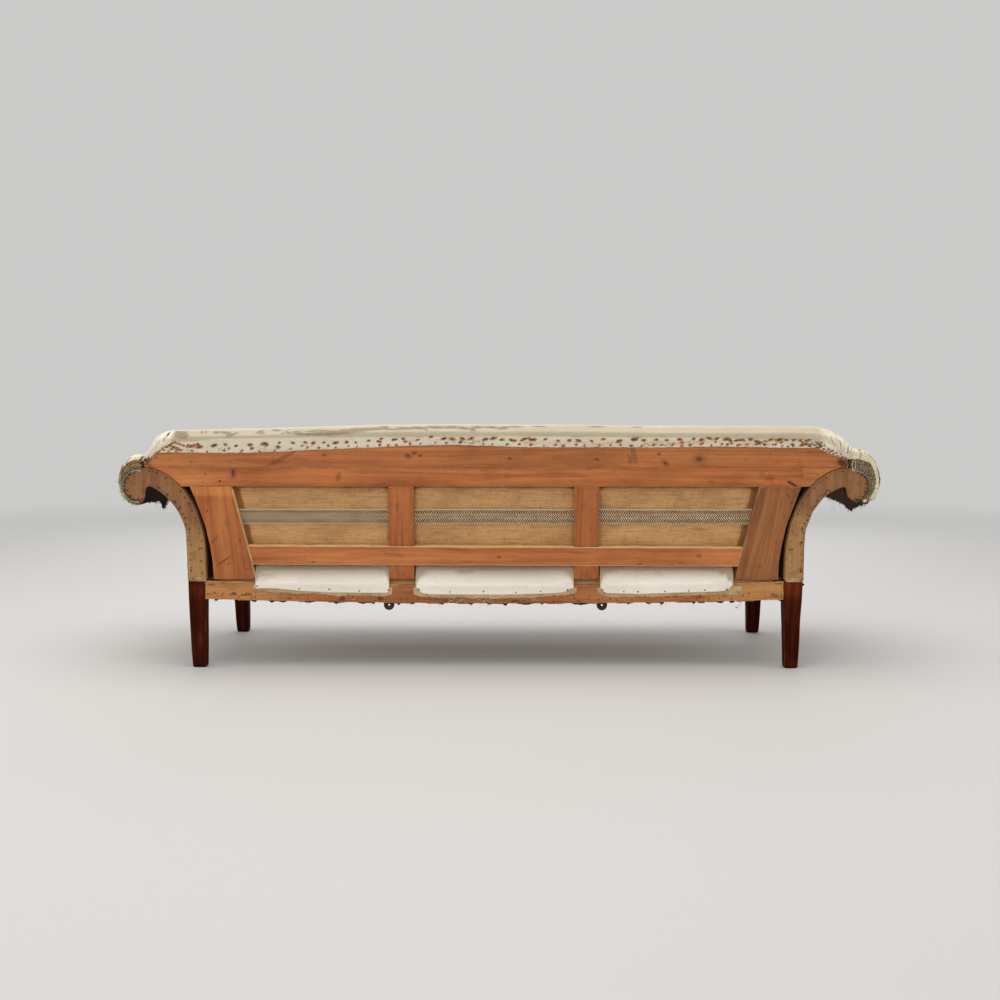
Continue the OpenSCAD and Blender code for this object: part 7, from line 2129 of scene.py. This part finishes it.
    # yl greyer towards the top is painted shade under the middle rail; the noise in it is the cloth's own tone
    o = cloth_grid(nm, P, CALICO_CLEAN, {"dk": dk, "yl": 0.15 + 0.3 * fbm(Xg * 0.004, Zg * 0.01, seed=531 + k) + 0.7 * sst(246, 286, Zg)}, node="seat_cover_tails", slot="calico", thick=1.2, st=np.stack([Xg, Sg, 0 * Xg], -1))
    sheet(o, ((xa - xb) / 1000, float(Sg[nx // 2, -1]) / 1000), "stretched", ["seat_rail_rear"])
    J = Join()
    rt = np.random.RandomState(540 + k)
    for tx, tz_ in TACKS[k]:
        i = int(np.abs(xs_ - tx).argmin())
        j = 34 + int(np.abs(Zg[i, 34:48] - tz_).argmin())
        tack_head(J, P[i, j] * 1000 + N[i, j] * 0.2, N[i, j], rt.uniform(3.0, 3.6), rt, 1.2)
    J.make("tail_tacks" if k == 0 else f"tail_tacks_{k + 1}", BLUED, node="tail_tacks", slot="blued_tacks")

    # the paler hessian beneath it, torn along its lower edge
    xa2, xb2 = xa + 7, xb - (8 if k < 2 else 26)
    xs3 = np.linspace(xa2, xb2, int((xa2 - xb2) / 2.4))
    low_ = tab(xs3, [(740, 236), (725, 233), (700, 228), (660, 223), (600, 220), (560, 222), (500, 215), (430, 213), (330, 214), (312, 216), (246, 219), (200, 210), (100, 208), (0, 207), (-100, 209), (-180, 214), (-246, 222), (-306, 222), (-340, 212), (-430, 210), (-520, 213), (-600, 216), (-680, 219), (-745, 222)])
    ragd = 1.0 + 3.2 * fbm(xs3 * 0.03, seed=551 + k) + 1.8 * fbm(xs3 * 0.09, seed=554 + k) + 1.6 * np.abs(fbm(xs3 * 0.35, seed=552 + k)) + 0.9 * fbm(xs3 * 1.1, seed=553 + k)
    low_ = low_ + ragd
    if k == 2:
        low_ = np.where(xs3 < -716, 219 + 0.2 * ragd, low_)
    topz = np.where((k == 2) & (xs3 < -716), 246.0, 248.0) - sag(xs3) * 0.6 * (np.abs(xs3) < 700)
    tt = np.linspace(0, 1, 15)
    Zg = topz[:, None] + (low_ - topz)[:, None] * tt[None]
    Xg = np.repeat(xs3[:, None], 15, 1)
    Yg = YR - 0.75 + 0.35 * np.clip(fbm(Xg * 0.05, Zg * 0.1, seed=560 + k), -0.5, 1) + 0.8 * tt[None] ** 3 * np.abs(fbm(Xg * 0.12, seed=561 + k))
    nm = "hessian_tails" if k == 0 else f"hessian_tails_{k + 1}"
    o = cloth_grid(nm, wd(np.stack([Xg, Yg, Zg], -1)), HESSIAN_PALE, {"dk": 0.3 * tt[None] + 0.4 * sst(0.1, 0.8, fbm(Xg * 0.03, Zg * 0.05, seed=565 + k)) + 0.3 * np.exp(-((np.mod(Xg + 11 * fbm(Xg * 0.01, seed=566), 47) - 20) / 3.0) ** 2 - ((Zg - low_[:, None] - 5) / 3.0) ** 2)}, node="hessian_tails", slot="hessian", thick=0.7, st=np.stack([Xg, Zg, 0 * Xg], -1), offset=0.0)
    sheet(o, ((xa2 - xb2) / 1000, float(np.mean(topz - low_)) / 1000), "laid", ["seat_rail_rear"])
    S = Strands()
    for _ in range(int(len(xs3) * 0.8)):
        i = rt.randint(2, len(xs3) - 2)
        p0 = A([xs3[i], YR + 0.4, low_[i] + 0.6])
        S.curl(p0, [rt.uniform(-1, 1), rt.uniform(0.0, 0.12), rt.uniform(-0.9, 0.05)], rt.uniform(2.5, 8), rt.uniform(0.25, 0.42), rt, curl=0.25, n=5, drop=0.05)
    S.make(f"hessian_threads_{k + 1}", STRAND_PALE, slot="hessian")

# black cloth torn off along the underside of the rear rail, with threads left by its tacks
rt = np.random.RandomState(600)
J, S = Join(), Strands()
px_x = [(725, 18), (672, 8), (640, 12), (560, 14), (478, 12), (398, 14), (367, 8), (160, 10), (73, 12), (18, 12), (-30, 10), (-93, 24), (-140, 10), (-255, 26), (-330, 8), (-460, 9), (-500, 16), (-596, 8), (-618, 14), (-674, 22), (-710, 14), (290, 10), (-400, 10), (250, 12), (840, 12), (-860, 12)]
for x, w_ in px_x:
    z0 = 205 - float(sag(x))
    nn, mm = 11, 8
    wv = w_ * rt.uniform(0.4, 1.0)
    dz = rt.uniform(2, 6.5)
    g = []
    for i in range(nn):
        v = (i / (nn - 1) - 0.5) * 2
        hang = dz * (1 - abs(v) ** 2.2) * (0.6 + 0.4 * rt.rand()) + 0.5
        row = []
        for j in range(mm):
            t = j / (mm - 1)
            if t < 0.5:
                y, z = YR - 20 + 17 * t * 2, z0 - 0.9 - 0.5 * math.sin(i + 3 * t)
            else:
                q_ = (t - 0.5) * 2
                y, z = YR - 3 + 1.8 * math.sin(q_ * 2 + i) * 0.5, z0 - 1.0 - hang * q_
            row.append((x + v * wv + 2.2 * fbm(i * 0.9, j * 0.7, x, seed=601), y, z))
        g.append(row)
    g = A(g)
    J.add(g.reshape(-1, 3) / 1000, grid_faces(nn, mm), st=g.reshape(-1, 3), dk=np.zeros(nn * mm))
    for _ in range(4):
        S.curl([x + rt.uniform(-wv, wv), YR - 2.5, z0 - dz * 0.4], [rt.uniform(-1, 1), 0.05, -0.7], rt.uniform(5, 13), 0.35, rt, curl=0.4, n=6, drop=0.05)
sc_ = J.make("bottom_cloth_scraps", BLACK_CLOTH, node="bottom_cloth_scraps", slot="black_cloth", solid=0.9)
sc_["sheet"] = 1
for x in np.cumsum(rt.uniform(6, 30, 100)) - 850:
    if abs(x) < 850:
        S.curl([x, YR - rt.uniform(1.5, 8), 204.6 - float(sag(x))], [rt.uniform(-1, 1), rt.uniform(-0.1, 0.2), -0.5], rt.uniform(3, 9), 0.3, rt, curl=0.45, n=6, drop=0.02)
# one long curl of thread
tq = np.linspace(0, 1, 40)
z0 = 205 - float(sag(-738))
pts = np.stack([-728 - 9 * np.sin(tq * 7) * (1 - 0.3 * tq), YR - 3 + 2 * np.sin(tq * 5), z0 - 3 - 24 * tq + 4 * np.sin(tq * 9)], 1)
v, f = tube(pts, 0.5, 5)
S.add(v / 1000, f, rnd=0.1)
for x, ln in ((-500, 20), (-496, 12), (662 * 0 - 512, 15)):
    S.curl([x, YR - 3, 205 - float(sag(x)) - 2], [0.1, 0, -1], ln, 0.4, rt, curl=0.14, n=9, drop=0.0)
S.make("bottom_threads", STRAND_BLACK, slot="black_cloth")
S = Strands()
for x, ln, dz in ((98, 22, -0.1), (54, 26, 0.05), (30, 24, -0.05), (20, 12, -0.3), (130, 12, -0.5), (-120, 8, -0.6), (420, 9, -0.7)):
    for q_ in range(3):
        S.curl([x + rt.uniform(-4, 4), YR + 0.4, 216.0 - float(sag(x)) + rt.uniform(-3, 3)], [rt.choice([-1, 1]), 0.16, dz - 0.25], ln * 1.25, 0.8, rt, curl=0.2, n=10, drop=0.02)
S.make("pale_threads", STRAND_PALE, slot="hessian")

# what is left of a hessian facing at the foot of the rear arm boards
for s, side in ((1, "right"), (-1, "left")):
    rt = np.random.RandomState(620 + s)
    aa = np.linspace(1.5, 49, 60)
    t = np.linspace(0, 1, 9)
    hi_ = 9 + 4 * fbm(aa * 0.1, seed=621 + s) + (4 if s < 0 else 0) * sst(30, 5, aa)
    lo_ = -2.2 - 1.4 * np.abs(fbm(aa * 0.3, seed=623 + s)) - 0.8 * fbm(aa * 0.9, seed=624)
    u = hi_[:, None] + (lo_ - hi_)[:, None] * t[None]
    a2 = np.repeat(aa[:, None], 9, 1)
    y = 0.5 + 0.25 * fbm(a2 * 0.1, u * 0.2, seed=625) + 0.5 * t[None] ** 2
    o = cloth_grid(f"arm_foot_hessian_{side}", rk(np.stack([s * (XA + a2), y, u], -1)), HESSIAN_PALE, {"dk": 0.5 + 0.5 * fbm(a2 * 0.08, u * 0.1, seed=626 + s)}, thick=0.7, st=np.stack([a2, u, 0 * u], -1))
    sheet(o, (0.0475, float(np.mean(hi_ - lo_)) / 1000), "laid", [f"arm_board_rear_{side}"])

# a loop of white thread hangs between the back's corner and the scroll on the left
S = Strands()
tq = np.linspace(0, 1, 30)
for dx in (0, 5.5):
    pts = rk(np.stack([-1056 - dx - 2.2 * np.sin(tq * math.pi) * (1 if dx else -1), 3.5 + 0 * tq, 374 - 32 * tq], 1)) * 1000
    v, f = tube(pts, 0.75, 5)
    S.add(v / 1000, f, rnd=0.0)
pts = rk(np.stack([-1053 - 12 * tq, 3.0 + 1.2 * np.sin(tq * 5), 344 + 3 * np.sin(tq * 8)], 1)) * 1000
v, f = tube(pts, 0.8, 5)
S.add(v / 1000, f, rnd=0.0)
S.make("thread_loop_left", STRAND_PALE, slot="calico")

sheet(back_cover, (2.11, area_of(back_cover) / 2.11), "stretched", ["back_stuffing", "back_top_board"])
sheet(bh, (float(1.52 + 0.17), 0.378), "stretched", ["back_top_rail", "back_mid_rail"])
sheet(bw, (0.048, 1.557), "stretched", ["back_stile_left", "back_stile_right"])
for side in ("right", "left"):
    o = ARMS[side]
    sheet(o, (0.71, area_of(o) / 0.71), "stretched", [f"arm_stuffing_{side}", f"arm_board_front_{side}"])



# ---- stage
def area_light(name, loc, target, size, size_y, power, col=(1, 1, 1)):
    l = bpy.data.lights.new(name, "AREA")
    l.shape, l.size, l.size_y, l.energy, l.color = "RECTANGLE", size, size_y, power, col
    o = bpy.data.objects.new(name, l)
    bpy.context.scene.collection.objects.link(o)
    o.location = loc
    o.rotation_euler = (Vector(target) - Vector(loc)).to_track_quat("-Z", "Y").to_euler()
    return o


area_light("overhead", (0.3, 0.6, 3.6), (0, 0, 0.3), 4.5, 3.0, 74, (1.0, 0.985, 0.95))
area_light("from_the_back", (1.2, 5.2, 2.6), (0, 0, 0.4), 3.5, 2.5, 58, (1.0, 0.97, 0.92))
area_light("side_right", (4.6, 1.0, 1.8), (0, 0, 0.4), 2.5, 2.2, 28, (0.98, 0.99, 1.0))
area_light("side_left", (-4.6, 1.2, 1.8), (0, 0, 0.4), 2.5, 2.2, 28, (0.98, 0.99, 1.0))
area_light("from_the_seat", (0, -4.6, 2.4), (0, 0, 0.3), 4.5, 2.5, 60, (1.0, 0.985, 0.96))

w = bpy.data.worlds.new("studio")
bpy.context.scene.world = w
w.use_nodes = True
w.node_tree.nodes["Background"].inputs[0].default_value = (0.9, 0.9, 0.89, 1)
w.node_tree.nodes["Background"].inputs[1].default_value = 0.66

fm = Mat("pale_floor")
fm.set(Base_Color=(0.62, 0.61, 0.6), Roughness=0.75)
fg = fm.t.nodes.new("ShaderNodeNewGeometry")
ft = fm.t.nodes.new("ShaderNodeBsdfTransparent")
fx = fm.t.nodes.new("ShaderNodeMixShader")
fd = fm.t.nodes.new("ShaderNodeTexCoord")
far = fm.mr(fm.vmath("LENGTH", fd.outputs["Object"]), 2.6, 8.5)
fm.t.links.new(fm.math("MAXIMUM", fg.outputs["Backfacing"], far), fx.inputs[0])
fm.t.links.new(fm.b.outputs[0], fx.inputs[1])
fm.t.links.new(ft.outputs[0], fx.inputs[2])
fm.t.links.new(fx.outputs[0], fm.out.inputs[0])
me = bpy.data.meshes.new("floor")
me.from_pydata([(-30, -30, -0.0004), (30, -30, -0.0004), (30, 30, -0.0004), (-30, 30, -0.0004)], [], [(0, 1, 2, 3)])
me.materials.append(fm.m)
floor = bpy.data.objects.new("floor", me)
bpy.context.scene.collection.objects.link(floor)
floor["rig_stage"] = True

cam = bpy.data.cameras.new("camera")
cam.sensor_width, cam.lens, cam.shift_y = 36, 50.4, -0.09
cam.clip_start, cam.clip_end = 0.05, 100
cam.dof.use_dof = False
co = bpy.data.objects.new("camera", cam)
co.location = (-0.0583, 4.5271, 0.774)
co.rotation_euler = (math.radians(90), 0, math.radians(180.6))
bpy.context.scene.collection.objects.link(co)
bpy.context.scene.camera = co
bpy.context.scene.view_settings.view_transform = "Standard"

fix_normals()
lo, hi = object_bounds()
